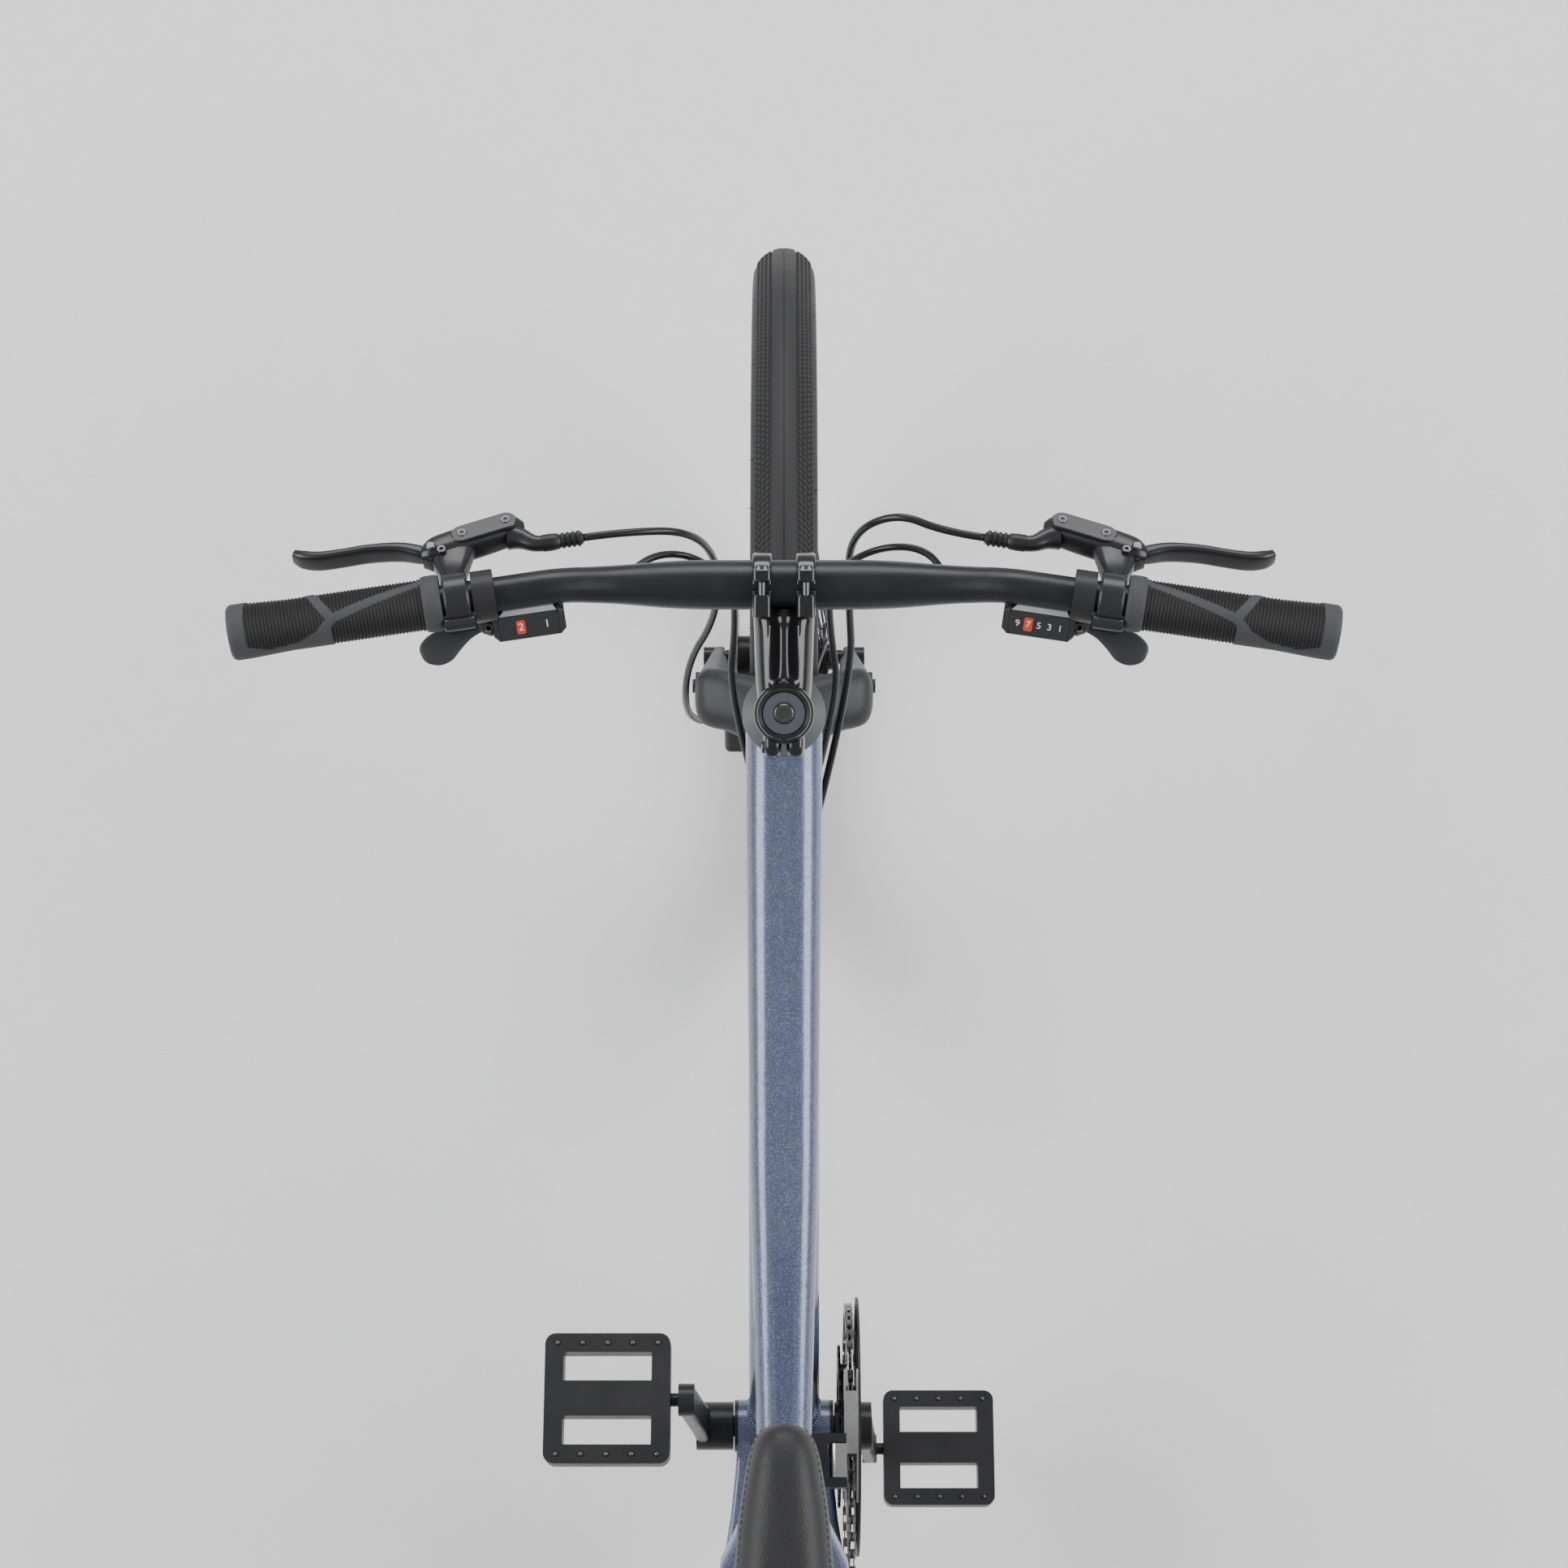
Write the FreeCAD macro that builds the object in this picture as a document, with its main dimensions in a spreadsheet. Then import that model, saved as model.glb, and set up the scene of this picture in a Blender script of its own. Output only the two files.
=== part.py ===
import FreeCAD, Part
import math
import os

import Sketcher
from FreeCAD import Placement, Rotation, Vector

# Hybrid bicycle: welded aluminium frame, rigid fork, disc brakes and a two by nine drivetrain.
# X points forward, Y to the rider's left and Z up. The origin is on the ground, midway between the axles.

SIZES = {
    # Layout of the bicycle, in side view
    "wheelbase": 1072,
    "bb_drop": 60,
    "chainstay_length": 440,
    "head_angle": 70.5,
    "seat_angle": 73.5,
    "fork_offset": 48,
    "running_gap": 0.05,
    "moving_gap": 0.5,
    "seam_gap": 0.1,
    "cut_overrun": 5,
    # Rims and tyres
    "bead_diameter": 584,
    "tyre_width": 52,
    "tyre_height": 50,
    "tyre_wall": 3.5,
    "tyre_shoulder_drop": 12,
    "tyre_bead_width": 22.6,
    "tyre_side_radius": 27,
    "tread_band_width": 19,
    "tread_groove": 1.2,
    "rim_inner_width": 23,
    "rim_flange": 2,
    "rim_flange_height": 6,
    "rim_side_depth": 6,
    "rim_depth": 19,
    "rim_nose_width": 8,
    "spoke_diameter": 2,
    "spoke_rim_offset": 1.6,
    "spoke_rim_spread": 2.4,
    # Hubs
    "axle_diameter": 12,
    "skewer_tip_diameter": 9,
    "skewer_nut_diameter": 17,
    "skewer_nut_length": 10,
    "skewer_socket": 5,
    "skewer_socket_depth": 6,
    "front_hub_width": 100,
    "rear_hub_width": 135,
    "hub_shell_diameter": 30,
    "hub_flange_diameter": 58,
    "hub_flange_thickness": 3,
    "spoke_circle_diameter": 48,
    "hub_end_diameter": 22,
    "hub_end_length": 7,
    "rotor_seat_diameter": 36,
    "front_flange_left": 20,
    "front_flange_right": 34,
    "rear_flange_left": 32,
    "rear_flange_right": 18,
    "front_rotor_place": 40,
    "rear_rotor_place": 52,
    # Brake rotors and calipers
    "rotor_diameter": 160,
    "rotor_band": 15,
    "rotor_thickness": 1.8,
    "rotor_carrier_diameter": 56,
    "rotor_arm_width": 9,
    "rotor_vent_diameter": 5.5,
    "rotor_bolt_circle": 44,
    "rotor_bolt_diameter": 5.2,
    "caliper_length": 46,
    "caliper_height": 30,
    "caliper_inboard": 13,
    "caliper_outboard": 9.5,
    "caliper_round": 5,
    "caliper_reach": 73,
    "pad_thickness": 1.4,
    "pad_length": 22,
    "pad_gap": 0.35,
    "banjo_diameter": 8,
    # Head tube, headset and steerer, measured up the steering axis from the crown
    "crown_clearance": 34,
    "crown_height": 42,
    "race_height": 6,
    "race_diameter": 50,
    "head_tube_length": 160,
    "head_tube_diameter": 54,
    "head_tube_waist": 46,
    "head_tube_flare": 24,
    "bearing_diameter": 41,
    "bearing_height": 8,
    "bearing_shoulder": 3,
    "steerer_diameter": 28.6,
    "steerer_wall": 2.3,
    "cover_diameter": 55,
    "cover_height": 11,
    "spacer_diameter": 36,
    "spacer_height": 15,
    # Fork
    "crown_center_depth": 50,
    "crown_arm_depth": 44,
    "crown_shoulder_depth": 38,
    "crown_shoulder_y": 57,
    "crown_shoulder_forward": 9,
    "crown_shoulder_drop": 30,
    "crown_arm_height": 36,
    "leg_top_width": 25,
    "leg_top_depth": 38,
    "leg_top_y": 49,
    "leg_mid_y": 55,
    "leg_mid_width": 23,
    "leg_mid_depth": 32,
    "leg_foot_width": 11,
    "leg_foot_depth": 20,
    "fork_end_thickness": 8,
    "fork_end_radius": 14,
    "fork_boss_diameter": 11,
    "fork_boss_height": 5,
    "fork_boss_low": 205,
    "fork_boss_pitch": 64,
    # Frame tubes
    "bb_shell_width": 73,
    "bb_shell_diameter": 42,
    "bb_bore": 35,
    "tube_wall": 2,
    "top_tube_head_width": 51,
    "top_tube_head_height": 44,
    "top_tube_mid_width": 46,
    "top_tube_mid_height": 36,
    "top_tube_seat_width": 34,
    "top_tube_seat_height": 30,
    "top_tube_below_head": 30,
    "down_tube_head_width": 50,
    "down_tube_head_height": 52,
    "down_tube_mid_width": 54,
    "down_tube_bb_width": 56,
    "down_tube_bb_height": 38,
    "down_tube_above_crown": 44,
    "seat_tube_diameter": 34.9,
    "seat_tube_length": 430,
    "seat_cluster_below": 39,
    "stay_wall_round": 4.6,
    "chainstay_front_y": 29,
    "chainstay_tyre_y": 40,
    "chainstay_front_height": 28,
    "chainstay_front_width": 15,
    "chainstay_end_height": 16,
    "chainstay_end_width": 12,
    "seatstay_top_y": 22,
    "seatstay_tyre_y": 43,
    "seatstay_height": 17,
    "seatstay_width": 14,
    "seatstay_below": 75,
    "stay_end_gap": 24,
    "dropout_thickness": 7,
    "dropout_radius": 17,
    "dropout_arm": 34,
    "dropout_arm_width": 20,
    "eyelet_hole": 4.2,
    "eyelet_radius": 7,
    "eyelet_reach": 24,
    "hanger_drop": 29,
    "hanger_back": 8,
    "hanger_width": 18,
    "boss_diameter": 11,
    "boss_height": 6,
    "boss_hole": 4.2,
    "boss_pitch": 64,
    "boss_above_bb": 210,
    # Seat
    "seat_collar_diameter": 42,
    "seat_collar_height": 18,
    "seat_collar_ear": 14,
    "seat_collar_split": 2,
    "collar_bolt_diameter": 5,
    "seatpost_diameter": 27.2,
    "seatpost_wall": 2.5,
    "seatpost_length": 350,
    "seatpost_exposed": 215,
    "post_head_length": 42,
    "post_head_height": 20,
    "rail_diameter": 7,
    "rail_spread": 22,
    "rail_length": 150,
    "rail_rise": 34,
    "saddle_length": 272,
    "saddle_width": 158,
    "saddle_shell_thickness": 5,
    "saddle_pad_thickness": 32,
    "saddle_set_back": 32,
    # Drivetrain
    "chain_pitch": 12.7,
    "chain_plane": 51.5,
    "roller_diameter": 7.7,
    "link_height": 8.4,
    "plate_thickness": 0.9,
    "inner_gap": 2.4,
    "pin_diameter": 3.6,
    "pin_clearance": 0.1,
    "sprocket_thickness": 1.8,
    "sprocket_pitch": 4.34,
    "ring_thickness": 2,
    "small_ring_inset": 7.5,
    "ring_bore": 88,
    "freehub_diameter": 34,
    "lockring_thickness": 2.5,
    "pulley_thickness": 2.2,
    "pulley_bore": 6,
    "bb_cup_flange": 3,
    "bb_cup_diameter": 41,
    "spindle_diameter": 17,
    "crank_length": 172.5,
    "crank_width": 30,
    "crank_end_width": 24,
    "crank_thickness": 12,
    "crank_root_place": 64,
    "crank_tip_place": 73,
    "crank_boss_diameter": 38,
    "spider_width": 16,
    "spider_bolt_circle": 104,
    "spider_tab": 12,
    "guard_diameter": 204,
    "guard_bore": 150,
    "guard_thickness": 2,
    "guard_place": 58.5,
    "pedal_axle_diameter": 10,
    "pedal_gap": 6,
    "pedal_width": 94,
    "pedal_length": 96,
    "pedal_height": 24,
    "pedal_rail": 14,
    "pedal_core": 26,
    "pedal_round": 8,
    "guide_pulley_back": -8,
    "guide_pulley_drop": 70,
    "pulley_spacing": 56,
    "cage_plate_thickness": 2,
    "cage_plate_width": 20,
    "cage_plate_gap": 4.6,
    "knuckle_diameter": 24,
    "knuckle_length": 26,
    "link_plate_width": 20,
    "front_cage_height": 21,
    "front_cage_gap": 4,
    "front_cage_plate": 1.4,
    "front_cage_clear": 5.5,
    "front_clamp_width": 14,
    "front_clamp_wall": 3.5,
    "front_clamp_height": 140,
    "front_pivot_y": 40,
    "front_pivot_length": 40,
    "front_pivot_ear": 7,
    # Stem, handlebar and grips
    "stem_clamp_height": 40,
    "stem_clamp_diameter": 39,
    "stem_length": 83,
    "stem_rise_angle": 7,
    "stem_width": 37,
    "stem_height": 34,
    "stem_scoop_diameter": 24,
    "stem_ear": 17,
    "stem_ear_height": 30,
    "strap_place": 14,
    "strap_width": 12,
    "strap_wall": 5.5,
    "strap_lug": 9,
    "bolt_diameter": 5,
    "bolt_head_diameter": 8.5,
    "bolt_head_height": 5,
    "bolt_socket": 4,
    "top_cap_diameter": 35,
    "top_cap_height": 5,
    "top_cap_flat": 27,
    "top_cap_bolt_diameter": 12.5,
    "bar_diameter": 31.8,
    "bar_end_diameter": 22.2,
    "bar_wall": 2.4,
    "bar_half_width": 345,
    "bar_clamp_half": 46,
    "bar_taper": 30,
    "bar_bend_lead": 24,
    "bar_bend_run": 42,
    "bar_bend_y": 116,
    "bar_rise": 15,
    "bar_forward": 3,
    "bar_sweep": 8.5,
    "bar_upsweep": 4,
    "grip_length": 130,
    "grip_diameter": 33,
    "grip_end_diameter": 35.5,
    "grip_flange": 36,
    "grip_flange_length": 9,
    "grip_cap": 5,
    # Brake levers
    "lever_from_grip": 9.7,
    "lever_clamp_width": 16,
    "lever_clamp_diameter": 35,
    "lever_drop_angle": 40,
    "master_forward": 44,
    "master_length": 66,
    "master_height": 21,
    "master_width": 20,
    "master_toe_in": 9,
    "master_neck_diameter": 11,
    "blade_length": 88,
    "blade_width": 15,
    "blade_thickness": 6.5,
    "blade_reach": 51,
    "blade_pivot_out": 12,
    "blade_pivot_forward": 40,
    "blade_slot": 9,
    "pivot_pin_diameter": 5,
    "boot_length": 26,
    "boot_diameter": 9.5,
    "boot_groove": 1,
    "hose_diameter": 5.2,
    # Shifters
    "shifter_from_grip": 26.7,
    "shifter_clamp_width": 14,
    "shifter_clamp_diameter": 33,
    "pod_length": 46,
    "pod_depth": 30,
    "pod_height": 20,
    "pod_below": 15,
    "window_length": 38,
    "window_depth": 16,
    "window_thickness": 3,
    "hood_border": 2.4,
    "thumb_length": 58,
    "thumb_width": 20,
    "thumb_root_width": 15,
    "thumb_thickness": 6,
    "trigger_length": 41,
    "trigger_width": 12,
    "trigger_thickness": 3.5,
    "shift_pivot_back": 10,
    "shift_pivot_in": 10,
    "shift_pin_head": 10,
    "cable_diameter": 4.8,
}

SPOKES = 32
RING_TEETH = 46
SMALL_RING_TEETH = 30
CASSETTE_TEETH = (11, 13, 15, 17, 20, 23, 26, 30, 36)
GEAR_INDEX = 2
PULLEY_TEETH = 11
SPIDER_ARMS = 4
ROTOR_ARMS = 6
ROTOR_VENTS = 24
STAY_SECTIONS = 12

doc = FreeCAD.newDocument("hybrid_bike")
sheet = doc.addObject("Spreadsheet::Sheet", "dim")
for row, (alias, number) in enumerate(SIZES.items(), start=1):
    sheet.set(f"A{row}", alias)
    sheet.set(f"B{row}", str(number))
    sheet.setAlias(f"B{row}", alias)
doc.recompute()


class Reader:
    """Reads the sheet's cells as plain numbers: d.wheelbase is the cell of that name."""

    def __getattr__(self, alias):
        return float(sheet.get(alias))


d = Reader()
nodes = []

X_AXIS = Vector(1, 0, 0)
Y_AXIS = Vector(0, 1, 0)
Z_AXIS = Vector(0, 0, 1)
HALF_TURN = 180
QUARTER_TURN = 90


def node(made, label):
    """Names a finished sub-part and lists it for export."""
    made.Label = label
    nodes.append(made)
    return made


def loose(name, shape):
    """Solid that comes straight from Part's functions."""
    made = doc.addObject("Part::Feature", name)
    made.Shape = shape
    return made


def feature(label, shape):
    """A sub-part made straight from Part's functions."""
    return node(loose(label, shape), label)


def cosine(degrees):
    return math.cos(math.radians(degrees))


def sine(degrees):
    return math.sin(math.radians(degrees))


def axes_placement(origin, x_dir, z_dir):
    """Placement whose local X and Z follow two directions that are square to each other."""
    z_unit = Vector(z_dir).normalize()
    x_unit = Vector(x_dir) - z_unit * z_unit.dot(Vector(x_dir))
    x_unit.normalize()
    y_unit = z_unit.cross(x_unit)
    matrix = FreeCAD.Matrix(
        x_unit.x, y_unit.x, z_unit.x, origin.x,
        x_unit.y, y_unit.y, z_unit.y, origin.y,
        x_unit.z, y_unit.z, z_unit.z, origin.z,
        0, 0, 0, 1,
    )
    return Placement(matrix)


def along(origin, direction):
    """Placement whose local Z runs along a direction."""
    helper = X_AXIS if abs(Vector(direction).normalize().x) < cosine(45) else Y_AXIS
    return axes_placement(origin, helper, direction)


# Sketch and primitive helpers


def origin_plane(body, role):
    return next(item for item in body.Origin.OriginFeatures if item.Role == role)


def draw_outline(sketch, corners, arcs=None):
    """Closed outline: each corner is a pair of expressions, and arcs maps a side to (radius, turn).

    A turn of 1 bulges to the right of the way round, and -1 to the left.
    """
    arcs = arcs or {}
    first = sketch.GeometryCount
    points = [Vector(float(sketch.evalExpression(a)), float(sketch.evalExpression(b)), 0) for a, b in corners]
    count = len(points)
    starts = []
    for i, start in enumerate(points):
        end = points[(i + 1) % count]
        if i not in arcs:
            sketch.addGeometry(Part.LineSegment(start, end), False)
            starts.append((1, 2))
            continue
        radius = float(sketch.evalExpression(arcs[i][0]))
        chord = end - start
        right = Vector(chord.y, -chord.x, 0).normalize()
        reach = math.sqrt(max(radius * radius - chord.Length ** 2 / 4, 0))
        centre = (start + end) / 2 - right * (reach * arcs[i][1])
        circle = Part.Circle(centre, Z_AXIS, radius)
        from_angle = math.atan2(start.y - centre.y, start.x - centre.x)
        to_angle = math.atan2(end.y - centre.y, end.x - centre.x)
        if arcs[i][1] > 0:
            sketch.addGeometry(Part.ArcOfCircle(circle, from_angle, to_angle), False)
            starts.append((1, 2))
        else:
            sketch.addGeometry(Part.ArcOfCircle(circle, to_angle, from_angle), False)
            starts.append((2, 1))
    for i in range(count):
        following = (i + 1) % count
        sketch.addConstraint(
            Sketcher.Constraint(
                "Coincident", first + i, starts[i][1], first + following, starts[following][0],
            )
        )
    for i, (across, up) in enumerate(corners):
        for kind, expression, value in (("DistanceX", across, points[i].x), ("DistanceY", up, points[i].y)):
            made = sketch.addConstraint(Sketcher.Constraint(kind, -1, 1, first + i, starts[i][0], value))
            sketch.setExpression(f"Constraints[{made}]", expression)
    for i, (radius, _) in arcs.items():
        value = float(sketch.evalExpression(radius))
        made = sketch.addConstraint(Sketcher.Constraint("Radius", first + i, value))
        sketch.setExpression(f"Constraints[{made}]", radius)


def draw_circle(sketch, across, up, diameter):
    """Circle whose centre and diameter follow expressions."""
    centre = Vector(float(sketch.evalExpression(across)), float(sketch.evalExpression(up)), 0)
    size = float(sketch.evalExpression(diameter))
    index = sketch.addGeometry(Part.Circle(centre, Z_AXIS, size / 2), False)
    for kind, expression, value in (("DistanceX", across, centre.x), ("DistanceY", up, centre.y)):
        made = sketch.addConstraint(Sketcher.Constraint(kind, -1, 1, index, 3, value))
        sketch.setExpression(f"Constraints[{made}]", expression)
    made = sketch.addConstraint(Sketcher.Constraint("Diameter", index, size))
    sketch.setExpression(f"Constraints[{made}]", diameter)


def new_sketch(body, name, role="XY_Plane"):
    sketch = body.newObject("Sketcher::SketchObject", name)
    sketch.AttachmentSupport = (origin_plane(body, role), [""])
    sketch.MapMode = "FlatFace"
    return sketch


def new_body(name, place):
    body = doc.addObject("PartDesign::Body", name)
    body.Placement = place
    return body


def turned(name, corners, place, arcs=None):
    """Body turned about its own Z axis; corners are (radius, height) expressions."""
    body = new_body(name, place)
    sketch = new_sketch(body, name + "_profile", "XZ_Plane")
    draw_outline(sketch, corners, arcs)
    made = body.newObject("PartDesign::Revolution", name + "_turned")
    made.Profile = sketch
    made.ReferenceAxis = (sketch, ["V_Axis"])
    made.Angle = 2 * HALF_TURN
    return body


def padded(name, draw, thickness, place, midplane=True):
    """Body padded from a sketch on its XY plane; draw(sketch) fills the sketch in."""
    body = new_body(name, place)
    sketch = new_sketch(body, name + "_outline")
    draw(sketch)
    pad = body.newObject("PartDesign::Pad", name + "_pad")
    pad.Profile = sketch
    pad.SideType = "Symmetric" if midplane else "One side"
    pad.setExpression("Length", thickness)
    return body


def pocket_all(body, name, draw):
    """Cuts the drawn outline right through the body."""
    sketch = new_sketch(body, name + "_outline")
    draw(sketch)
    cut = body.newObject("PartDesign::Pocket", name)
    cut.Profile = sketch
    cut.Type = "ThroughAll"
    cut.SideType = "Symmetric"
    return cut


def polar(body, name, original, count):
    pattern = body.newObject("PartDesign::PolarPattern", name)
    pattern.Originals = [original]
    pattern.Axis = (origin_axis(body, "Z_Axis"), [""])
    pattern.Angle = 2 * HALF_TURN
    pattern.Occurrences = count
    body.Tip = pattern
    return pattern


def origin_axis(body, role):
    return next(item for item in body.Origin.OriginFeatures if item.Role == role)


def cylinder(name, radius, height, place):
    """Part cylinder whose radius and height are expressions."""
    made = doc.addObject("Part::Cylinder", name)
    made.setExpression("Radius", radius)
    made.setExpression("Height", height)
    made.Placement = place
    return made


def cut(name, base, tool):
    made = doc.addObject("Part::Cut", name)
    made.Base = base
    made.Tool = tool
    return made


def fused(name, pieces):
    made = doc.addObject("Part::MultiFuse", name)
    made.Shapes = pieces
    return made


def group(label, pieces):
    """Separate solids that share one node."""
    made = doc.addObject("Part::Compound", label)
    made.Links = pieces
    return node(made, label)


def mirrored(name, source):
    """The same piece on the other side of the bicycle's middle plane."""
    made = doc.addObject("Part::Mirroring", name)
    made.Source = source
    made.Normal = Y_AXIS
    return made


# Shape helpers for lofted and bent pieces


def rounded_wire(place, width, height, radius):
    """Rounded rectangle in a placement's XY plane, width along its X."""
    half_w = width / 2
    half_h = height / 2
    r = min(radius, half_w, half_h) * 0.999
    lean = r * (1 - cosine(45))
    corner_points = (
        (half_w, -half_h + r), (half_w, half_h - r), (half_w - lean, half_h - lean), (half_w - r, half_h),
        (-half_w + r, half_h), (-half_w + lean, half_h - lean), (-half_w, half_h - r),
        (-half_w, -half_h + r), (-half_w + lean, -half_h + lean), (-half_w + r, -half_h),
        (half_w - r, -half_h), (half_w - lean, -half_h + lean),
    )
    p = [place.multVec(Vector(a, b, 0)) for a, b in corner_points]
    edges = [
        Part.LineSegment(p[0], p[1]).toShape(), Part.Arc(p[1], p[2], p[3]).toShape(),
        Part.LineSegment(p[3], p[4]).toShape(), Part.Arc(p[4], p[5], p[6]).toShape(),
        Part.LineSegment(p[6], p[7]).toShape(), Part.Arc(p[7], p[8], p[9]).toShape(),
        Part.LineSegment(p[9], p[10]).toShape(), Part.Arc(p[10], p[11], p[0]).toShape(),
    ]
    return Part.Wire(edges)


def circle_wire(place, radius):
    circle = Part.Circle()
    circle.Radius = radius
    edge = circle.toShape()
    edge.Placement = place
    return Part.Wire([edge])


def lofted(wires):
    """Solid through sections, straight from each one to the next, so that it never swings past them."""
    return Part.makeLoft(wires, True, True)


def smooth_value(knots, values, at):
    """Monotone cubic curve through values at the knots, so a loft never swings past its stations."""
    slopes = [(b - a) / (q - p) for a, b, p, q in zip(values, values[1:], knots, knots[1:])]
    tangents = [slopes[0]]
    for before, after in zip(slopes, slopes[1:]):
        tangents.append(2 * before * after / (before + after) if before * after > 0 else 0)
    tangents.append(slopes[-1])
    i = max(k for k in range(len(slopes)) if knots[k] <= at or k == 0)
    span = knots[i + 1] - knots[i]
    t = (at - knots[i]) / span
    return (
        values[i] * (1 + 2 * t) * (1 - t) ** 2 + tangents[i] * span * t * (1 - t) ** 2
        + values[i + 1] * t * t * (3 - 2 * t) + tangents[i + 1] * span * t * t * (t - 1)
    )


def resample(stations, count):
    """Evenly spaced stations on a smooth curve through (point, width, height) stations."""
    knots = [0]
    for before, after in zip(stations, stations[1:]):
        knots.append(knots[-1] + (after[0] - before[0]).Length)
    rows = [(point.x, point.y, point.z, width, height) for point, width, height in stations]
    made = []
    for k in range(count):
        at = knots[-1] * k / (count - 1)
        x, y, z, width, height = (smooth_value(knots, column, at) for column in zip(*rows))
        made.append((Vector(x, y, z), width, height))
    return made


def rounded_path(points):
    """Straight runs joined by tangent arcs, each as large as its two runs allow. Also returns the radii."""
    share = 0.45
    edges = []
    radii = []
    last = points[0]
    for before, corner, after in zip(points, points[1:], points[2:]):
        back = before - corner
        ahead = after - corner
        shorter = min(back.Length, ahead.Length)
        back.normalize()
        ahead.normalize()
        half_turn = (math.pi - back.getAngle(ahead)) / 2
        reach = share * shorter
        radius = reach / math.tan(half_turn)
        radii.append(radius)
        start = corner + back * reach
        end = corner + ahead * reach
        inward = (back + ahead).normalize()
        middle = corner + inward * (radius / math.cos(half_turn) - radius)
        if (start - last).Length > 1e-6:
            edges.append(Part.LineSegment(last, start).toShape())
        edges.append(Part.Arc(start, middle, end).toShape())
        last = end
    edges.append(Part.LineSegment(last, points[-1]).toShape())
    return Part.Wire(edges), radii


def hose(points, diameter):
    """Round cable or hose along a route."""
    wire, radii = rounded_path(points)
    start = along(points[0], points[1] - points[0])
    solid = wire.makePipeShell([circle_wire(start, diameter / 2)], True, False)
    expected = math.pi * diameter ** 2 / 4 * wire.Length
    print("route radii", [round(r) for r in radii], "volume share", round(solid.Volume / expected, 3))
    return solid


# Main points of the layout

tyre_radius = d.bead_diameter / 2 + d.tyre_height
rear_axle = Vector(-d.wheelbase / 2, 0, tyre_radius)
front_axle = Vector(d.wheelbase / 2, 0, tyre_radius)
bb = Vector(rear_axle.x + math.sqrt(d.chainstay_length ** 2 - d.bb_drop ** 2), 0, tyre_radius - d.bb_drop)
axle_to_crown = math.sqrt((tyre_radius + d.crown_clearance + d.crown_height) ** 2 - d.fork_offset ** 2)
steer_turn = Rotation(Y_AXIS, d.head_angle - QUARTER_TURN)
steer_up = steer_turn.multVec(Z_AXIS)
steer_forward = steer_turn.multVec(X_AXIS)
crown_seat = front_axle - steer_forward * d.fork_offset + steer_up * axle_to_crown
steer = Placement(crown_seat, steer_turn)
steer_origin = Placement(Vector(), steer_turn)
seat_up = Vector(-cosine(d.seat_angle), 0, sine(d.seat_angle))
seat_frame = axes_placement(bb, Vector(sine(d.seat_angle), 0, cosine(d.seat_angle)), seat_up)

# Wheels lie on their sides: local Z is the axle, pointing to the rider's left
on_side = Placement(Vector(), Rotation(X_AXIS, -QUARTER_TURN))
front_wheel = Placement(front_axle, steer_turn) * on_side
rear_wheel = Placement(rear_axle, Rotation()) * on_side


def seat_vec(x, y, z):
    return seat_frame.multVec(Vector(x, y, z))


def at_height(place, height):
    """The same placement moved along its own Z."""
    return place * Placement(Vector(0, 0, height), Rotation())


# Heights along the steering axis
head_low = d.race_height + d.moving_gap
head_high = head_low + d.head_tube_length
cover_low = head_high + d.moving_gap
spacer_low = cover_low + d.cover_height
stem_low = spacer_low + d.spacer_height
stem_high = stem_low + d.stem_clamp_height
stem_middle = (stem_low + stem_high) / 2


# Tyres and rims


def make_tyre(name, place):
    bead = "dim.bead_diameter / 2 + dim.seam_gap"
    lip = "dim.bead_diameter / 2 + dim.rim_flange_height + dim.moving_gap"
    tread = "dim.bead_diameter / 2 + dim.tyre_height"
    half_bead = "dim.tyre_bead_width / 2"
    inner_bead = "dim.tyre_bead_width / 2 - dim.tyre_wall"
    shoulder_r = f"{tread} - dim.tyre_shoulder_drop"
    inner_r = f"{tread} - dim.tyre_shoulder_drop - dim.tyre_wall / 2"
    half = "dim.tyre_width / 2"
    inner_half = "dim.tyre_width / 2 - dim.tyre_wall"
    inner_drop = "(dim.tyre_shoulder_drop - dim.tyre_wall / 2)"
    corners = [
        (bead, half_bead), (lip, half_bead), (shoulder_r, half), (shoulder_r, f"-({half})"),
        (lip, f"-({half_bead})"), (bead, f"-({half_bead})"), (bead, f"-({inner_bead})"),
        (lip, f"-({inner_bead})"), (inner_r, f"-({inner_half})"), (inner_r, inner_half),
        (lip, inner_bead), (bead, inner_bead),
    ]
    crown = f"(({half})^2 + dim.tyre_shoulder_drop^2) / (2 * dim.tyre_shoulder_drop)"
    inner_crown = f"(({inner_half})^2 + {inner_drop}^2) / (2 * {inner_drop})"
    arcs = {
        1: ("dim.tyre_side_radius", -1), 2: (crown, -1), 3: ("dim.tyre_side_radius", -1),
        7: ("dim.tyre_side_radius", 1), 8: (inner_crown, 1), 9: ("dim.tyre_side_radius", 1),
    }
    body = turned(name, corners, place, arcs)
    # Two grooves part the smooth centre band from the knobbly shoulders
    sketch = new_sketch(body, name + "_groove_profile", "XZ_Plane")
    edge = "dim.tread_band_width / 2"
    crown_drop = f"(({crown}) - sqrt(({crown})^2 - ({edge})^2))"
    floor = f"{tread} - {crown_drop} - dim.tread_groove"
    for side in ("", "-"):
        near = f"{side}({edge})"
        far = f"{side}({edge} + dim.tread_groove)"
        top = f"{tread} + dim.tread_groove"
        draw_outline(sketch, [(floor, near), (top, near), (top, far), (floor, far)])
    groove = body.newObject("PartDesign::Groove", name + "_grooves")
    groove.Profile = sketch
    groove.ReferenceAxis = (sketch, ["V_Axis"])
    groove.Angle = 2 * HALF_TURN
    return node(body, name)


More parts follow.
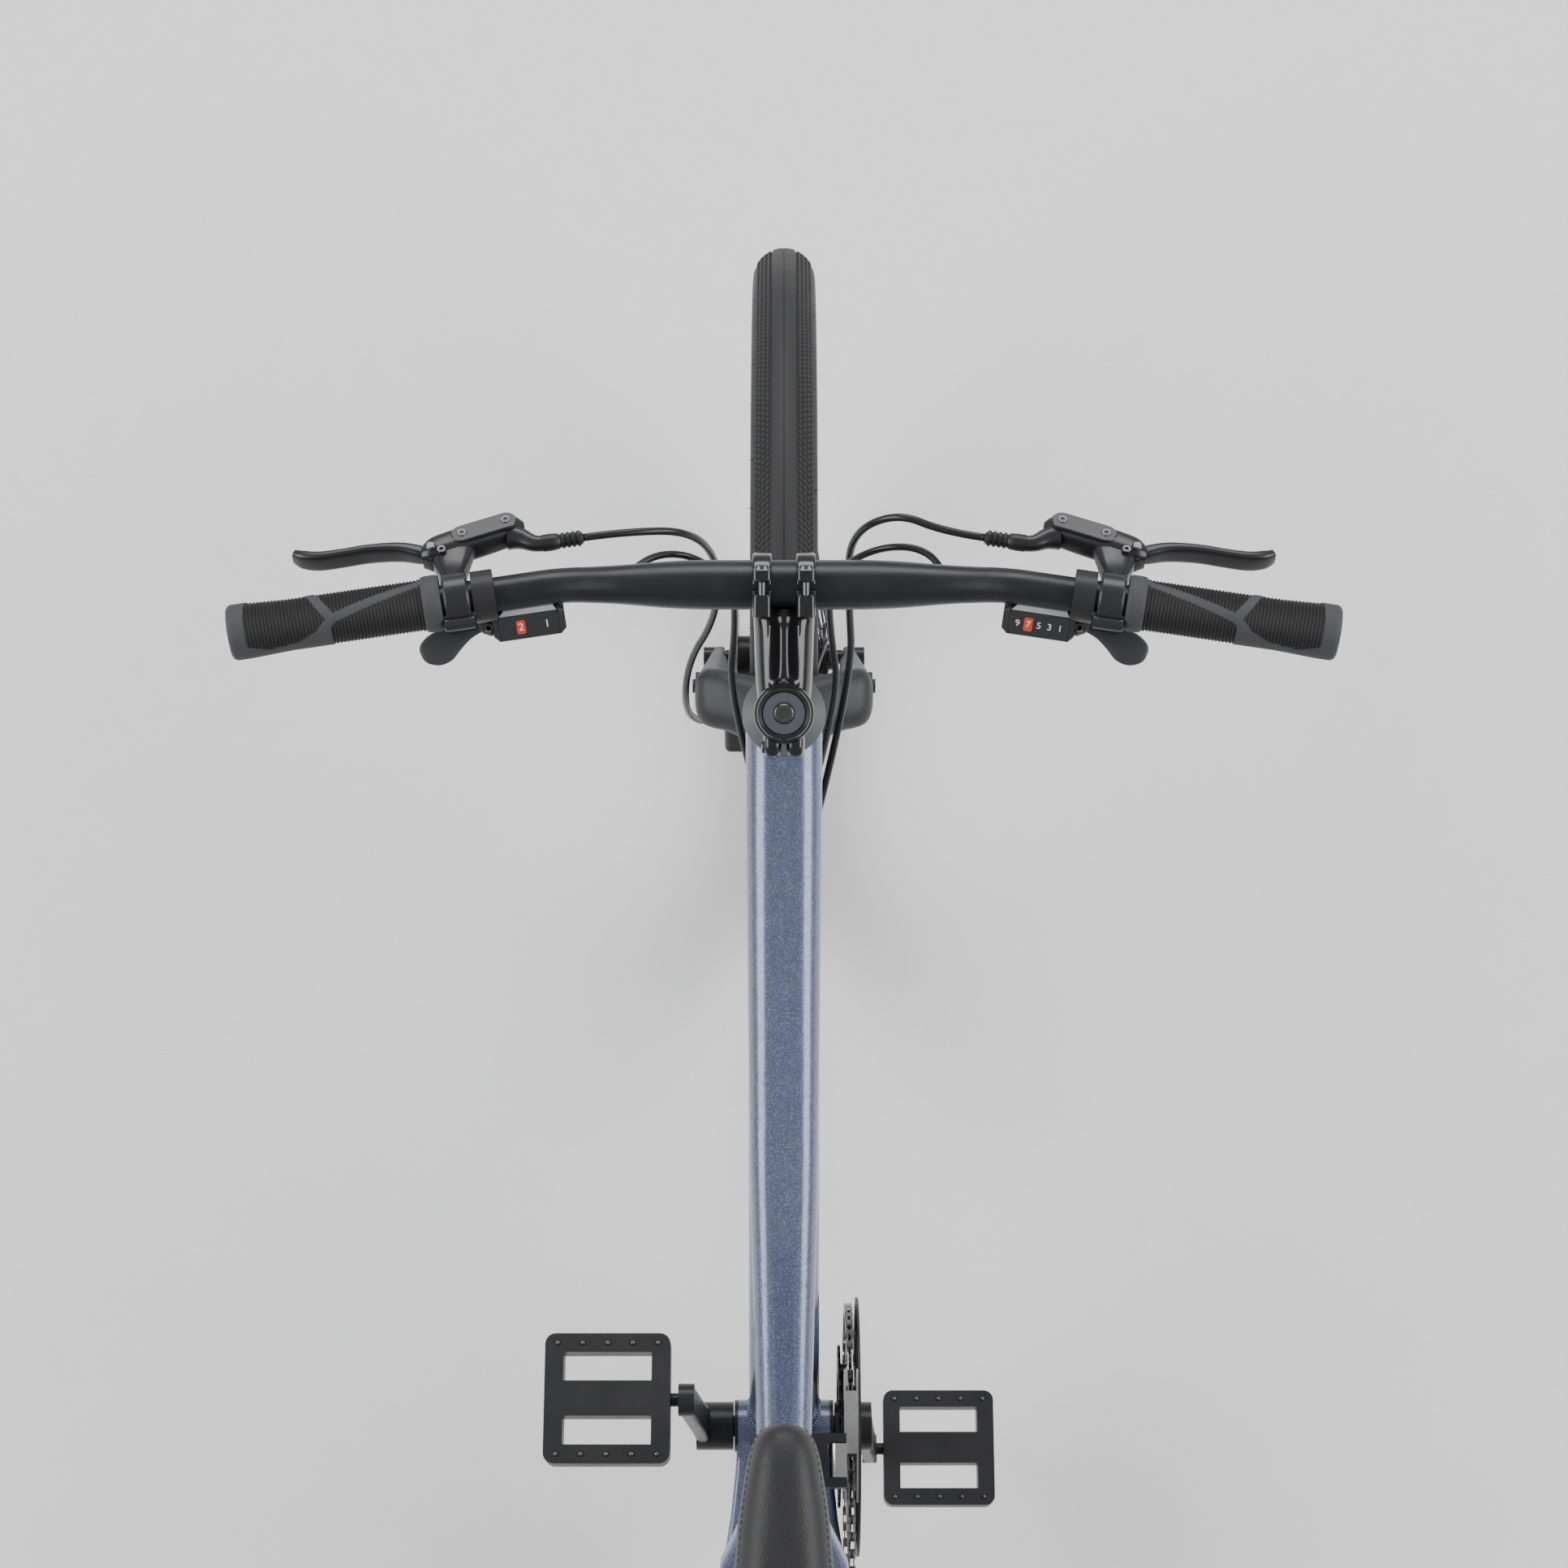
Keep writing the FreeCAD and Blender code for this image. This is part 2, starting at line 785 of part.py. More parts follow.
def make_rim(name, place):
    seat = "dim.bead_diameter / 2"
    lip = f"{seat} + dim.rim_flange_height"
    side = f"{seat} - dim.rim_side_depth"
    nose = f"{seat} - dim.rim_depth"
    inner = "dim.rim_inner_width / 2"
    outer = f"{inner} + dim.rim_flange"
    half_nose = "dim.rim_nose_width / 2"
    corners = [
        (lip, outer), (lip, inner), (seat, inner), (seat, f"-({inner})"), (lip, f"-({inner})"),
        (lip, f"-({outer})"), (side, f"-({outer})"), (nose, f"-({half_nose})"), (nose, half_nose),
        (side, outer),
    ]
    return node(turned(name, corners, place), name)


make_tyre("front_tyre", front_wheel)
make_rim("front_rim", front_wheel)
make_tyre("rear_tyre", rear_wheel)
make_rim("rear_rim", rear_wheel)


# Hubs and spokes


def make_hub(name, place, width, left, right, rotor_place):
    """Turned shell with two flanges, rotor seat on the left, bored for the axle."""
    bore = "dim.axle_diameter / 2 + dim.running_gap"
    shell = "dim.hub_shell_diameter / 2"
    flange = "dim.hub_flange_diameter / 2"
    half_flange = "dim.hub_flange_thickness / 2"
    seat = "dim.rotor_seat_diameter / 2"
    ends = "dim.hub_end_diameter / 2"
    rotor_face = f"{rotor_place} - dim.rotor_thickness / 2"
    high = f"{width} / 2 - dim.hub_end_length"
    low = f"-({width} / 2) + dim.hub_end_length"
    corners = [
        (bore, low), (ends, low), (ends, f"-{right} - {half_flange}"),
        (flange, f"-{right} - {half_flange}"), (flange, f"-{right} + {half_flange}"),
        (shell, f"-{right} + {half_flange}"), (shell, f"{left} - {half_flange}"),
        (flange, f"{left} - {half_flange}"), (flange, f"{left} + {half_flange}"),
        (seat, f"{left} + {half_flange}"), (seat, rotor_face), (ends, rotor_face), (ends, high), (bore, high),
    ]
    return node(turned(name, corners, place), name)


def make_spokes(name, place, left, right):
    """Crossed spokes: each flange's spokes lie in turn on its outer and inner face."""
    rim_r = d.bead_diameter / 2 - d.rim_depth - d.seam_gap - d.spoke_diameter / 2
    hub_r = d.spoke_circle_diameter / 2
    cross_angle = 3 * 2 * 360 / SPOKES
    stand_off = d.hub_flange_thickness / 2 + d.spoke_diameter / 2 + d.seam_gap
    edge_r = d.hub_flange_diameter / 2 + d.spoke_diameter
    run = math.sqrt(rim_r ** 2 + hub_r ** 2 - 2 * rim_r * hub_r * cosine(cross_angle))
    lean = (rim_r ** 2 - hub_r ** 2 - run ** 2) / (2 * run)
    leave_share = (math.sqrt(lean ** 2 + edge_r ** 2 - hub_r ** 2) - lean) / run
    pieces = []
    for i in range(SPOKES):
        side = 1 if i % 2 else -1
        flange = left if side > 0 else -right
        outer = 1 if (i // 2) % 2 else -1
        rim_angle = 360 / SPOKES * (i + 0.5)
        hub_angle = rim_angle + cross_angle * outer
        hub_height = flange + side * outer * stand_off
        rim_height = side * (d.spoke_rim_spread + outer * d.spoke_rim_offset)
        if outer > 0:
            hub_height = (hub_height - rim_height * leave_share) / (1 - leave_share)
        start = Vector(hub_r * cosine(hub_angle), hub_r * sine(hub_angle), hub_height)
        end = Vector(rim_r * cosine(rim_angle), rim_r * sine(rim_angle), rim_height)
        made = doc.addObject("Part::Cylinder", f"{name}_{i + 1}")
        made.setExpression("Radius", "dim.spoke_diameter / 2")
        made.Height = (end - start).Length
        made.Placement = place * along(start, end - start)
        pieces.append(made)
    return group(name, pieces)


make_hub("front_hub", front_wheel, "dim.front_hub_width", "dim.front_flange_left",
         "dim.front_flange_right", "dim.front_rotor_place")
make_hub("rear_hub", rear_wheel, "dim.rear_hub_width", "dim.rear_flange_left",
         "dim.rear_flange_right", "dim.rear_rotor_place")
make_spokes("front_spokes", front_wheel, d.front_flange_left, d.front_flange_right)
make_spokes("rear_spokes", rear_wheel, d.rear_flange_left, d.rear_flange_right)


# Disc brake rotors


def make_rotor(name, place, rotor_place):
    """Stamped steel disc: brake band, slanted arms and six bolt holes."""

    def disc(sketch):
        draw_circle(sketch, "0", "0", "dim.rotor_diameter")
        draw_circle(sketch, "0", "0", "dim.hub_end_diameter + 2 * dim.seam_gap")

    body = padded(name, disc, "dim.rotor_thickness", at_height(place, rotor_place))
    inner = "dim.rotor_carrier_diameter / 2"
    outer = "dim.rotor_diameter / 2 - dim.rotor_band"
    step = f"{360 / ROTOR_ARMS} deg"
    lean = "25 deg"

    def window(sketch):
        start_in = f"asin(dim.rotor_arm_width / 2 / ({inner}))"
        start_out = f"asin(dim.rotor_arm_width / 2 / ({outer})) + {lean}"
        end_in = f"({step} - {start_in})"
        end_out = f"({step} + {lean} - asin(dim.rotor_arm_width / 2 / ({outer})))"
        corners = [
            (f"({inner}) * cos({start_in})", f"({inner}) * sin({start_in})"),
            (f"({outer}) * cos({start_out})", f"({outer}) * sin({start_out})"),
            (f"({outer}) * cos({end_out})", f"({outer}) * sin({end_out})"),
            (f"({inner}) * cos({end_in})", f"({inner}) * sin({end_in})"),
        ]
        draw_outline(sketch, corners, {1: (outer, 1), 3: (inner, -1)})

    polar(body, name + "_arms", pocket_all(body, name + "_window", window), ROTOR_ARMS)

    def vent(sketch):
        draw_circle(sketch, "dim.rotor_diameter / 2 - dim.rotor_band / 2", "0", "dim.rotor_vent_diameter")

    polar(body, name + "_vents", pocket_all(body, name + "_vent", vent), ROTOR_VENTS)

    def bolt(sketch):
        draw_circle(sketch, "0", "dim.rotor_bolt_circle / 2", "dim.rotor_bolt_diameter")

    polar(body, name + "_bolt_holes", pocket_all(body, name + "_bolt_hole", bolt), ROTOR_ARMS)
    return node(body, name)


make_rotor("front_rotor", front_wheel, d.front_rotor_place)
make_rotor("rear_rotor", rear_wheel, d.rear_rotor_place)


# Axles: bolted through axles with a socket head on the left and a nut on the right


def make_axle(name, place, width, end_thickness):
    half = f"({width} / 2)"
    tip = "dim.skewer_tip_diameter / 2"
    axle = "dim.axle_diameter / 2"
    nut = "dim.skewer_nut_diameter / 2"
    seat = f"{half} + {end_thickness}"
    face = f"{seat} + dim.skewer_nut_length"
    socket = "dim.skewer_socket / 2"
    corners = [
        ("0", f"-({face})"), (nut, f"-({face})"), (nut, f"-({seat})"), (tip, f"-({seat})"), (tip, f"-{half}"),
        (axle, f"-{half}"), (axle, half), (tip, half), (tip, seat), (nut, seat), (nut, face),
        (socket, face), (socket, f"{face} - dim.skewer_socket_depth"),
        ("0", f"{face} - dim.skewer_socket_depth"),
    ]
    return node(turned(name, corners, place), name)


make_axle("front_axle", front_wheel, "dim.front_hub_width", "dim.fork_end_thickness")
make_axle("rear_axle", rear_wheel, "dim.rear_hub_width", "dim.dropout_thickness")

# Head tube, with a wide seat for a bearing at each end

head_outer = "dim.head_tube_diameter / 2"
head_waist = "dim.head_tube_waist / 2"
head_bore = "dim.bearing_diameter / 2"
head_inner = "dim.bearing_diameter / 2 - dim.bearing_shoulder"
flare = "dim.head_tube_flare"
long = "dim.head_tube_length"
deep = "dim.bearing_height"
head_tube = turned(
    "head_tube",
    [
        (head_bore, "0"), (head_outer, "0"), (head_outer, f"{flare} / 2"), (head_waist, f"{flare} * 1.5"),
        (head_waist, f"{long} - {flare} * 1.5"), (head_outer, f"{long} - {flare} / 2"), (head_outer, long),
        (head_bore, long), (head_bore, f"{long} - {deep}"), (head_inner, f"{long} - {deep}"),
        (head_inner, deep), (head_bore, deep),
    ],
    at_height(steer, head_low),
)
node(head_tube, "head_tube")


def make_bearing(name, height):
    bore = "dim.steerer_diameter / 2 + dim.running_gap"
    outer = "dim.bearing_diameter / 2"
    corners = [(bore, "0"), (outer, "0"), (outer, deep), (bore, deep)]
    return turned(name, corners, at_height(steer, height))


head_bearings = [
    make_bearing("lower_bearing", head_low),
    make_bearing("upper_bearing", head_high - d.bearing_height),
]

# Bottom bracket shell and its cups; local Z of the crank frame points left

crank_frame = Placement(bb, Rotation(X_AXIS, -QUARTER_TURN))
bb_low = at_height(crank_frame, -d.bb_shell_width / 2)
bb_shell = cut(
    "bb_shell",
    cylinder("bb_shell_outside", "dim.bb_shell_diameter / 2", "dim.bb_shell_width", bb_low),
    cylinder("bb_shell_bore", "dim.bb_bore / 2", "dim.bb_shell_width", bb_low),
)


def make_cup(name):
    bore = "dim.spindle_diameter / 2 + dim.running_gap"
    inside = "dim.bb_bore / 2"
    half = "dim.bb_shell_width / 2"
    corners = [
        (bore, f"{half} / 2"), (inside, f"{half} / 2"), (inside, half), ("dim.bb_cup_diameter / 2", half),
        ("dim.bb_cup_diameter / 2", f"{half} + dim.bb_cup_flange"), (bore, f"{half} + dim.bb_cup_flange"),
    ]
    return turned(name, corners, crank_frame)


left_cup = make_cup("left_cup")
group("frame_bearings", head_bearings + [left_cup, mirrored("right_cup", left_cup)])

# Seat tube: butted on to the bottom bracket shell and bored for the seatpost

seat_outside = cylinder("seat_tube_outside", "dim.seat_tube_diameter / 2", "dim.seat_tube_length", seat_frame)
seat_bore = cylinder(
    "seat_tube_bore", "dim.seatpost_diameter / 2 + dim.running_gap", "dim.seat_tube_length", seat_frame,
)
bb_tool = cylinder("bb_shell_space", "dim.bb_shell_diameter / 2", "dim.bb_shell_width", bb_low)
seat_pipe = cut("seat_pipe", cut("seat_tube_pipe", seat_outside, seat_bore), bb_tool)
group("seat_tube", [seat_pipe, bb_shell])
doc.recompute()

# Top tube and down tube: hydroformed, so each is lofted between rounded sections and coped at both ends

top_start = steer.multVec(Vector(0, 0, head_high - d.top_tube_below_head))
top_end = bb + seat_up * (d.seat_tube_length - d.seat_cluster_below)
down_start = steer.multVec(Vector(0, 0, head_low + d.down_tube_above_crown))


def tube_section(start, end, share, width, height, round_share):
    """Place and size of one section of a tube: width along Y, height square to the tube."""
    run = end - start
    place = axes_placement(start + run * share, Y_AXIS, run)
    return place, width, height, min(width, height) * round_share


def hollow_loft(sections, wall):
    outer = lofted([rounded_wire(*item) for item in sections])
    inner = lofted([
        rounded_wire(place, width - 2 * wall, height - 2 * wall, radius - wall / 2)
        for place, width, height, radius in sections
    ])
    return outer.cut(inner)


def head_space():
    """Outside of the head tube as a plug, to cope the tubes that meet it."""
    return head_tube.Shape.fuse(Part.makeCylinder(
        d.head_tube_waist / 2 - d.tube_wall, d.head_tube_length, steer.multVec(Vector(0, 0, head_low)), steer_up
    )).removeSplitter()


head_plug = head_space()
seat_plug = seat_outside.Shape
bb_plug = bb_tool.Shape


def largest(shape):
    return max(shape.Solids, key=lambda solid: solid.Volume)


top_sections = [
    tube_section(top_start, top_end, 0, d.top_tube_head_width, d.top_tube_head_height, 0.4),
    tube_section(top_start, top_end, 0.12, d.top_tube_head_width, d.top_tube_head_height, 0.4),
    tube_section(top_start, top_end, 0.55, d.top_tube_mid_width, d.top_tube_mid_height, 0.4),
    tube_section(top_start, top_end, 1, d.top_tube_seat_width, d.top_tube_seat_height, 0.45),
]
collar_low = d.seat_tube_length - d.seat_collar_height
collar_plug = Part.makeCylinder(
    d.seat_collar_diameter / 2 + d.seam_gap, d.seat_collar_height + d.seam_gap,
    seat_vec(0, 0, collar_low - d.seam_gap), seat_up,
)
top_tube = hollow_loft(top_sections, d.tube_wall).cut(head_plug).cut(seat_plug).cut(collar_plug)
feature("top_tube", largest(top_tube))

down_sections = [
    tube_section(down_start, bb, 0, d.down_tube_head_width, d.down_tube_head_height, 0.45),
    tube_section(down_start, bb, 0.15, d.down_tube_head_width, d.down_tube_head_height, 0.45),
    tube_section(down_start, bb, 0.6, d.down_tube_mid_width, d.down_tube_head_height, 0.4),
    tube_section(down_start, bb, 1, d.down_tube_bb_width, d.down_tube_bb_height, 0.4),
]
down_shape = hollow_loft(down_sections, d.tube_wall).cut(head_plug).cut(bb_plug).cut(seat_plug)
down_shape = largest(down_shape.cut(lofted([rounded_wire(*item) for item in top_sections])))
down_tube = feature("down_tube", down_shape)

# Rear dropouts: one plate with the derailleur hanger on the right and one without on the left

stay_run = bb - rear_axle
dropout_y = d.rear_hub_width / 2
dropout_middle = dropout_y + d.dropout_thickness / 2
seatstay_top = bb + seat_up * (d.seat_tube_length - d.seatstay_below)
seat_run = seatstay_top - rear_axle


def arm_direction(run):
    flat = Vector(run.x, 0, run.z)
    return flat.normalize()


def capsule(start, end, width, thickness, y_low):
    """Flat bar with round ends in a plane square to Y."""
    bar = end - start
    length = bar.Length
    bar.normalize()
    side = Vector(-bar.z, 0, bar.x) * (width / 2)
    offset = Vector(0, y_low, 0)
    a, b, c, e = (start + side, end + side, end - side, start - side)
    edges = [
        Part.LineSegment(a + offset, b + offset).toShape(),
        Part.Arc(b + offset, end + bar * (width / 2) + offset, c + offset).toShape(),
        Part.LineSegment(c + offset, e + offset).toShape(),
        Part.Arc(e + offset, start - bar * (width / 2) + offset, a + offset).toShape(),
    ]
    return Part.Face(Part.Wire(edges)).extrude(Vector(0, thickness, 0))


def y_cylinder(centre, radius, y_low, length):
    return Part.makeCylinder(radius, length, Vector(centre.x, y_low, centre.z), Y_AXIS)


eyelet = rear_axle + Vector(-sine(30), 0, cosine(30)) * d.eyelet_reach
hanger_bolt = rear_axle + Vector(-d.hanger_back, 0, -d.hanger_drop)


def make_dropout(side, with_hanger):
    y_low = dropout_y if side > 0 else -dropout_y - d.dropout_thickness
    plate = y_cylinder(rear_axle, d.dropout_radius, y_low, d.dropout_thickness)
    for run in (stay_run, seat_run):
        end = rear_axle + arm_direction(run) * d.dropout_arm
        plate = plate.fuse(capsule(rear_axle, end, d.dropout_arm_width, d.dropout_thickness, y_low))
    plate = plate.fuse(capsule(rear_axle, eyelet, 2 * d.eyelet_radius, d.dropout_thickness, y_low))
    if with_hanger:
        plate = plate.fuse(capsule(rear_axle, hanger_bolt, d.hanger_width, d.dropout_thickness, y_low))
        plate = plate.cut(y_cylinder(hanger_bolt, d.pivot_pin_diameter, y_low, d.dropout_thickness))
    plate = plate.cut(y_cylinder(rear_axle, d.skewer_tip_diameter / 2, y_low, d.dropout_thickness))
    plate = plate.cut(y_cylinder(eyelet, d.eyelet_hole / 2, y_low, d.dropout_thickness))
    return plate.removeSplitter()


left_dropout = make_dropout(1, False)
right_dropout = make_dropout(-1, True)
dropouts = feature("rear_dropouts", Part.makeCompound([left_dropout, right_dropout]))

# Chainstays and seatstays: bent outwards round the tyre, slotted over the dropouts


def stay_place(centre, run):
    return axes_placement(centre, Y_AXIS, run)


def make_stay(stations, trims):
    """Loft through (point, width, height) stations, with sections square to the stay's side view."""
    first = stations[0][0]
    last = stations[-1][0]
    run = Vector(last.x - first.x, 0, last.z - first.z)
    wires = []
    for point, width, height in resample(stations, STAY_SECTIONS):
        wires.append(rounded_wire(stay_place(point, run), width, height, d.stay_wall_round))
    shape = lofted(wires)
    for trim in trims:
        shape = shape.cut(trim)
    return largest(shape)


def on_stay(start, end, share, y):
    point = start + (end - start) * share
    return Vector(point.x, y, point.z)


tyre_space = y_cylinder(
    rear_axle, tyre_radius + d.tyre_width / 4, -d.tyre_width / 2 - d.seam_gap, d.tyre_width + 2 * d.seam_gap
)
stay_length = stay_run.Length
tyre_share = (stay_length - tyre_radius) / stay_length
stay_stop = 1 - d.stay_end_gap / stay_length
chainstay_stations = [
    (on_stay(bb, rear_axle, 0, d.chainstay_front_y), d.chainstay_front_width, d.chainstay_front_height),
    (on_stay(bb, rear_axle, tyre_share * 0.6, (d.chainstay_front_y * 2 + d.chainstay_tyre_y) / 3),
     d.chainstay_front_width, d.chainstay_front_height),
    (on_stay(bb, rear_axle, tyre_share * 1.1, d.chainstay_tyre_y),
     d.chainstay_front_width, d.chainstay_front_height),
    (on_stay(bb, rear_axle, 0.7, (d.chainstay_tyre_y + 2 * dropout_middle) / 3 ),
     d.chainstay_end_width, (d.chainstay_front_height + d.chainstay_end_height) / 2),
    (on_stay(bb, rear_axle, stay_stop, dropout_middle), d.chainstay_end_width, d.chainstay_end_height),
]
cup_half = d.bb_shell_width / 2 + 2 * d.bb_cup_flange
bb_clear = y_cylinder(bb, d.bb_shell_diameter / 2, -cup_half, 2 * cup_half)
left_chainstay = make_stay(chainstay_stations, [bb_clear, seat_plug, left_dropout])
left_chainstay = loose("left_chainstay", left_chainstay)
right_chainstay = make_stay(
    [(Vector(p.x, -p.y, p.z), w, h) for p, w, h in chainstay_stations], [bb_clear, seat_plug, right_dropout]
)
right_chainstay = loose("right_chainstay", right_chainstay)

seat_length = seat_run.Length
seatstay_stop = 1 - d.stay_end_gap / seat_length
seatstay_stations = [
    (on_stay(seatstay_top, rear_axle, 0, d.seatstay_top_y), d.seatstay_width, d.seatstay_height),
    (on_stay(seatstay_top, rear_axle, 0.09, (d.seatstay_top_y + 3 * d.seatstay_tyre_y) / 4),
     d.seatstay_width, d.seatstay_height),
    (on_stay(seatstay_top, rear_axle, 0.22, d.seatstay_tyre_y), d.seatstay_width, d.seatstay_height),
    (on_stay(seatstay_top, rear_axle, 0.6, (d.seatstay_tyre_y + dropout_middle) / 2),
     d.seatstay_width, d.seatstay_height),
    (
        on_stay(seatstay_top, rear_axle, seatstay_stop, dropout_middle), d.chainstay_end_width,
        d.seatstay_height,
    ),
]
left_seatstay = make_stay(seatstay_stations, [seat_plug, left_dropout])
left_seatstay = loose("left_seatstay", left_seatstay)
right_seatstay = make_stay(
    [(Vector(p.x, -p.y, p.z), w, h) for p, w, h in seatstay_stations], [seat_plug, right_dropout]
)
right_seatstay = loose("right_seatstay", right_seatstay)
group("rear_stays", [left_chainstay, right_chainstay, left_seatstay, right_seatstay])

# Seat collar, with a split and an ear for its bolt at the back


def seat_box(x_low, y_low, z_low, x_size, y_size, z_size):
    box = Part.makeBox(x_size, y_size, z_size, Vector(x_low, y_low, z_low))
    box.Placement = seat_frame
    return box


collar_top = collar_low + d.seat_collar_height
collar = Part.makeCylinder(
    d.seat_collar_diameter / 2, d.seat_collar_height, seat_vec(0, 0, collar_low), seat_up,
)
collar = collar.fuse(seat_box(
    -d.seat_collar_diameter / 2 - d.seat_collar_ear / 2, -d.seat_collar_ear / 2, collar_low,
    d.seat_collar_ear, d.seat_collar_ear, d.seat_collar_height,
))
collar = collar.cut(Part.makeCylinder(
    d.seat_tube_diameter / 2, d.seat_collar_height, seat_vec(0, 0, collar_low), seat_up
))
collar = collar.cut(seat_box(
    -d.seat_collar_diameter, -d.seat_collar_split / 2, collar_low,
    d.seat_collar_diameter, d.seat_collar_split, d.seat_collar_height,
))
collar_bolt_at = seat_vec(
    -d.seat_collar_diameter / 2 - d.seat_collar_ear / 4, -d.seat_collar_ear / 2, collar_low + d.seat_collar_height / 2
)
collar = collar.cut(Part.makeCylinder(d.collar_bolt_diameter / 2, d.seat_collar_ear, collar_bolt_at, Y_AXIS))
collar_bolt = Part.makeCylinder(d.collar_bolt_diameter / 2, d.seat_collar_ear, collar_bolt_at, Y_AXIS)
collar_bolt = collar_bolt.fuse(Part.makeCylinder(
    d.bolt_head_diameter / 2, d.bolt_head_height, collar_bolt_at + Y_AXIS * d.seat_collar_ear, Y_AXIS
))
feature("seat_collar", Part.makeCompound([collar.removeSplitter(), collar_bolt.removeSplitter()]))

# Seatpost: tube with a cradle for the rails on its head

post_top = d.seat_tube_length + d.seatpost_exposed
post_low = post_top - d.seatpost_length
post_frame = at_height(seat_frame, post_low)
post_tube = Part.makeCylinder(d.seatpost_diameter / 2, d.seatpost_length, seat_vec(0, 0, post_low), seat_up)
post_tube = post_tube.cut(Part.makeCylinder(
    d.seatpost_diameter / 2 - d.seatpost_wall, d.seatpost_length - d.post_head_height,
    seat_vec(0, 0, post_low), seat_up,
))
post_head_centre = seat_vec(0, 0, post_top)
level = axes_placement(post_head_centre, X_AXIS, Z_AXIS)


def level_box(x_low, y_low, z_low, x_size, y_size, z_size):
    box = Part.makeBox(x_size, y_size, z_size, Vector(x_low, y_low, z_low))
    box.Placement = level
    return box


def rail_hole(side, extra):
    radius = d.rail_diameter / 2 + extra
    start = level.multVec(Vector(-d.post_head_length, side * d.rail_spread, d.post_head_height / 2))
    return Part.makeCylinder(radius, 2 * d.post_head_length, start, X_AXIS)


head_span = 2 * d.rail_spread + 2 * d.rail_diameter
post_head = level_box(
    -d.post_head_length / 2, -head_span / 2, -d.post_head_height / 4,
    d.post_head_length, head_span, d.post_head_height,
)
post_head = post_head.makeFillet(d.post_head_height / 5, post_head.Edges)
seatpost = post_tube.fuse(post_head)
for side in (1, -1):
    seatpost = seatpost.cut(rail_hole(side, 0))
seatpost = seatpost.removeSplitter()

# Saddle: two bent rails, a moulded shell and a soft pad

rail_height = d.post_head_height / 2
saddle_middle = -d.saddle_set_back
rail_half = d.rail_length / 2


def saddle_vec(x, y, z):
    return level.multVec(Vector(x, y, z))


def make_rail(side):
    spread = side * d.rail_spread
    points = [
        saddle_vec(saddle_middle - rail_half, spread * 1.6, rail_height + d.rail_rise),
        saddle_vec(saddle_middle - rail_half * 0.55, spread, rail_height),
        saddle_vec(saddle_middle + rail_half * 0.9, spread, rail_height),
        saddle_vec(saddle_middle + rail_half * 1.45, spread * 0.35, rail_height + d.rail_rise),
    ]
    return hose(points, d.rail_diameter)


rails = Part.makeCompound([make_rail(1), make_rail(-1)])
feature("seatpost", Part.makeCompound([seatpost] + rails.Solids))

SADDLE_WIDTH_SHARES = (
    (0, 0.72), (0.08, 0.97), (0.2, 1), (0.35, 0.82), (0.5, 0.53), (0.65, 0.36), (0.85, 0.29), (1, 0.2),
)
SADDLE_LIFT_SHARES = ((0, 0.42), (0.15, 0.3), (0.35, 0.06), (0.6, 0), (0.85, 0.05), (1, -0.12))


def share_at(table, at):
    return smooth_value([a for a, _ in table], [b for _, b in table], at)


def saddle_wire(at, low, high, grow):
    """Cross-section of the saddle at a share of its length, flat below and domed on top."""
    half = d.saddle_width / 2 * share_at(SADDLE_WIDTH_SHARES, at) - grow
    lift = d.saddle_pad_thickness * share_at(SADDLE_LIFT_SHARES, at)
    x = saddle_middle - d.saddle_length * 0.48 + d.saddle_length * at
    base = rail_height + d.rail_rise + lift
    side_low = base + low - d.saddle_pad_thickness * 0.28
    crown = base + high
    points = [
        saddle_vec(x, half, side_low), saddle_vec(x, half * 0.92, crown - (high - low) * 0.42),
        saddle_vec(x, half * 0.5, crown - (high - low) * 0.07), saddle_vec(x, 0, crown),
        saddle_vec(x, -half * 0.5, crown - (high - low) * 0.07),
        saddle_vec(x, -half * 0.92, crown - (high - low) * 0.42), saddle_vec(x, -half, side_low),
    ]
    curve = Part.BSplineCurve()
    curve.interpolate(points)
    under = Part.BSplineCurve()
    under.interpolate([points[-1], saddle_vec(x, 0, base + low), points[0]])
    return Part.Wire([curve.toShape(), under.toShape()])


SADDLE_SECTIONS = 9
saddle_steps = [k / (SADDLE_SECTIONS - 1) for k in range(SADDLE_SECTIONS)]
pad = lofted([saddle_wire(at, 0, d.saddle_pad_thickness, 0) for at in saddle_steps])
shell_top = lofted(
    [
        saddle_wire(
            at, -d.saddle_shell_thickness, d.saddle_pad_thickness / 2, d.seam_gap,
        ) for at in saddle_steps
    ]
)
shell = largest(shell_top.cut(pad))
feature("saddle_shell", largest(shell.cut(rails)))
feature("saddle_pad", largest(pad.cut(rails)))

# Fork crown: race, arms and shoulders in one forging, with the steerer pressed in


def fork_vec(x, y, z):
    return steer.multVec(Vector(x, y, z))


def crown_wire(y, forward, drop, depth, height, radius):
    """Section of the crown at one side station; depth runs fore and aft, height up the steering axis."""
    place = axes_placement(fork_vec(forward, y, -drop), steer_forward, Y_AXIS)
    return rounded_wire(place, depth, height, radius)


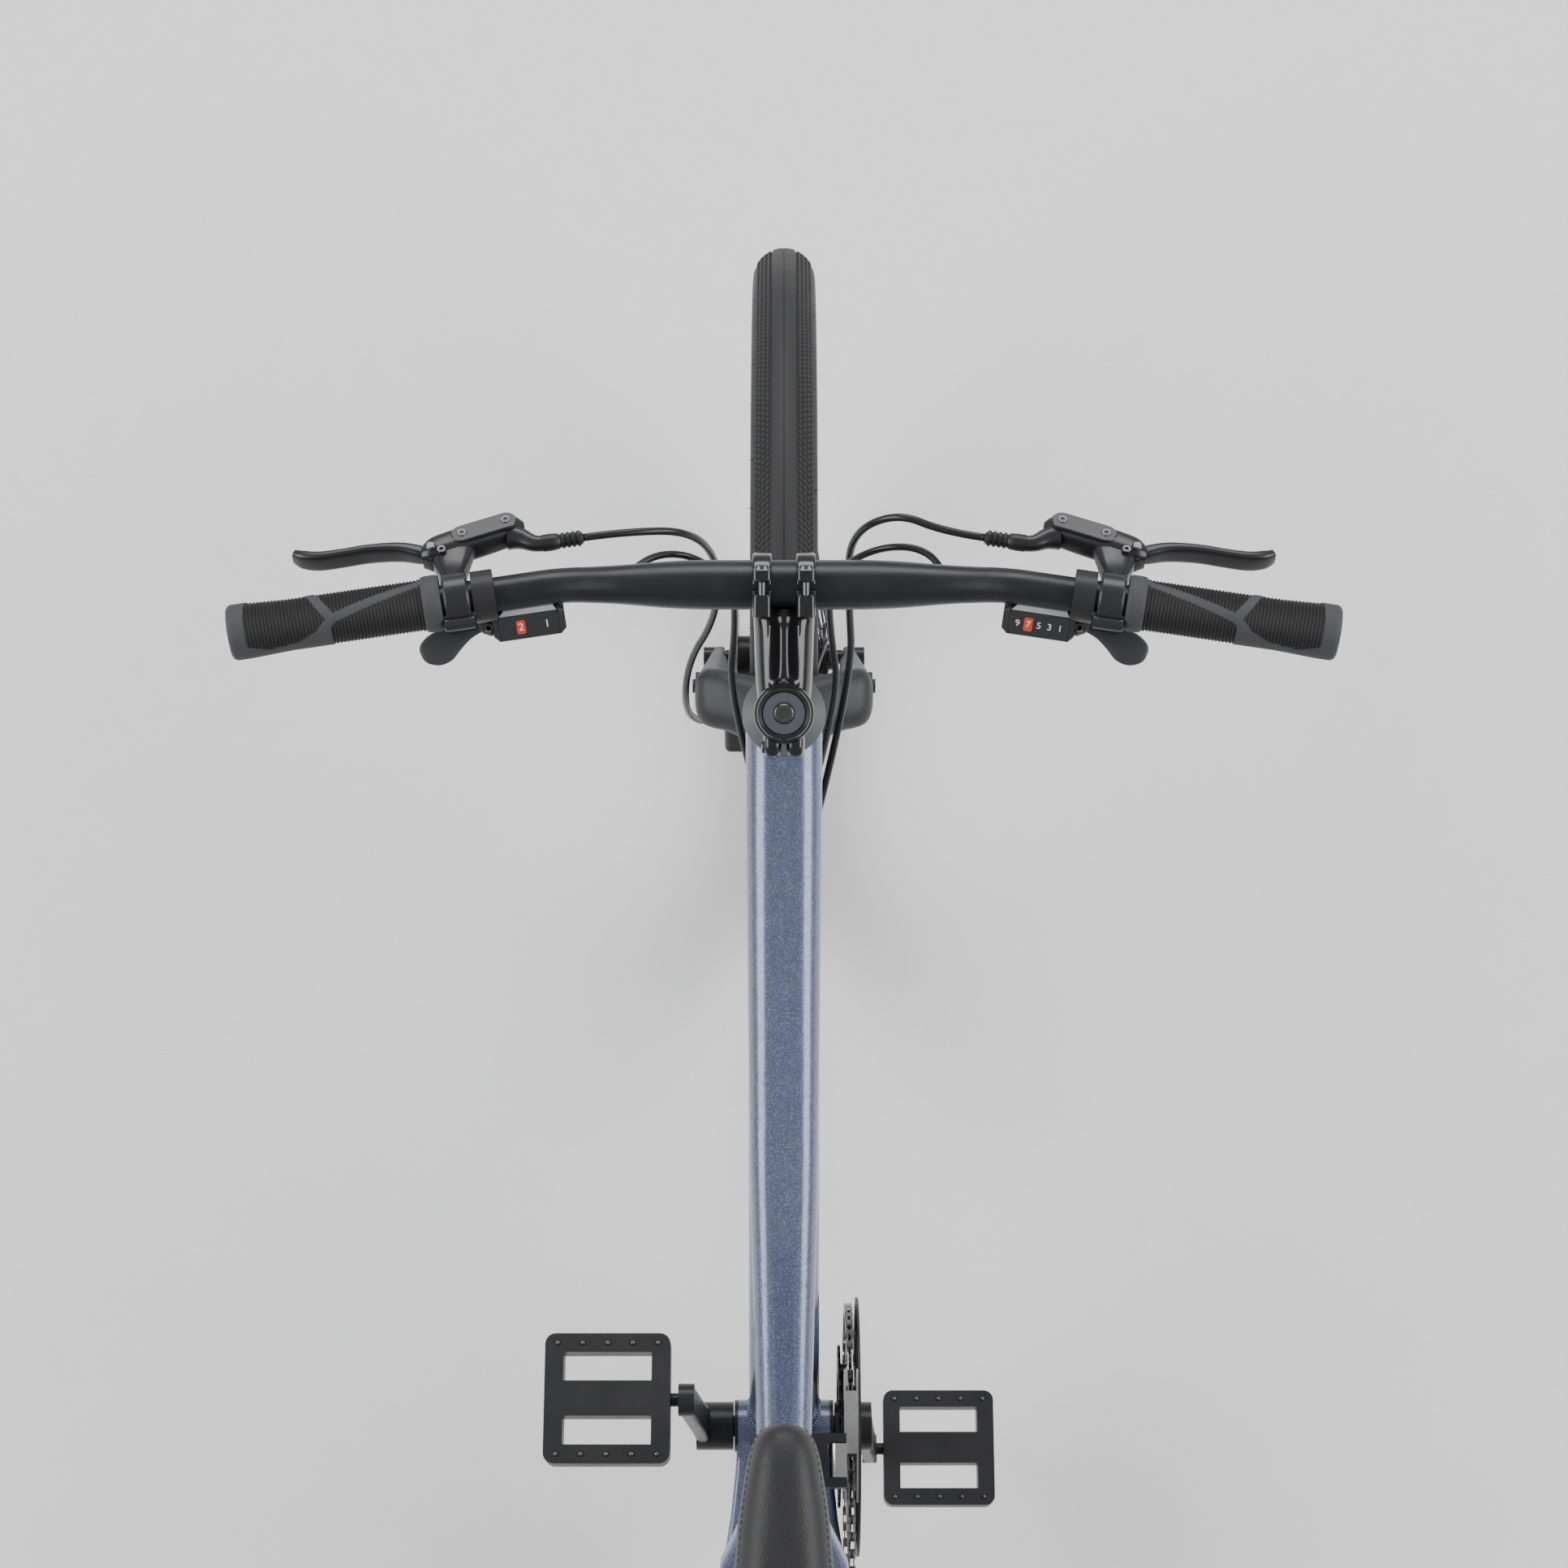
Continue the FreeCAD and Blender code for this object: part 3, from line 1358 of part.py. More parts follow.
shoulder_y = d.crown_shoulder_y
half_y = shoulder_y / 2
side_stations = []
for side in (-1, 1):
    side_stations.append((
        side * (shoulder_y + d.leg_top_width * 0.13), d.crown_shoulder_forward,
        d.crown_shoulder_drop + d.crown_arm_height * 0.2,
        d.crown_shoulder_depth * 0.6, d.crown_arm_height * 0.55,
    ))
    side_stations.append((
        side * shoulder_y * 0.93, d.crown_shoulder_forward, d.crown_shoulder_drop + d.crown_arm_height * 0.08,
        d.crown_shoulder_depth, d.crown_arm_height * 0.9,
    ))
    side_stations.append((
        side * half_y, d.crown_shoulder_forward / 2, (d.crown_shoulder_drop + d.crown_arm_height / 2) / 2,
        d.crown_arm_depth, d.crown_arm_height,
    ))
side_stations.append((0, 0, d.crown_height / 2, d.crown_center_depth, d.crown_height))
side_stations.sort()
crown = lofted([crown_wire(y, f, drop, dep, hei, hei * 0.42) for y, f, drop, dep, hei in side_stations])
crown = crown.fuse(Part.makeCone(
    d.race_diameter / 2, d.bearing_diameter / 2, d.race_height, fork_vec(0, 0, 0), steer_up
))
crown = crown.fuse(
    Part.makeCylinder(d.race_diameter / 2, d.crown_height / 2, fork_vec(0, 0, -d.crown_height / 2), steer_up)
)
steerer_low = -d.crown_height * 0.7
crown = crown.cut(Part.makeCylinder(
    d.steerer_diameter / 2, d.crown_height * 2, fork_vec(0, 0, steerer_low), steer_up
))
crown = largest(crown.removeSplitter())
steerer_high = stem_high - d.moving_gap
steerer = Part.makeCylinder(
    d.steerer_diameter / 2, steerer_high - steerer_low, fork_vec(0, 0, steerer_low), steer_up
).cut(Part.makeCylinder(
    d.steerer_diameter / 2 - d.steerer_wall, steerer_high - steerer_low, fork_vec(0, 0, steerer_low), steer_up
))
feature("fork_crown", Part.makeCompound([crown, steerer]))

# Fork legs: bowed blades that end in flat fork ends, with accessory bosses on their outer faces

fork_end_y = d.front_hub_width / 2
fork_end_middle = fork_end_y + d.fork_end_thickness / 2
leg_foot = axle_to_crown - d.fork_end_radius * 1.2
leg_stations = [
    (Vector(d.crown_shoulder_forward, d.leg_top_y, -d.crown_shoulder_drop), d.leg_top_width, d.leg_top_depth),
    (Vector(
        d.crown_shoulder_forward + d.fork_offset * 0.14, (d.leg_top_y + d.leg_mid_y) / 2,
        -axle_to_crown * 0.3,
    ),
     (d.leg_top_width + d.leg_mid_width) / 2, (d.leg_top_depth + d.leg_mid_depth) / 2),
    (Vector(d.crown_shoulder_forward + d.fork_offset * 0.3, d.leg_mid_y, -axle_to_crown * 0.55),
     d.leg_mid_width, d.leg_mid_depth),
    (Vector(d.fork_offset * 0.75, (d.leg_mid_y + fork_end_middle) / 2, -axle_to_crown * 0.8),
     (d.leg_mid_width + d.leg_foot_width) / 2, (d.leg_mid_depth + d.leg_foot_depth) / 2),
    (Vector(d.fork_offset * 0.97, fork_end_middle, -leg_foot), d.leg_foot_width, d.leg_foot_depth),
]


def leg_wire(point, width, depth):
    place = axes_placement(fork_vec(point.x, point.y, point.z), Y_AXIS, steer_up)
    return rounded_wire(place, width, depth, width * 0.46)


leg = lofted([leg_wire(*item) for item in resample(leg_stations, STAY_SECTIONS)])
fork_end = Part.makeCylinder(
    d.fork_end_radius, d.fork_end_thickness, fork_vec(d.fork_offset, fork_end_y, -axle_to_crown), Y_AXIS
)
leg = leg.fuse(fork_end)
leg = leg.cut(Part.makeCylinder(
    d.skewer_tip_diameter / 2, d.front_hub_width, fork_vec(d.fork_offset, 0, -axle_to_crown), Y_AXIS
))
leg = leg.cut(Part.makeBox(
    d.rotor_diameter, fork_end_y, d.rotor_diameter,
    Vector(d.fork_offset - d.rotor_diameter / 2, 0, -axle_to_crown - d.rotor_diameter / 2),
).transformGeometry(steer.toMatrix()))
left_leg = largest(leg.cut(crown).removeSplitter())
right_leg = left_leg.mirror(Vector(), Y_AXIS)
boss_pieces = []
for low in (d.fork_boss_low, d.fork_boss_low + d.fork_boss_pitch):
    share = low / axle_to_crown
    centre = Vector(
        smooth_value([-p.z for p, _, _ in leg_stations], [p.x for p, _, _ in leg_stations], low),
        smooth_value([-p.z for p, _, _ in leg_stations], [p.y + w / 2 for p, w, _ in leg_stations], low),
        -low,
    )
    boss = Part.makeCylinder(
        d.fork_boss_diameter / 2, 2 * d.fork_boss_height, fork_vec(
            centre.x, centre.y - d.fork_boss_height, centre.z,
        ), Y_AXIS
    )
    boss = boss.cut(left_leg).Solids
    boss = max(boss, key=lambda solid: solid.BoundBox.YMax)
    boss_pieces.extend([boss, boss.mirror(Vector(), Y_AXIS)])
feature("fork_legs", Part.makeCompound([left_leg, right_leg] + boss_pieces))

# Headset cover, spacers and top cap, stacked on the steerer

bore = "dim.steerer_diameter / 2"
cover = turned(
    "headset_cover",
    [
        (bore, "0"), ("dim.cover_diameter / 2", "0"), ("dim.cover_diameter / 2", "dim.cover_height / 4"),
        ("dim.spacer_diameter / 2", "dim.cover_height"), (bore, "dim.cover_height"),
    ],
    at_height(steer, cover_low),
)
spacer_half = "dim.spacer_height / 2"
spacer_pieces = []
for name, height in (("lower_spacer", spacer_low), ("upper_spacer", spacer_low + d.spacer_height / 2)):
    outline = [
        (bore, "0"), ("dim.spacer_diameter / 2", "0"), ("dim.spacer_diameter / 2", spacer_half),
        (bore, spacer_half),
    ]
    spacer_pieces.append(turned(name, outline, at_height(steer, height)))
group("headset_stack", [cover] + spacer_pieces)
cap = turned(
    "top_cap",
    [
        ("dim.bolt_diameter / 2", "0"), ("dim.top_cap_diameter / 2", "0"),
        ("dim.top_cap_diameter / 2", "dim.top_cap_height * 0.4"),
        ("dim.top_cap_flat / 2", "dim.top_cap_height"),
        ("dim.top_cap_bolt_diameter / 2", "dim.top_cap_height"),
        ("dim.top_cap_bolt_diameter / 2", "dim.top_cap_height * 0.3"),
        ("dim.bolt_diameter / 2", "dim.top_cap_height * 0.3"),
    ],
    at_height(steer, stem_high),
)
node(cap, "top_cap")

# Stem: forged arm between the steerer clamp and the two cradles that carry the handlebar

stem_tilt = Rotation(Y_AXIS, -d.stem_rise_angle)
stem_frame = steer * Placement(Vector(0, 0, stem_middle), stem_tilt)
bar_radius = d.bar_diameter / 2
cradle_radius = bar_radius + d.strap_wall


def stem_vec(x, y, z):
    return stem_frame.multVec(Vector(x, y, z))


def stem_box(x_low, y_low, z_low, x_size, y_size, z_size):
    box = Part.makeBox(x_size, y_size, z_size, Vector(x_low, y_low, z_low))
    box.Placement = stem_frame
    return box


def stem_wire(x, width, height):
    place = axes_placement(stem_vec(x, 0, 0), Y_AXIS, stem_vec(1, 0, 0) - stem_vec(0, 0, 0))
    return rounded_wire(place, width, height, height * 0.28)


stem_body = lofted([
    stem_wire(0, d.stem_width * 0.9, d.stem_height),
    stem_wire(d.stem_length * 0.35, d.stem_width, d.stem_height),
    stem_wire(d.stem_length * 0.75, d.stem_width + d.strap_wall / 2, d.stem_height),
    stem_wire(d.stem_length, 2 * d.strap_place + d.strap_width, d.stem_height),
])
for side in (1, -1):
    y_low = side * d.strap_place - d.strap_width / 2
    stem_body = stem_body.fuse(Part.makeCylinder(
        cradle_radius, d.strap_width, stem_vec(d.stem_length, y_low, 0), Y_AXIS
    ))
    for lug in (1, -1):
        z_low = lug * (cradle_radius + d.strap_lug / 2) - d.strap_lug / 2
        stem_body = stem_body.fuse(stem_box(
            d.stem_length - d.strap_lug, y_low, z_low - d.strap_lug / 2 * lug, d.strap_lug, d.strap_width,
            d.strap_lug,
        ))
stem_body = stem_body.cut(stem_box(
    d.stem_length - d.moving_gap, -d.stem_width, -2 * cradle_radius, 2 * cradle_radius, 2 * d.stem_width, 4 * cradle_radius
))
gap_half = d.strap_place - d.strap_width / 2
stem_body = stem_body.cut(stem_box(
    d.stem_length - cradle_radius - d.strap_wall / 2, -gap_half, -2 * cradle_radius,
    2 * cradle_radius, 2 * gap_half, 4 * cradle_radius,
))
stem_body = stem_body.cut(Part.makeCylinder(
    bar_radius, 2 * d.stem_width, stem_vec(d.stem_length, -d.stem_width, 0), Y_AXIS
))
# A scoop between two ridges runs along the top of the arm
scoop_run = stem_vec(1, 0, 0) - stem_vec(0, 0, 0)
stem_body = stem_body.cut(Part.makeCylinder(
    d.stem_scoop_diameter / 2, d.stem_length,
    stem_vec(d.stem_clamp_diameter / 2, 0, d.stem_height / 2 + d.stem_scoop_diameter * 0.3), scoop_run,
))
clamp = Part.makeCylinder(d.stem_clamp_diameter / 2, d.stem_clamp_height, fork_vec(0, 0, stem_low), steer_up)
ear = Part.makeBox(
    d.stem_clamp_diameter / 2 + d.stem_ear / 3, d.stem_width * 0.7, d.stem_ear_height,
    Vector(
        -d.stem_clamp_diameter / 2 - d.stem_ear / 3, -d.stem_width * 0.35,
        stem_middle - d.stem_ear_height / 2,
    ),
)
ear.Placement = steer
stem_body = stem_body.fuse([clamp, ear])
split = Part.makeBox(
    2 * d.stem_clamp_diameter, d.seat_collar_split, 2 * d.stem_clamp_height,
    Vector(-2 * d.stem_clamp_diameter, -d.seat_collar_split / 2, stem_low - d.stem_clamp_height / 2),
)
split.Placement = steer
steerer_hole = Part.makeCylinder(
    d.steerer_diameter / 2, 2 * d.stem_clamp_height, fork_vec(
        0, 0, stem_low - d.stem_clamp_height / 2,
    ), steer_up
)
stem_body = stem_body.cut(split).cut(steerer_hole)
feature("stem", largest(stem_body.removeSplitter()))

# Faceplate: two straps, each held by a bolt above and below the bar


def make_strap(side):
    y_low = side * d.strap_place - d.strap_width / 2
    strap = Part.makeCylinder(cradle_radius, d.strap_width, stem_vec(d.stem_length, y_low, 0), Y_AXIS)
    for lug in (1, -1):
        z_low = lug * (cradle_radius + d.strap_lug / 2) - d.strap_lug / 2
        strap = strap.fuse(stem_box(
            d.stem_length, y_low, z_low - d.strap_lug / 2 * lug, d.strap_lug, d.strap_width, d.strap_lug
        ))
    strap = strap.cut(stem_box(
        d.stem_length - 4 * cradle_radius + d.moving_gap, y_low, -2 * cradle_radius,
        4 * cradle_radius, d.strap_width, 4 * cradle_radius,
    ))
    strap = strap.cut(Part.makeCylinder(bar_radius, d.strap_width, stem_vec(d.stem_length, y_low, 0), Y_AXIS))
    return largest(strap.removeSplitter())


straps = [make_strap(1), make_strap(-1)]


def socket_bolt(start, direction, head_length, socket_depth):
    """Cap-head bolt head, standing on a face, with a round socket."""
    head = Part.makeCylinder(d.bolt_head_diameter / 2, head_length, start, direction)
    tip = start + Vector(direction).normalize() * (head_length - socket_depth)
    return head.cut(Part.makeCylinder(d.bolt_socket / 2, head_length, tip, direction))


bolt_solids = []
for side in (1, -1):
    for lug in (1, -1):
        start = stem_vec(
            d.stem_length + d.strap_lug, side * d.strap_place, lug * (cradle_radius + d.strap_lug * 0.05),
        )
        bolt_solids.append(socket_bolt(start, scoop_run, d.bolt_head_height, d.bolt_head_height / 2))
    low = stem_middle + side * d.stem_ear_height * 0.28
    start = fork_vec(-d.stem_clamp_diameter / 2 - d.stem_ear / 6, side * d.stem_width * 0.35, low)
    bolt_solids.append(socket_bolt(start, Y_AXIS * side, d.bolt_head_height * 0.6, d.bolt_head_height * 0.4))
cap_bolt = Part.makeCylinder(
    d.top_cap_bolt_diameter / 2 - d.seam_gap, d.top_cap_height * 0.6, fork_vec(
        0, 0, stem_high + d.top_cap_height * 0.3,
    ), steer_up
)
cap_bolt = cap_bolt.cut(Part.makeCylinder(
    d.bolt_socket / 2, d.top_cap_height, fork_vec(0, 0, stem_high + d.top_cap_height * 0.5), steer_up
))
bolt_solids.append(cap_bolt)
feature("stem_faceplate", Part.makeCompound(straps + bolt_solids))

# Handlebar: a wide middle that tapers to bent ends with a little rise, back-sweep and upsweep

bar_centre = stem_frame.multVec(Vector(d.stem_length, 0, 0))
bar_local = steer.inverse().multVec(bar_centre)
taper_end = d.bar_clamp_half + d.bar_taper
bend_at = taper_end + d.bar_bend_lead


def bar_point(y):
    """Centre of the bar's straight end at a distance to the left of the middle, in the steering frame."""
    out = y - d.bar_bend_y
    back = out * math.tan(math.radians(d.bar_sweep))
    up = out * math.tan(math.radians(d.bar_upsweep))
    return bar_local + Vector(d.bar_forward - back, y, d.bar_rise + up)


def bar_solid(inset, overrun):
    """The whole bar, less a wall all round, with ends that run on by an overrun."""
    wide = d.bar_diameter / 2 - inset
    slim = d.bar_end_diameter / 2 - inset
    made = Part.makeCylinder(wide, 2 * d.bar_clamp_half, bar_centre - Y_AXIS * d.bar_clamp_half, Y_AXIS)
    points = [
        bar_local + Y_AXIS * taper_end, bar_local + Y_AXIS * bend_at,
        bar_point(bend_at + d.bar_bend_run), bar_point(d.bar_half_width + overrun),
    ]
    end = hose([steer.multVec(point) for point in points], 2 * slim)
    taper = Part.makeCone(wide, slim, d.bar_taper, bar_centre + Y_AXIS * d.bar_clamp_half, Y_AXIS)
    half = [taper, end]
    return made.fuse(half + [piece.mirror(Vector(), Y_AXIS) for piece in half]).removeSplitter()


bar_outside = bar_solid(0, 0)
feature("handlebar", largest(bar_outside.cut(bar_solid(d.bar_wall, d.cut_overrun))))
bar_space = bar_solid(-d.seam_gap, 0)
grip_dir = (steer.multVec(bar_point(d.bar_half_width)) - steer.multVec(bar_point(bend_at))).normalize()


def control_frame(y):
    """Frame on the left half of the bar: X forward, Y outboard along the bar, Z up."""
    origin = steer.multVec(bar_point(y))
    forward = steer_forward - grip_dir * grip_dir.dot(steer_forward)
    return axes_placement(origin, forward, forward.cross(grip_dir))


# Grips, closed at the outer end

grip_inner_y = d.bar_half_width - d.grip_length * grip_dir.y
grip_start = steer.multVec(bar_point(grip_inner_y))
half_grip = "dim.grip_diameter / 2"
left_grip = turned(
    "left_grip",
    [
        ("dim.bar_end_diameter / 2 + dim.seam_gap", "0"), ("dim.grip_flange / 2", "0"),
        ("dim.grip_flange / 2", "dim.grip_flange_length"), (half_grip, "dim.grip_flange_length * 1.6"),
        (half_grip, "dim.grip_length * 0.75"), ("dim.grip_end_diameter / 2", "dim.grip_length * 0.95"),
        ("dim.grip_end_diameter / 2", "dim.grip_length + dim.grip_cap * 0.3"),
        ("dim.grip_end_diameter / 2 - dim.grip_cap / 2", "dim.grip_length + dim.grip_cap"),
        ("0", "dim.grip_length + dim.grip_cap"), ("0", "dim.grip_length + dim.seam_gap"),
        ("dim.bar_end_diameter / 2 + dim.seam_gap", "dim.grip_length + dim.seam_gap"),
    ],
    along(grip_start, grip_dir),
)
group("grips", [left_grip, mirrored("right_grip", left_grip)])

# Brake levers: clamp, master cylinder, pivot pin and ribbed hose boot on the left, mirrored to the right

lever_place = control_frame(grip_inner_y - d.lever_from_grip) * Placement(
    Vector(), Rotation(Y_AXIS, d.lever_drop_angle),
)


def lever_vec(x, y, z):
    return lever_place.multVec(Vector(x, y, z))


def lever_dir(x, y, z):
    return lever_place.Rotation.multVec(Vector(x, y, z))


def lever_wire(y, forward, width, height, radius):
    """Section of a lever piece at an outboard station; width runs forward, height up."""
    place = axes_placement(lever_vec(forward, y, 0), lever_dir(1, 0, 0), lever_dir(0, 1, 0))
    return rounded_wire(place, width, height, radius)


def lever_cylinder(x, y, radius, z_low, length):
    return Part.makeCylinder(radius, length, lever_vec(x, y, z_low), lever_dir(0, 0, 1))


toe = d.master_toe_in
reach = d.master_forward
long_share = d.master_length
master_stations = [
    (-0.74 * long_share, reach + 0.8 * toe, 0.5 * d.master_width, 0.5 * d.master_height),
    (-0.6 * long_share, reach + toe, 0.85 * d.master_width, 0.85 * d.master_height),
    (-0.3 * long_share, reach + 0.6 * toe, d.master_width, d.master_height),
    (0.06 * long_share, reach, 0.98 * d.master_width, d.master_height),
    (0.26 * long_share, reach - 0.35 * toe, 0.7 * d.master_width, 0.85 * d.master_height),
]
master = lofted([lever_wire(y, f, w, h, min(w, h) * 0.36) for y, f, w, h in master_stations])
ring_half = d.lever_clamp_width / 2
ring = Part.makeCylinder(
    d.lever_clamp_diameter / 2, d.lever_clamp_width, lever_vec(0, -ring_half, 0), lever_dir(0, 1, 0)
)
neck_bridge = lofted([
    rounded_wire(axes_placement(lever_vec(x, 0, 0), lever_dir(0, 1, 0), lever_dir(1, 0, 0)), w, h, h * 0.3)
    for x, w, h in (
        (d.bar_end_diameter / 2, d.lever_clamp_width * 0.9, d.master_height * 0.8),
        (reach * 0.6, d.lever_clamp_width * 0.85, d.master_height * 0.6),
        (reach, d.lever_clamp_width * 1.1, d.master_height * 0.7),
    )
])
boot_start = lever_vec(reach * 0.86, -0.9 * long_share, 0)
elbow = lever_vec(reach + 0.7 * toe, -0.66 * long_share, 0)
neck = Part.makeCylinder(d.master_neck_diameter / 2, (boot_start - elbow).Length, elbow, boot_start - elbow)
neck = neck.fuse(Part.makeSphere(d.master_neck_diameter / 2, elbow))
neck = neck.fuse(Part.makeSphere(d.master_neck_diameter / 2, boot_start))
master = master.fuse([ring, neck_bridge, neck])
master = master.cut(bar_space)
pivot = (d.blade_pivot_forward, d.blade_pivot_out)
boss_radius = d.blade_slot * 0.7
blade_space = Part.makeBox(
    4 * d.master_width, d.master_length, d.blade_slot,
    Vector(pivot[0] - 2 * d.master_width, pivot[1] - boss_radius - d.moving_gap, -d.blade_slot / 2),
)
blade_space.Placement = lever_place
master = master.cut(blade_space)
pin = lever_cylinder(pivot[0], pivot[1], d.pivot_pin_diameter / 2, -d.master_height / 2, d.master_height)
master = largest(master.cut(pin).removeSplitter())
boot_dir = lever_dir(0, -1, 0)
boot_ribs = 5
boot_profile = []
boot_r = d.boot_diameter / 2
boot_step = d.boot_length / (2 * boot_ribs)
boot_profile.append(Vector(0, 0, 0))
for k in range(2 * boot_ribs):
    radius = boot_r - (d.boot_groove if k % 2 else 0) - d.boot_groove * k / (2 * boot_ribs)
    boot_profile.append(Vector(radius, 0, boot_step * k))
    boot_profile.append(Vector(radius, 0, boot_step * (k + 1)))
boot_profile.append(Vector(0, 0, d.boot_length))
boot_profile.append(boot_profile[0])
boot = Part.Face(Part.makePolygon(boot_profile)).revolve(Vector(), Z_AXIS, 2 * HALF_TURN)
boot.Placement = along(boot_start, boot_dir)
boot = boot.cut(master)
boot = largest(boot)
boot_end = boot_start + boot_dir * d.boot_length
left_brake = [master, pin, boot]
feature(
    "brake_bodies", Part.makeCompound(left_brake + [solid.mirror(Vector(), Y_AXIS) for solid in left_brake]),
)

# Brake lever blades: slim at the root, widening to a rounded two-finger tip

blade_end = pivot[1] + d.blade_length
dip = d.blade_thickness
blade_root = d.blade_slot - 2 * d.moving_gap
blade_stations = [
    (pivot[1], pivot[0], dip * 1.2, blade_root),
    (pivot[1] + d.blade_length * 0.16, pivot[0] - dip * 0.2, dip, blade_root),
    (pivot[1] + d.blade_length * 0.3, pivot[0], dip * 0.95, d.blade_width * 0.8),
    (pivot[1] + d.blade_length * 0.65, (pivot[0] + d.blade_reach) / 2, dip * 0.9, d.blade_width * 0.95),
    (pivot[1] + d.blade_length * 0.92, d.blade_reach, dip, d.blade_width),
    (blade_end, d.blade_reach + dip * 0.3, dip * 0.9, d.blade_width * 0.8),
]
blade = lofted([lever_wire(y, f, w, h, min(w, h) * 0.42) for y, f, w, h in blade_stations])
blade = blade.fuse(lever_cylinder(pivot[0], pivot[1], boss_radius, -blade_root / 2, blade_root))
blade = blade.cut(
    lever_cylinder(pivot[0], pivot[1], d.pivot_pin_diameter / 2 + d.running_gap, -blade_root, 2 * blade_root)
)
blade = largest(blade.removeSplitter())
feature("left_brake_lever", blade)
feature("right_brake_lever", blade.mirror(Vector(), Y_AXIS))

# Shifters: clamp, housing with a display hood and a pivot pin below, in the frame X forward, Y outboard, Z up

pod_place = control_frame(grip_inner_y - d.shifter_from_grip)
pod_floor = -d.pod_below - d.pod_height
pin_length = d.trigger_thickness + d.thumb_thickness + 3 * d.moving_gap


def pod_vec(x, y, z):
    return pod_place.multVec(Vector(x, y, z))


def pod_dir(x, y, z):
    return pod_place.Rotation.multVec(Vector(x, y, z))


def pod_wire(x, y, z, width, height, radius, lean=0):
    """Section at an outboard station; width runs forward and height up, leant back by an angle."""
    turn = Rotation(pod_dir(0, 1, 0), lean)
    place = axes_placement(pod_vec(x, y, z), turn.multVec(pod_dir(1, 0, 0)), pod_dir(0, 1, 0))
    return rounded_wire(place, width, height, radius)


pod_x = -d.shift_pivot_back
pod_z = -d.pod_below - d.pod_height / 2
pod_round = d.pod_height * 0.35
pod_stations = (
    (0.16, 0.6), (0.1, 0.85), (0, 1), (-0.7, 1), (-0.95, 0.85), (-1.05, 0.6),
)
pod = lofted([
    pod_wire(pod_x, share * d.pod_length, pod_z, size * d.pod_depth, size * d.pod_height, size * pod_round)
    for share, size in pod_stations
])
hood_lean = 28
hood_depth = d.window_depth + 2 * d.hood_border
hood_x = -d.pod_depth * 0.62
hood_z = -d.pod_below * 0.8
hood = lofted([
    pod_wire(
        hood_x, y, hood_z, size * hood_depth, size * d.pod_height * 0.75, size * pod_round / 2, -hood_lean,
    )
    for y, size in (
        (-0.05 * d.pod_length, 0.7), (-0.12 * d.pod_length, 1), (-0.98 * d.pod_length, 1),
        (-1.06 * d.pod_length, 0.7)
    )
])
shift_ring = Part.makeCylinder(
    d.shifter_clamp_diameter / 2, d.shifter_clamp_width, pod_vec(
        0, -d.shifter_clamp_width / 2, 0,
    ), pod_dir(0, 1, 0)
)
saddle_block = Part.makeBox(
    d.shifter_clamp_diameter * 0.7, d.shifter_clamp_width, d.pod_below + d.pod_height / 2,
    Vector(-d.shifter_clamp_diameter * 0.45, -d.shifter_clamp_width / 2, -d.pod_below - d.pod_height / 2),
)
saddle_block.Placement = pod_place
pivot_x = -d.shift_pivot_back
pivot_y = -d.shift_pivot_in
shift_pin = Part.makeCylinder(
    d.pivot_pin_diameter / 2, pin_length + d.pod_height / 2, pod_vec(
        pivot_x, pivot_y, pod_floor - pin_length,
    ), pod_dir(0, 0, 1)
)
shift_head = Part.makeCylinder(
    d.shift_pin_head / 2, d.moving_gap * 3, pod_vec(
        pivot_x, pivot_y, pod_floor - pin_length - d.moving_gap * 3,
    ), pod_dir(0, 0, 1)
)
barrel_start = pod_vec(pod_x + d.pod_depth * 0.2, -0.95 * d.pod_length, pod_z)
barrel = Part.makeCylinder(d.cable_diameter * 0.85, d.pod_length * 0.34, barrel_start, pod_dir(0, -1, 0))
barrel_end = barrel_start + pod_dir(0, -1, 0) * (d.pod_length * 0.34)
pod = pod.fuse([hood, shift_ring, saddle_block, shift_pin, shift_head, barrel])
pod = pod.cut(bar_space)
window_place = pod_place * Placement(
    Vector(hood_x, -0.55 * d.pod_length, hood_z), Rotation(Y_AXIS, -hood_lean)
)
window = Part.makeBox(
    d.window_depth, d.window_length, d.window_thickness,
    Vector(-d.window_depth / 2, -d.window_length / 2, d.pod_height * 0.375 - d.window_thickness),
)
window = window.makeFillet(
    d.window_depth / 4, [edge for edge in window.Edges if abs(edge.tangentAt(0).z) > 0.5],
)
window.Placement = window_place
pod = largest(pod.cut(window).removeSplitter())
feature("shifter_pods", Part.makeCompound([pod, pod.mirror(Vector(), Y_AXIS)]))
feature("shifter_windows", Part.makeCompound([window, window.mirror(Vector(), Y_AXIS)]))


def make_shift_lever(name, length, width, root, thickness, height, turn):
    """Flat lever on the shifter's pin; its outline runs from the pin to a round paddle."""
    place = pod_place * Placement(Vector(pivot_x, pivot_y, height), Rotation(Z_AXIS, turn))

    def outline(sketch):
        corners = [
            ("0", f"{root} / 2"), (f"{length} * 0.45", f"{root} * 0.4"),
            (f"{length} - {width} / 2", f"{width} / 2"),
            (f"{length} - {width} / 2", f"-({width} / 2)"), (f"{length} * 0.45", f"-({root} * 0.4)"),
            ("0", f"-({root} / 2)"),
        ]
        draw_outline(sketch, corners, {2: (f"{width} * 0.52", -1), 5: (f"{root} * 0.52", -1)})
        draw_circle(sketch, "0", "0", "dim.pivot_pin_diameter + 2 * dim.running_gap")

    return padded(name, outline, thickness, place, midplane=False)


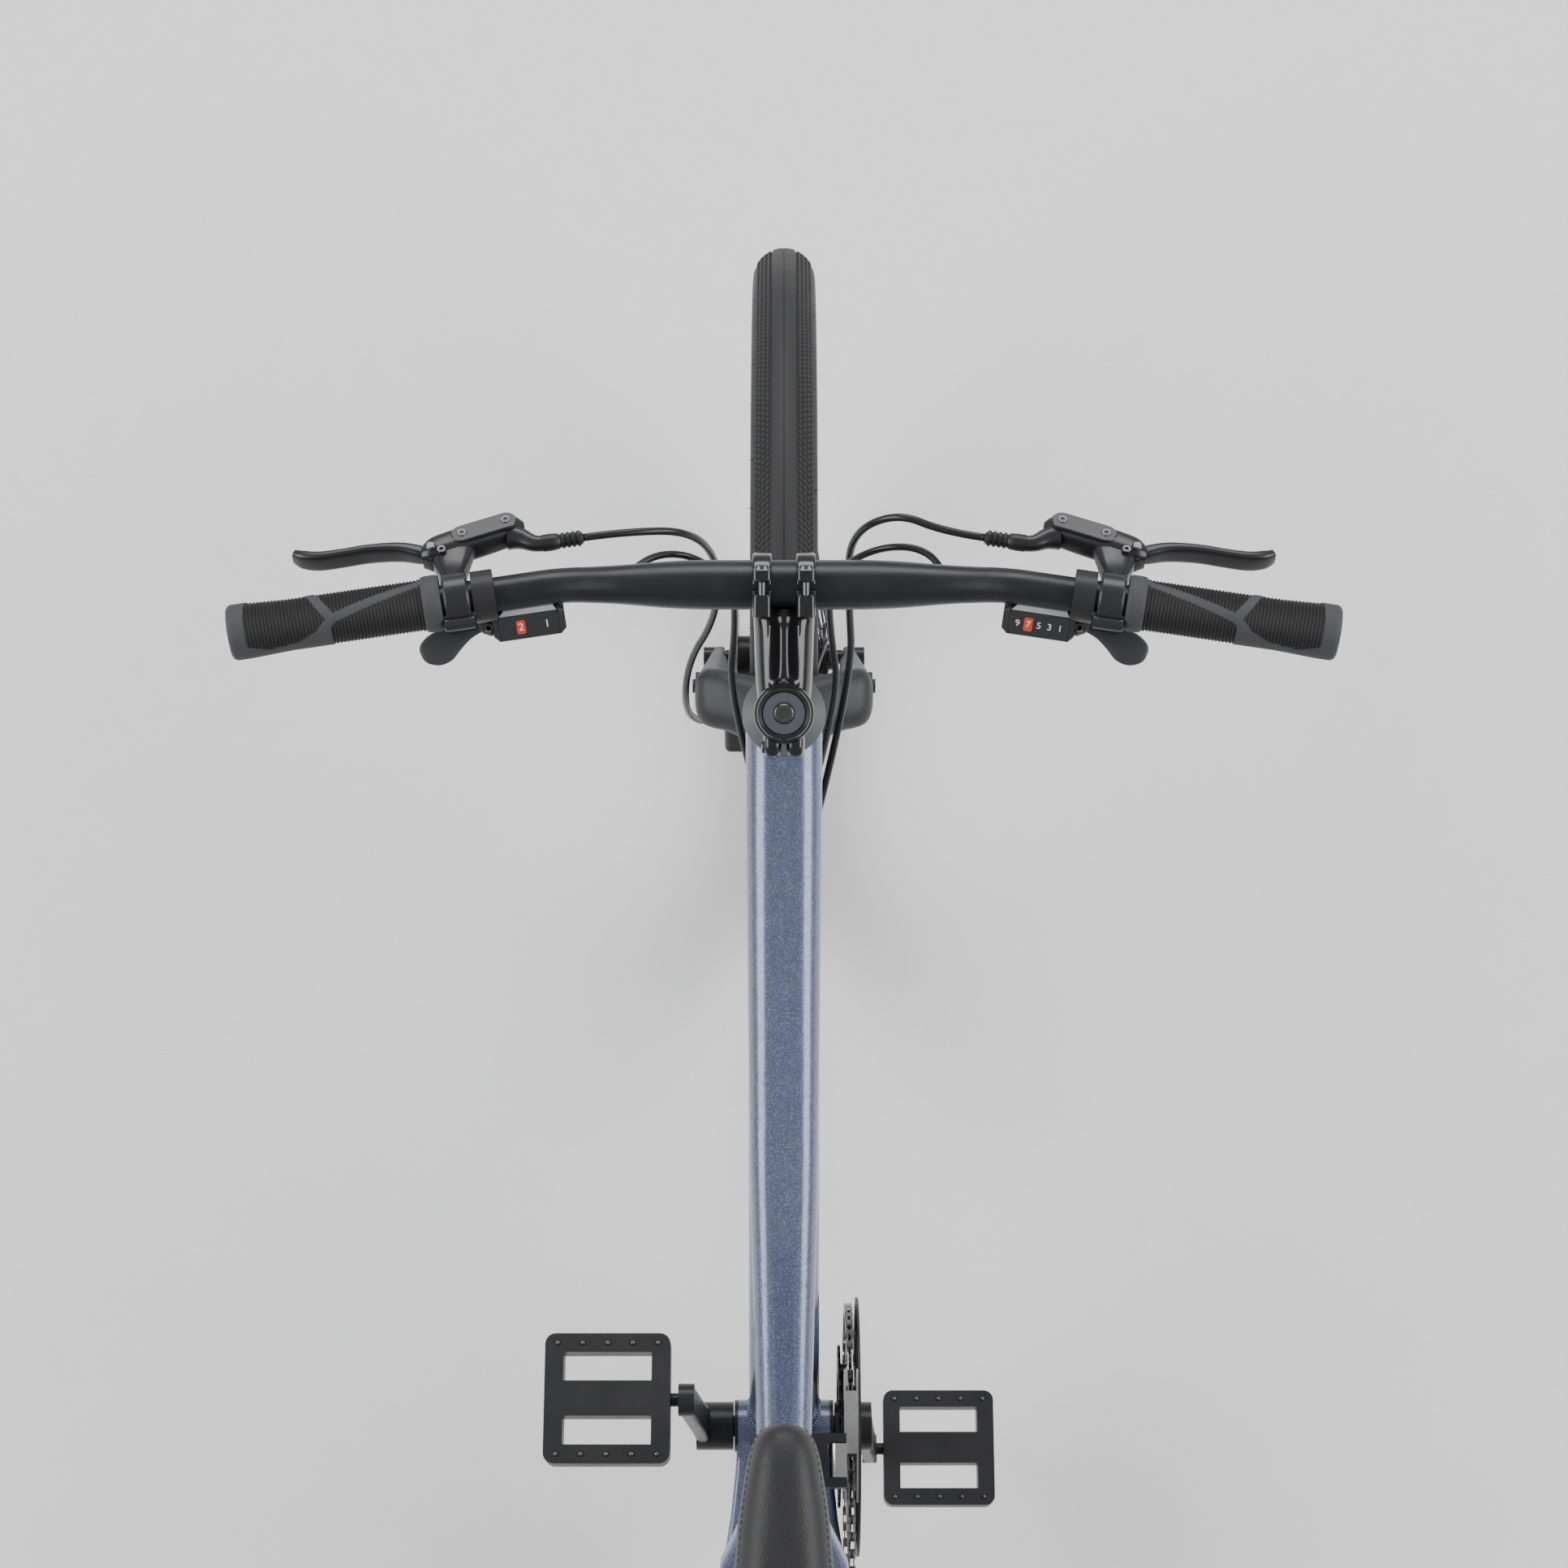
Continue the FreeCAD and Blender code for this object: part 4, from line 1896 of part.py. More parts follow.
THUMB_TURN = 106
TRIGGER_TURN = 97
trigger_z = pod_floor - d.moving_gap - d.trigger_thickness
thumb_z = trigger_z - d.moving_gap - d.thumb_thickness
left_thumb = make_shift_lever(
    "left_shift_lever", "dim.thumb_length", "dim.thumb_width", "dim.thumb_root_width",
    "dim.thumb_thickness", thumb_z, THUMB_TURN
)
node(left_thumb, "left_shift_lever")
node(mirrored("right_shift_lever", left_thumb), "right_shift_lever")
left_trigger = make_shift_lever(
    "left_release_lever", "dim.trigger_length", "dim.trigger_width", "dim.thumb_root_width",
    "dim.trigger_thickness",
    trigger_z, TRIGGER_TURN,
)
node(left_trigger, "left_release_lever")
node(mirrored("right_release_lever", left_trigger), "right_release_lever")

# Disc brake calipers: a rounded block that straddles the rotor, two pads inside and a bracket to the frame or fork


def make_caliper(name, place, angle, rotor_place, port_turn, bracket_box, obstacles):
    """Caliper at an angle round the axle in the placement's XZ plane. Returns the hose port and its direction."""
    centre = Vector(cosine(angle) * d.caliper_reach, 0, sine(angle) * d.caliper_reach)
    radial = Vector(cosine(angle), 0, sine(angle))
    local = axes_placement(centre, radial, Y_AXIS)
    low = rotor_place - d.caliper_inboard
    high = rotor_place + d.caliper_outboard

    def block(x_low, x_size, length, y_low, y_high):
        box = Part.makeBox(x_size, length, y_high - y_low, Vector(x_low, -length / 2, y_low))
        return box

    body = block(-d.caliper_height / 2, d.caliper_height, d.caliper_length, low, high)
    body = body.makeFillet(d.caliper_round, body.Edges)
    half_slot = d.rotor_thickness / 2 + d.pad_gap + d.pad_thickness
    slot_reach = d.rotor_diameter / 2 + 2 * d.moving_gap - d.caliper_reach + d.caliper_height / 2
    body = body.cut(block(
        -d.caliper_height / 2, slot_reach, 2 * d.caliper_length, rotor_place - half_slot, rotor_place + half_slot
    ))
    pads = []
    for side in (1, -1):
        near = d.rotor_thickness / 2 + d.pad_gap
        edge = sorted((rotor_place + side * near, rotor_place + side * half_slot))
        pads.append(block(
            -d.caliper_height / 2 + d.caliper_round, d.rotor_band * 0.95, d.pad_length, edge[0], edge[1]
        ))
    body.Placement = place * local
    for item in pads:
        item.Placement = place * local
    bracket = Part.makeBox(*bracket_box[3:], Vector(*bracket_box[:3]))
    bracket.Placement = place
    for obstacle in obstacles:
        bracket = bracket.cut(obstacle)
    spin_space = Part.makeCylinder(
        d.rotor_diameter / 2 + 2 * d.moving_gap, 2 * half_slot, place.multVec(
            Vector(0, rotor_place - half_slot, 0)
        ), Y_AXIS
    )
    bracket = bracket.cut(spin_space)
    body = largest(body.fuse(largest(bracket)).removeSplitter())
    port = (place * local).multVec(
        Vector(0, port_turn * (d.caliper_length / 2 - d.caliper_round), low + d.caliper_inboard / 2)
    )
    outward = (place * local).Rotation.multVec(Y_AXIS * port_turn)
    stub = Part.makeCylinder(d.banjo_diameter / 2, d.caliper_round + d.banjo_diameter, port, outward)
    body = largest(body.fuse(stub).removeSplitter())
    feature(name, Part.makeCompound([body] + pads))
    return port + outward * (d.caliper_round + d.banjo_diameter), outward


fork_frame = Placement(front_axle, steer_turn)
FRONT_CALIPER_ANGLE = 140
REAR_CALIPER_ANGLE = 17
front_port, front_port_dir = make_caliper(
    "front_brake_caliper", fork_frame, FRONT_CALIPER_ANGLE, d.front_rotor_place, 1,
    (-d.caliper_reach * 0.75, d.front_rotor_place + d.caliper_outboard * 0.5, d.caliper_reach * 0.5,
     d.caliper_reach * 0.7, fork_end_middle - d.front_rotor_place - d.caliper_outboard * 0.5, d.caliper_height),
    [left_leg],
)
rear_frame = Placement(rear_axle, Rotation())
rear_port, rear_port_dir = make_caliper(
    "rear_brake_caliper", rear_frame, REAR_CALIPER_ANGLE, d.rear_rotor_place, -1,
    (d.dropout_radius * 1.5, d.rear_rotor_place + d.caliper_outboard * 0.6, 0,
     d.caliper_reach * 0.6, dropout_y - d.rear_rotor_place - d.caliper_outboard * 0.6, d.caliper_height),
    [left_dropout, left_chainstay.Shape, left_seatstay.Shape],
)

# Hoses and gear cables; each route's middle points are shares of half the bar's width, in the steering frame


def steering_route(shares):
    return [fork_vec(*(share * d.bar_half_width for share in point)) for point in shares]


def mirror_point(point):
    return Vector(point.x, -point.y, point.z)


FRONT_HOSE_SHARES = (
    (0.345, 0.17, 0.55), (0.29, 0.125, 0.35), (0.19, 0.14, 0.12), (0.11, 0.2, -0.06),
    (0.01, 0.215, -0.25), (-0.02, 0.19, -0.5), (-0.01, 0.16, -0.8),
)
REAR_HOSE_SHARES = (
    (0.375, -0.21, 0.62), (0.34, -0.125, 0.53), (0.24, -0.125, 0.37), (0.07, -0.14, 0.16),
)
RIGHT_CABLE_SHARES = (
    (0.31, -0.27, 0.59), (0.315, -0.175, 0.57), (0.265, -0.085, 0.45), (0.165, -0.09, 0.33),
    (0.03, -0.112, 0.23),
)
LEFT_CABLE_SHARES = (
    (0.3, 0.25, 0.57), (0.3, 0.17, 0.545), (0.25, 0.1, 0.43), (0.175, 0.095, 0.31), (0.04, 0.112, 0.2),
)
down_outside = lofted([rounded_wire(*item) for item in down_sections])
down_run = bb - down_start
down_run.normalize()


def port_point(share, side, lift):
    """Point just inside the side of the down tube, a share of the way down it."""
    point = down_start + (bb - down_start) * share
    inside = d.down_tube_head_width / 2 - 3 * d.tube_wall
    upward = Vector(-down_run.z, 0, down_run.x)
    return Vector(point.x, side * inside, point.z) - upward * lift


def trimmed(shape):
    return largest(shape.cut(down_outside))


lead = d.boot_length
boot_wire_end = boot_end + boot_dir * lead
front_hose = hose(
    [boot_end, boot_wire_end] + steering_route(FRONT_HOSE_SHARES) + [
        front_port + front_port_dir * d.caliper_height, front_port,
    ],
    d.hose_diameter,
)
feature("front_brake_hose", front_hose)
rear_hose = hose(
    [mirror_point(boot_end), mirror_point(boot_wire_end)] + steering_route(REAR_HOSE_SHARES)
    + [port_point(0.16, -1, 0)],
    d.hose_diameter,
)
feature("rear_brake_hose", trimmed(rear_hose))
barrel_lead = barrel_end + pod_dir(0, -1, 0) * lead
right_cable = hose(
    [mirror_point(barrel_end), mirror_point(barrel_lead)] + steering_route(RIGHT_CABLE_SHARES)
    + [port_point(0.11, -1, -d.cable_diameter * 2)],
    d.cable_diameter,
)
left_cable = hose(
    [barrel_end, barrel_lead] + steering_route(LEFT_CABLE_SHARES) + [
        port_point(0.11, 1, -d.cable_diameter * 2)
    ],
    d.cable_diameter,
)
feature("gear_cables", Part.makeCompound([trimmed(right_cable), trimmed(left_cable)]))

# Chain line in side view: circles in order of travel, each with its teeth and the way it turns


def pitch_radius(teeth):
    return d.chain_pitch / (2 * math.sin(math.pi / teeth))


def flat(point):
    return Vector(point.x, 0, point.z)


def right_of(angle):
    return Vector(math.sin(angle), 0, -math.cos(angle))


chain_y = -d.chain_plane
guide = Vector(rear_axle.x - d.guide_pulley_back, 0, rear_axle.z - d.guide_pulley_drop)


def chain_circles(cage_angle):
    tension = guide + Vector(math.cos(cage_angle), 0, math.sin(cage_angle)) * d.pulley_spacing
    return [
        (flat(rear_axle), CASSETTE_TEETH[GEAR_INDEX], 1), (flat(bb), RING_TEETH, 1),
        (tension, PULLEY_TEETH, 1), (guide, PULLEY_TEETH, -1),
    ]


def tangent_angle(first, second):
    """Heading of the chain from one circle to the next, with X ahead and Z up."""
    run = second[0] - first[0]
    lean = second[2] * pitch_radius(second[1]) - first[2] * pitch_radius(first[1])
    return math.atan2(run.z, run.x) + math.asin(lean / run.Length)


def chain_runs(cage_angle):
    """List of straight and curved runs, each with its length counted in chain pitches."""
    circles = chain_circles(cage_angle)
    headings = [tangent_angle(one, circles[(i + 1) % len(circles)]) for i, one in enumerate(circles)]
    runs = []
    for i, (centre, teeth, way) in enumerate(circles):
        radius = pitch_radius(teeth)
        turn = (headings[i - 1] - headings[i]) * way % (2 * math.pi)
        runs.append(("arc", i, headings[i - 1], turn * teeth / (2 * math.pi)))
        following = circles[(i + 1) % len(circles)]
        start = centre - right_of(headings[i]) * (radius * way)
        end = following[0] - right_of(headings[i]) * (pitch_radius(following[1]) * following[2])
        runs.append(("line", start, end, (end - start).Length / d.chain_pitch))
    return circles, runs


def chain_count(cage_angle):
    return sum(run[3] for run in chain_runs(cage_angle)[1])


def solve_cage():
    """Cage angle nearest to its usual slant that leaves an even number of links."""
    slack = math.radians(-105)
    taut = math.radians(-25)
    links = 2 * round(chain_count(math.radians(-68)) / 2)
    for _ in range(60):
        middle = (slack + taut) / 2
        if (chain_count(middle) - links) * (chain_count(taut) - links) > 0:
            taut = middle
        else:
            slack = middle
    return (slack + taut) / 2, links


cage_angle, LINKS = solve_cage()
circles, runs = chain_runs(cage_angle)
tension = circles[2][0]


def chain_pin(count):
    """Place of a chain pin, counted in pitches from where the chain meets the cassette."""
    for run in runs:
        if count <= run[3] + 1e-9:
            if run[0] == "line":
                return run[1] + (run[2] - run[1]) * (count / run[3])
            centre, teeth, way = circles[run[1]]
            heading = run[2] - way * count * 2 * math.pi / teeth
            return centre - right_of(heading) * (pitch_radius(teeth) * way)
        count -= run[3]
    return chain_pin(0)


def first_pin(circle):
    """Angle, in side view, of the first pin that lies on a circle."""
    before = 0
    for run in runs:
        if run[0] == "arc" and run[1] == circle:
            pin = chain_pin(math.ceil(before)) - circles[circle][0]
            return math.atan2(pin.z, pin.x)
        before += run[3]


def side_prism(points, y_low, thickness):
    """Flat plate from points in side view."""
    corners = [Vector(p.x, y_low, p.z) for p in points]
    return Part.Face(Part.makePolygon(corners + corners[:1])).extrude(Vector(0, thickness, 0))


def link_plate(start, end, y_low):
    run = end - start
    run.normalize()
    up = Vector(-run.z, 0, run.x)
    half = d.link_height / 2
    nose = d.link_height * 0.46
    shoulder = d.link_height * 0.2
    points = [
        start - run * nose, start - run * shoulder + up * half, end + run * shoulder + up * half,
        end + run * nose, end + run * shoulder - up * half, start - run * shoulder - up * half,
    ]
    return side_prism(points, y_low, d.plate_thickness)


def roller(centre, run):
    reach = d.roller_diameter / 2 * 0.96
    up = Vector(-run.z, 0, run.x)
    points = [centre + run * reach, centre + up * reach, centre - run * reach, centre - up * reach]
    return side_prism(points, chain_y - d.inner_gap / 2, d.inner_gap)


pins = [chain_pin(k) for k in range(LINKS)]
inner_face = d.inner_gap / 2
outer_face = inner_face + d.plate_thickness + d.pin_clearance
links = []
for k, start in enumerate(pins):
    end = pins[(k + 1) % LINKS]
    face = inner_face if k % 2 else outer_face
    plates = [
        link_plate(start, end, chain_y + face), link_plate(start, end, chain_y - face - d.plate_thickness),
    ]
    if k % 2:
        run = (end - start).normalize()
        inner = plates[0].fuse([plates[1], roller(start, run), roller(end, run)]).removeSplitter()
        links.append(inner)
    else:
        links.extend(plates)
feature("chain", Part.makeCompound(links))

# Sprockets: round valleys for the rollers and straight-sided teeth


def sprocket(centre, teeth, y_middle, thickness, bore, valley_angle):
    radius = pitch_radius(teeth)
    seat = d.roller_diameter / 2 + d.seam_gap
    tip = radius + d.roller_diameter * 0.42
    step = 2 * math.pi / teeth
    y_low = y_middle - thickness / 2
    edges = []

    def at(r, angle):
        return Vector(centre.x + r * math.cos(angle), y_low, centre.z + r * math.sin(angle))

    flank = math.asin(seat / radius) * 0.98
    land = step * 0.09
    for k in range(teeth):
        angle = valley_angle + k * step
        start = at(radius, angle - flank)
        end = at(radius, angle + flank)
        edges.append(Part.Arc(start, at(radius - seat, angle), end).toShape())
        rise = at(tip, angle + step / 2 - land)
        fall = at(tip, angle + step / 2 + land)
        following = at(radius, angle + step - flank)
        for one, two in ((end, rise), (rise, fall), (fall, following)):
            edges.append(Part.LineSegment(one, two).toShape())
    plate = Part.Face(Part.Wire(edges)).extrude(Vector(0, thickness, 0))
    return plate.cut(y_cylinder(centre, bore / 2, y_low, thickness))


smallest_y = chain_y - GEAR_INDEX * d.sprocket_pitch
cassette = []
for index, teeth in enumerate(CASSETTE_TEETH):
    phase = first_pin(0) if index == GEAR_INDEX else math.pi / 2
    middle = smallest_y + index * d.sprocket_pitch
    cassette.append(
        sprocket(
            rear_axle, teeth, middle, d.sprocket_thickness, d.freehub_diameter - d.sprocket_thickness, phase,
        )
    )
freehub_low = smallest_y - d.sprocket_thickness / 2 - d.lockring_thickness
freehub_high = smallest_y + (len(CASSETTE_TEETH) - 1) * d.sprocket_pitch + d.sprocket_thickness
freehub = y_cylinder(rear_axle, d.freehub_diameter / 2, freehub_low, freehub_high - freehub_low)
freehub_bore = d.hub_end_diameter / 2 + d.running_gap
freehub = freehub.cut(y_cylinder(rear_axle, freehub_bore, freehub_low, freehub_high - freehub_low))
feature("cassette", freehub.fuse(cassette).removeSplitter())
feature(
    "guide_pulley",
    sprocket(
        guide, PULLEY_TEETH, chain_y, d.pulley_thickness, d.pulley_bore + 2 * d.running_gap, first_pin(3),
    ),
)
feature(
    "tension_pulley",
    sprocket(
        tension, PULLEY_TEETH, chain_y, d.pulley_thickness, d.pulley_bore + 2 * d.running_gap, first_pin(2),
    ),
)

# Rear derailleur: body on the hanger, and the sprung cage with the pulleys' pins

hanger_face = -dropout_y - d.dropout_thickness
cage_outer = chain_y - d.cage_plate_gap - d.cage_plate_thickness
cage_inner = chain_y + d.cage_plate_gap
outer_plate = capsule(guide, tension, d.cage_plate_width, d.cage_plate_thickness, cage_outer)
inner_plate = capsule(guide, tension, d.cage_plate_width, d.cage_plate_thickness, cage_inner)
cage = outer_plate.fuse(inner_plate)
for centre in (guide, tension):
    cage = cage.fuse(y_cylinder(centre, d.pulley_bore / 2, cage_outer, cage_inner - cage_outer))
slot_end = guide + (tension - guide) * 0.62
slot_start = guide + (tension - guide) * 0.42
for low in (cage_outer, cage_inner):
    cage = cage.cut(capsule(slot_start, slot_end, d.cage_plate_width / 2, d.cage_plate_thickness, low))
feature("rear_derailleur_cage", cage.removeSplitter())
knuckle_r = d.knuckle_diameter / 2
upper_low = hanger_face - d.knuckle_length
lower_low = cage_outer - d.moving_gap - d.knuckle_length
body = y_cylinder(hanger_bolt, knuckle_r, upper_low, d.knuckle_length)
body = body.fuse(y_cylinder(hanger_bolt, d.pivot_pin_diameter, hanger_face, d.dropout_thickness))
body = body.fuse(y_cylinder(guide, knuckle_r, lower_low, d.knuckle_length))
plate_y = (max(upper_low, lower_low), min(hanger_face, lower_low + d.knuckle_length))
link_thickness = (plate_y[1] - plate_y[0]) / 3
for low in (plate_y[0], plate_y[1] - link_thickness):
    body = body.fuse(capsule(hanger_bolt, guide, d.link_plate_width, link_thickness, low))
feature("rear_derailleur", body.removeSplitter())

# Crankset: spindle, arms, spider, two chainrings and a guard

arm_down = Vector(0, 0, -1)


def crank_wire(centre, direction, y, width, thickness):
    place = axes_placement(Vector(centre.x, y, centre.z), Y_AXIS, direction)
    return rounded_wire(place, thickness, width, thickness * 0.4)


def make_arm(side, direction):
    """Crank arm that leans outwards to the pedal; side is 1 on the left."""
    tip = bb + direction * d.crank_length
    shares = ((0, 1), (0.3, 0.85), (1, 0.8))
    wires = []
    for share, size in shares:
        y = side * (d.crank_root_place + (d.crank_tip_place - d.crank_root_place) * share)
        wires.append(
            crank_wire(
                bb + direction * (d.crank_length * share), direction, y, d.crank_width * size,
                d.crank_thickness,
            )
        )
    arm = lofted(wires)
    root_low = side * d.crank_root_place - d.crank_thickness / 2
    tip_low = side * d.crank_tip_place - d.crank_thickness / 2
    arm = arm.fuse(y_cylinder(bb, d.crank_boss_diameter / 2, root_low, d.crank_thickness))
    arm = arm.fuse(y_cylinder(tip, d.crank_end_width / 2, tip_low, d.crank_thickness))
    return arm, tip


cup_face = d.bb_shell_width / 2 + d.bb_cup_flange
spindle_end = d.crank_root_place + d.crank_thickness / 2
ring_y = chain_y
spider_face = ring_y + d.ring_thickness / 2
small_y = ring_y + d.small_ring_inset
spider_back = small_y - d.ring_thickness / 2
right_arm, right_tip = make_arm(-1, arm_down)
spindle = y_cylinder(bb, d.spindle_diameter / 2, -spindle_end, 2 * spindle_end)
boss_inner = -cup_face - 2 * d.moving_gap
hub_boss = y_cylinder(bb, d.crank_boss_diameter / 2, -d.crank_root_place, boss_inner + d.crank_root_place)
spider_pieces = [hub_boss, spindle]
bolt_circle = d.spider_bolt_circle / 2
for k in range(SPIDER_ARMS):
    angle = 360 / SPIDER_ARMS * (k + 0.5)
    tip = bb + Vector(cosine(angle), 0, sine(angle)) * bolt_circle
    spider_pieces.append(capsule(bb, tip, d.spider_width, spider_back - spider_face, spider_face))
right_arm = right_arm.fuse(spider_pieces)
pedal_y = d.crank_tip_place + d.crank_thickness / 2
pedal_axle_length = d.pedal_gap + d.pedal_width - d.pedal_rail / 2
right_arm = right_arm.fuse(
    y_cylinder(
        right_tip, d.pedal_axle_diameter / 2, -pedal_y - pedal_axle_length,
        pedal_axle_length + d.crank_thickness / 2,
    )
)
feature("right_crank", largest(right_arm.removeSplitter()))
left_arm, left_tip = make_arm(1, -arm_down)
left_boss = y_cylinder(
    bb, d.crank_boss_diameter / 2, cup_face + 2 * d.moving_gap,
    d.crank_root_place - cup_face - 2 * d.moving_gap,
)
left_arm = left_arm.fuse([
    left_boss, y_cylinder(
        left_tip, d.pedal_axle_diameter / 2, pedal_y - d.crank_thickness / 2,
        pedal_axle_length + d.crank_thickness / 2,
    )
])
left_arm = left_arm.cut(y_cylinder(bb, d.spindle_diameter / 2, 0, 2 * spindle_end))
feature("left_crank", largest(left_arm.removeSplitter()))
big_ring = sprocket(bb, RING_TEETH, ring_y, d.ring_thickness, d.ring_bore, first_pin(1))
small_ring = sprocket(bb, SMALL_RING_TEETH, small_y, d.ring_thickness, d.ring_bore, 0)
guard_low = -d.guard_place - d.guard_thickness / 2
guard = y_cylinder(bb, d.guard_diameter / 2, guard_low, d.guard_thickness)
guard = guard.cut(y_cylinder(bb, d.guard_bore / 2, guard_low, d.guard_thickness))
post_pieces = []
for k in range(SPIDER_ARMS):
    angle = 360 / SPIDER_ARMS * (k + 0.5)
    tab = bb + Vector(cosine(angle), 0, sine(angle)) * (d.guard_bore / 2 + d.spider_tab / 2)
    root = bb + Vector(cosine(angle), 0, sine(angle)) * bolt_circle
    post_pieces.append(capsule(root, tab, d.spider_tab, d.guard_thickness, guard_low))
    high = -d.chain_plane - d.ring_thickness / 2
    post_pieces.append(y_cylinder(root, d.spider_tab / 2, guard_low, high - guard_low))
guard = guard.fuse(post_pieces)
guard = largest(guard.removeSplitter())
feature("chainrings", Part.makeCompound([big_ring, small_ring, guard]))

# Pedals: platforms with two windows each, bored for the axle


def make_pedal(side, tip):
    y_low = pedal_y + d.pedal_gap if side > 0 else -pedal_y - d.pedal_gap - d.pedal_width
    block = Part.makeBox(
        d.pedal_length, d.pedal_width, d.pedal_height,
        Vector(tip.x - d.pedal_length / 2, y_low, tip.z - d.pedal_height / 2),
    )
    upright = [edge for edge in block.Edges if abs(edge.tangentAt(0).z) > 0.5]
    block = block.makeFillet(d.pedal_round, upright)
    window_length = d.pedal_length / 2 - d.pedal_core / 2 - d.pedal_rail
    for way in (1, -1):
        middle = tip.x + way * (d.pedal_core / 2 + window_length / 2)
        block = block.cut(Part.makeBox(
            window_length, d.pedal_width - 2 * d.pedal_rail, d.pedal_height,
            Vector(middle - window_length / 2, y_low + d.pedal_rail, tip.z - d.pedal_height / 2),
        ))
    bore_low = y_low - d.cut_overrun if side > 0 else y_low + d.pedal_rail / 2 - d.moving_gap
    bore = y_cylinder(
        tip, d.pedal_axle_diameter / 2 + d.running_gap, bore_low,
        d.pedal_width - d.pedal_rail / 2 + d.cut_overrun + d.moving_gap,
    )
    return block.cut(bore)


feature("left_pedal", make_pedal(1, left_tip))
feature("right_pedal", make_pedal(-1, right_tip))

# Front derailleur: band and pivot on the seat tube, cage round the chain

clamp_at = seat_vec(0, 0, d.front_clamp_height)
band = Part.makeCylinder(
    d.seat_tube_diameter / 2 + d.front_clamp_wall, d.front_clamp_width, clamp_at, seat_up,
)
pin_half = d.front_pivot_length / 2
ear_size = 2 * d.front_pivot_ear
pivot_at = clamp_at + seat_up * (d.front_clamp_width / 2) + Vector(0, -d.front_pivot_y, 0)


def pivot_box(x_low, x_size, y_low, y_high):
    return Part.makeBox(
        x_size, y_high - y_low, ear_size, Vector(pivot_at.x + x_low, y_low, pivot_at.z - ear_size / 2),
    )


ear_edge = -d.front_pivot_y + d.front_pivot_ear
band = band.fuse(pivot_box(-pin_half, 2 * pin_half, ear_edge, 0))
for low in (-pin_half, pin_half - d.front_pivot_ear):
    band = band.fuse(pivot_box(low, d.front_pivot_ear, -d.front_pivot_y - d.front_pivot_ear, ear_edge))
pivot_start = Vector(pivot_at.x - pin_half, pivot_at.y, pivot_at.z)
band = band.fuse(Part.makeCylinder(d.pulley_bore / 2, d.front_pivot_length, pivot_start, X_AXIS))
band = band.cut(Part.makeCylinder(d.seat_tube_diameter / 2, d.seat_tube_length, bb, seat_up))
feature("front_derailleur_mount", largest(band.removeSplitter()))

cage_low = pitch_radius(RING_TEETH) + d.roller_diameter / 2 + d.front_cage_clear
cage_high = cage_low + d.front_cage_height
CAGE_FROM = 76
CAGE_TO = 124


def sector(r_low, r_high, from_angle, to_angle, y_low, thickness):
    """Part of a flat ring round the crank axis."""
    def at(r, angle):
        return Vector(bb.x + r * cosine(angle), y_low, bb.z + r * sine(angle))

    middle = (from_angle + to_angle) / 2
    edges = [
        Part.Arc(at(r_low, from_angle), at(r_low, middle), at(r_low, to_angle)).toShape(),
        Part.LineSegment(at(r_low, to_angle), at(r_high, to_angle)).toShape(),
        Part.Arc(at(r_high, to_angle), at(r_high, middle), at(r_high, from_angle)).toShape(),
        Part.LineSegment(at(r_high, from_angle), at(r_low, from_angle)).toShape(),
    ]
    return Part.Face(Part.Wire(edges)).extrude(Vector(0, thickness, 0))


front_outer = chain_y - d.front_cage_gap - d.front_cage_plate
front_inner = chain_y + d.front_cage_gap
front_span = front_inner + d.front_cage_plate - front_outer
front_cage = sector(cage_low, cage_high, CAGE_FROM, CAGE_TO, front_outer, d.front_cage_plate)
front_cage = front_cage.fuse(sector(cage_low, cage_high, CAGE_FROM, CAGE_TO, front_inner, d.front_cage_plate))
front_cage = front_cage.fuse(
    sector(cage_high - d.front_cage_plate, cage_high, CAGE_FROM + 8, CAGE_TO - 18, front_outer, front_span)
)
front_cage = front_cage.fuse(
    sector(cage_low, cage_low + d.front_cage_plate, CAGE_TO - 2, CAGE_TO, front_outer, front_span)
)
lever_half = pin_half - d.front_pivot_ear - d.moving_gap
arm_low = bb.z + cage_high * 0.93
front_arm = Part.makeBox(
    2 * lever_half, d.front_cage_plate * 3, pivot_at.z - arm_low,
    Vector(pivot_at.x - lever_half, front_inner, arm_low),
)
front_arm = front_arm.fuse(Part.makeBox(
    2 * lever_half, -front_inner - d.front_pivot_y, ear_size * 0.8,
    Vector(pivot_at.x - lever_half, front_inner, pivot_at.z - ear_size * 0.4),
))
front_arm = front_arm.fuse(Part.makeCylinder(
    ear_size * 0.4, 2 * lever_half, Vector(pivot_at.x - lever_half, pivot_at.y, pivot_at.z), X_AXIS
))
front_cage = front_cage.fuse(front_arm)
front_cage = front_cage.cut(Part.makeCylinder(
    d.pulley_bore / 2 + d.running_gap, d.front_pivot_length, pivot_start, X_AXIS
))
feature("front_derailleur_cage", largest(front_cage.removeSplitter()))

# Bottle bosses on the down tube

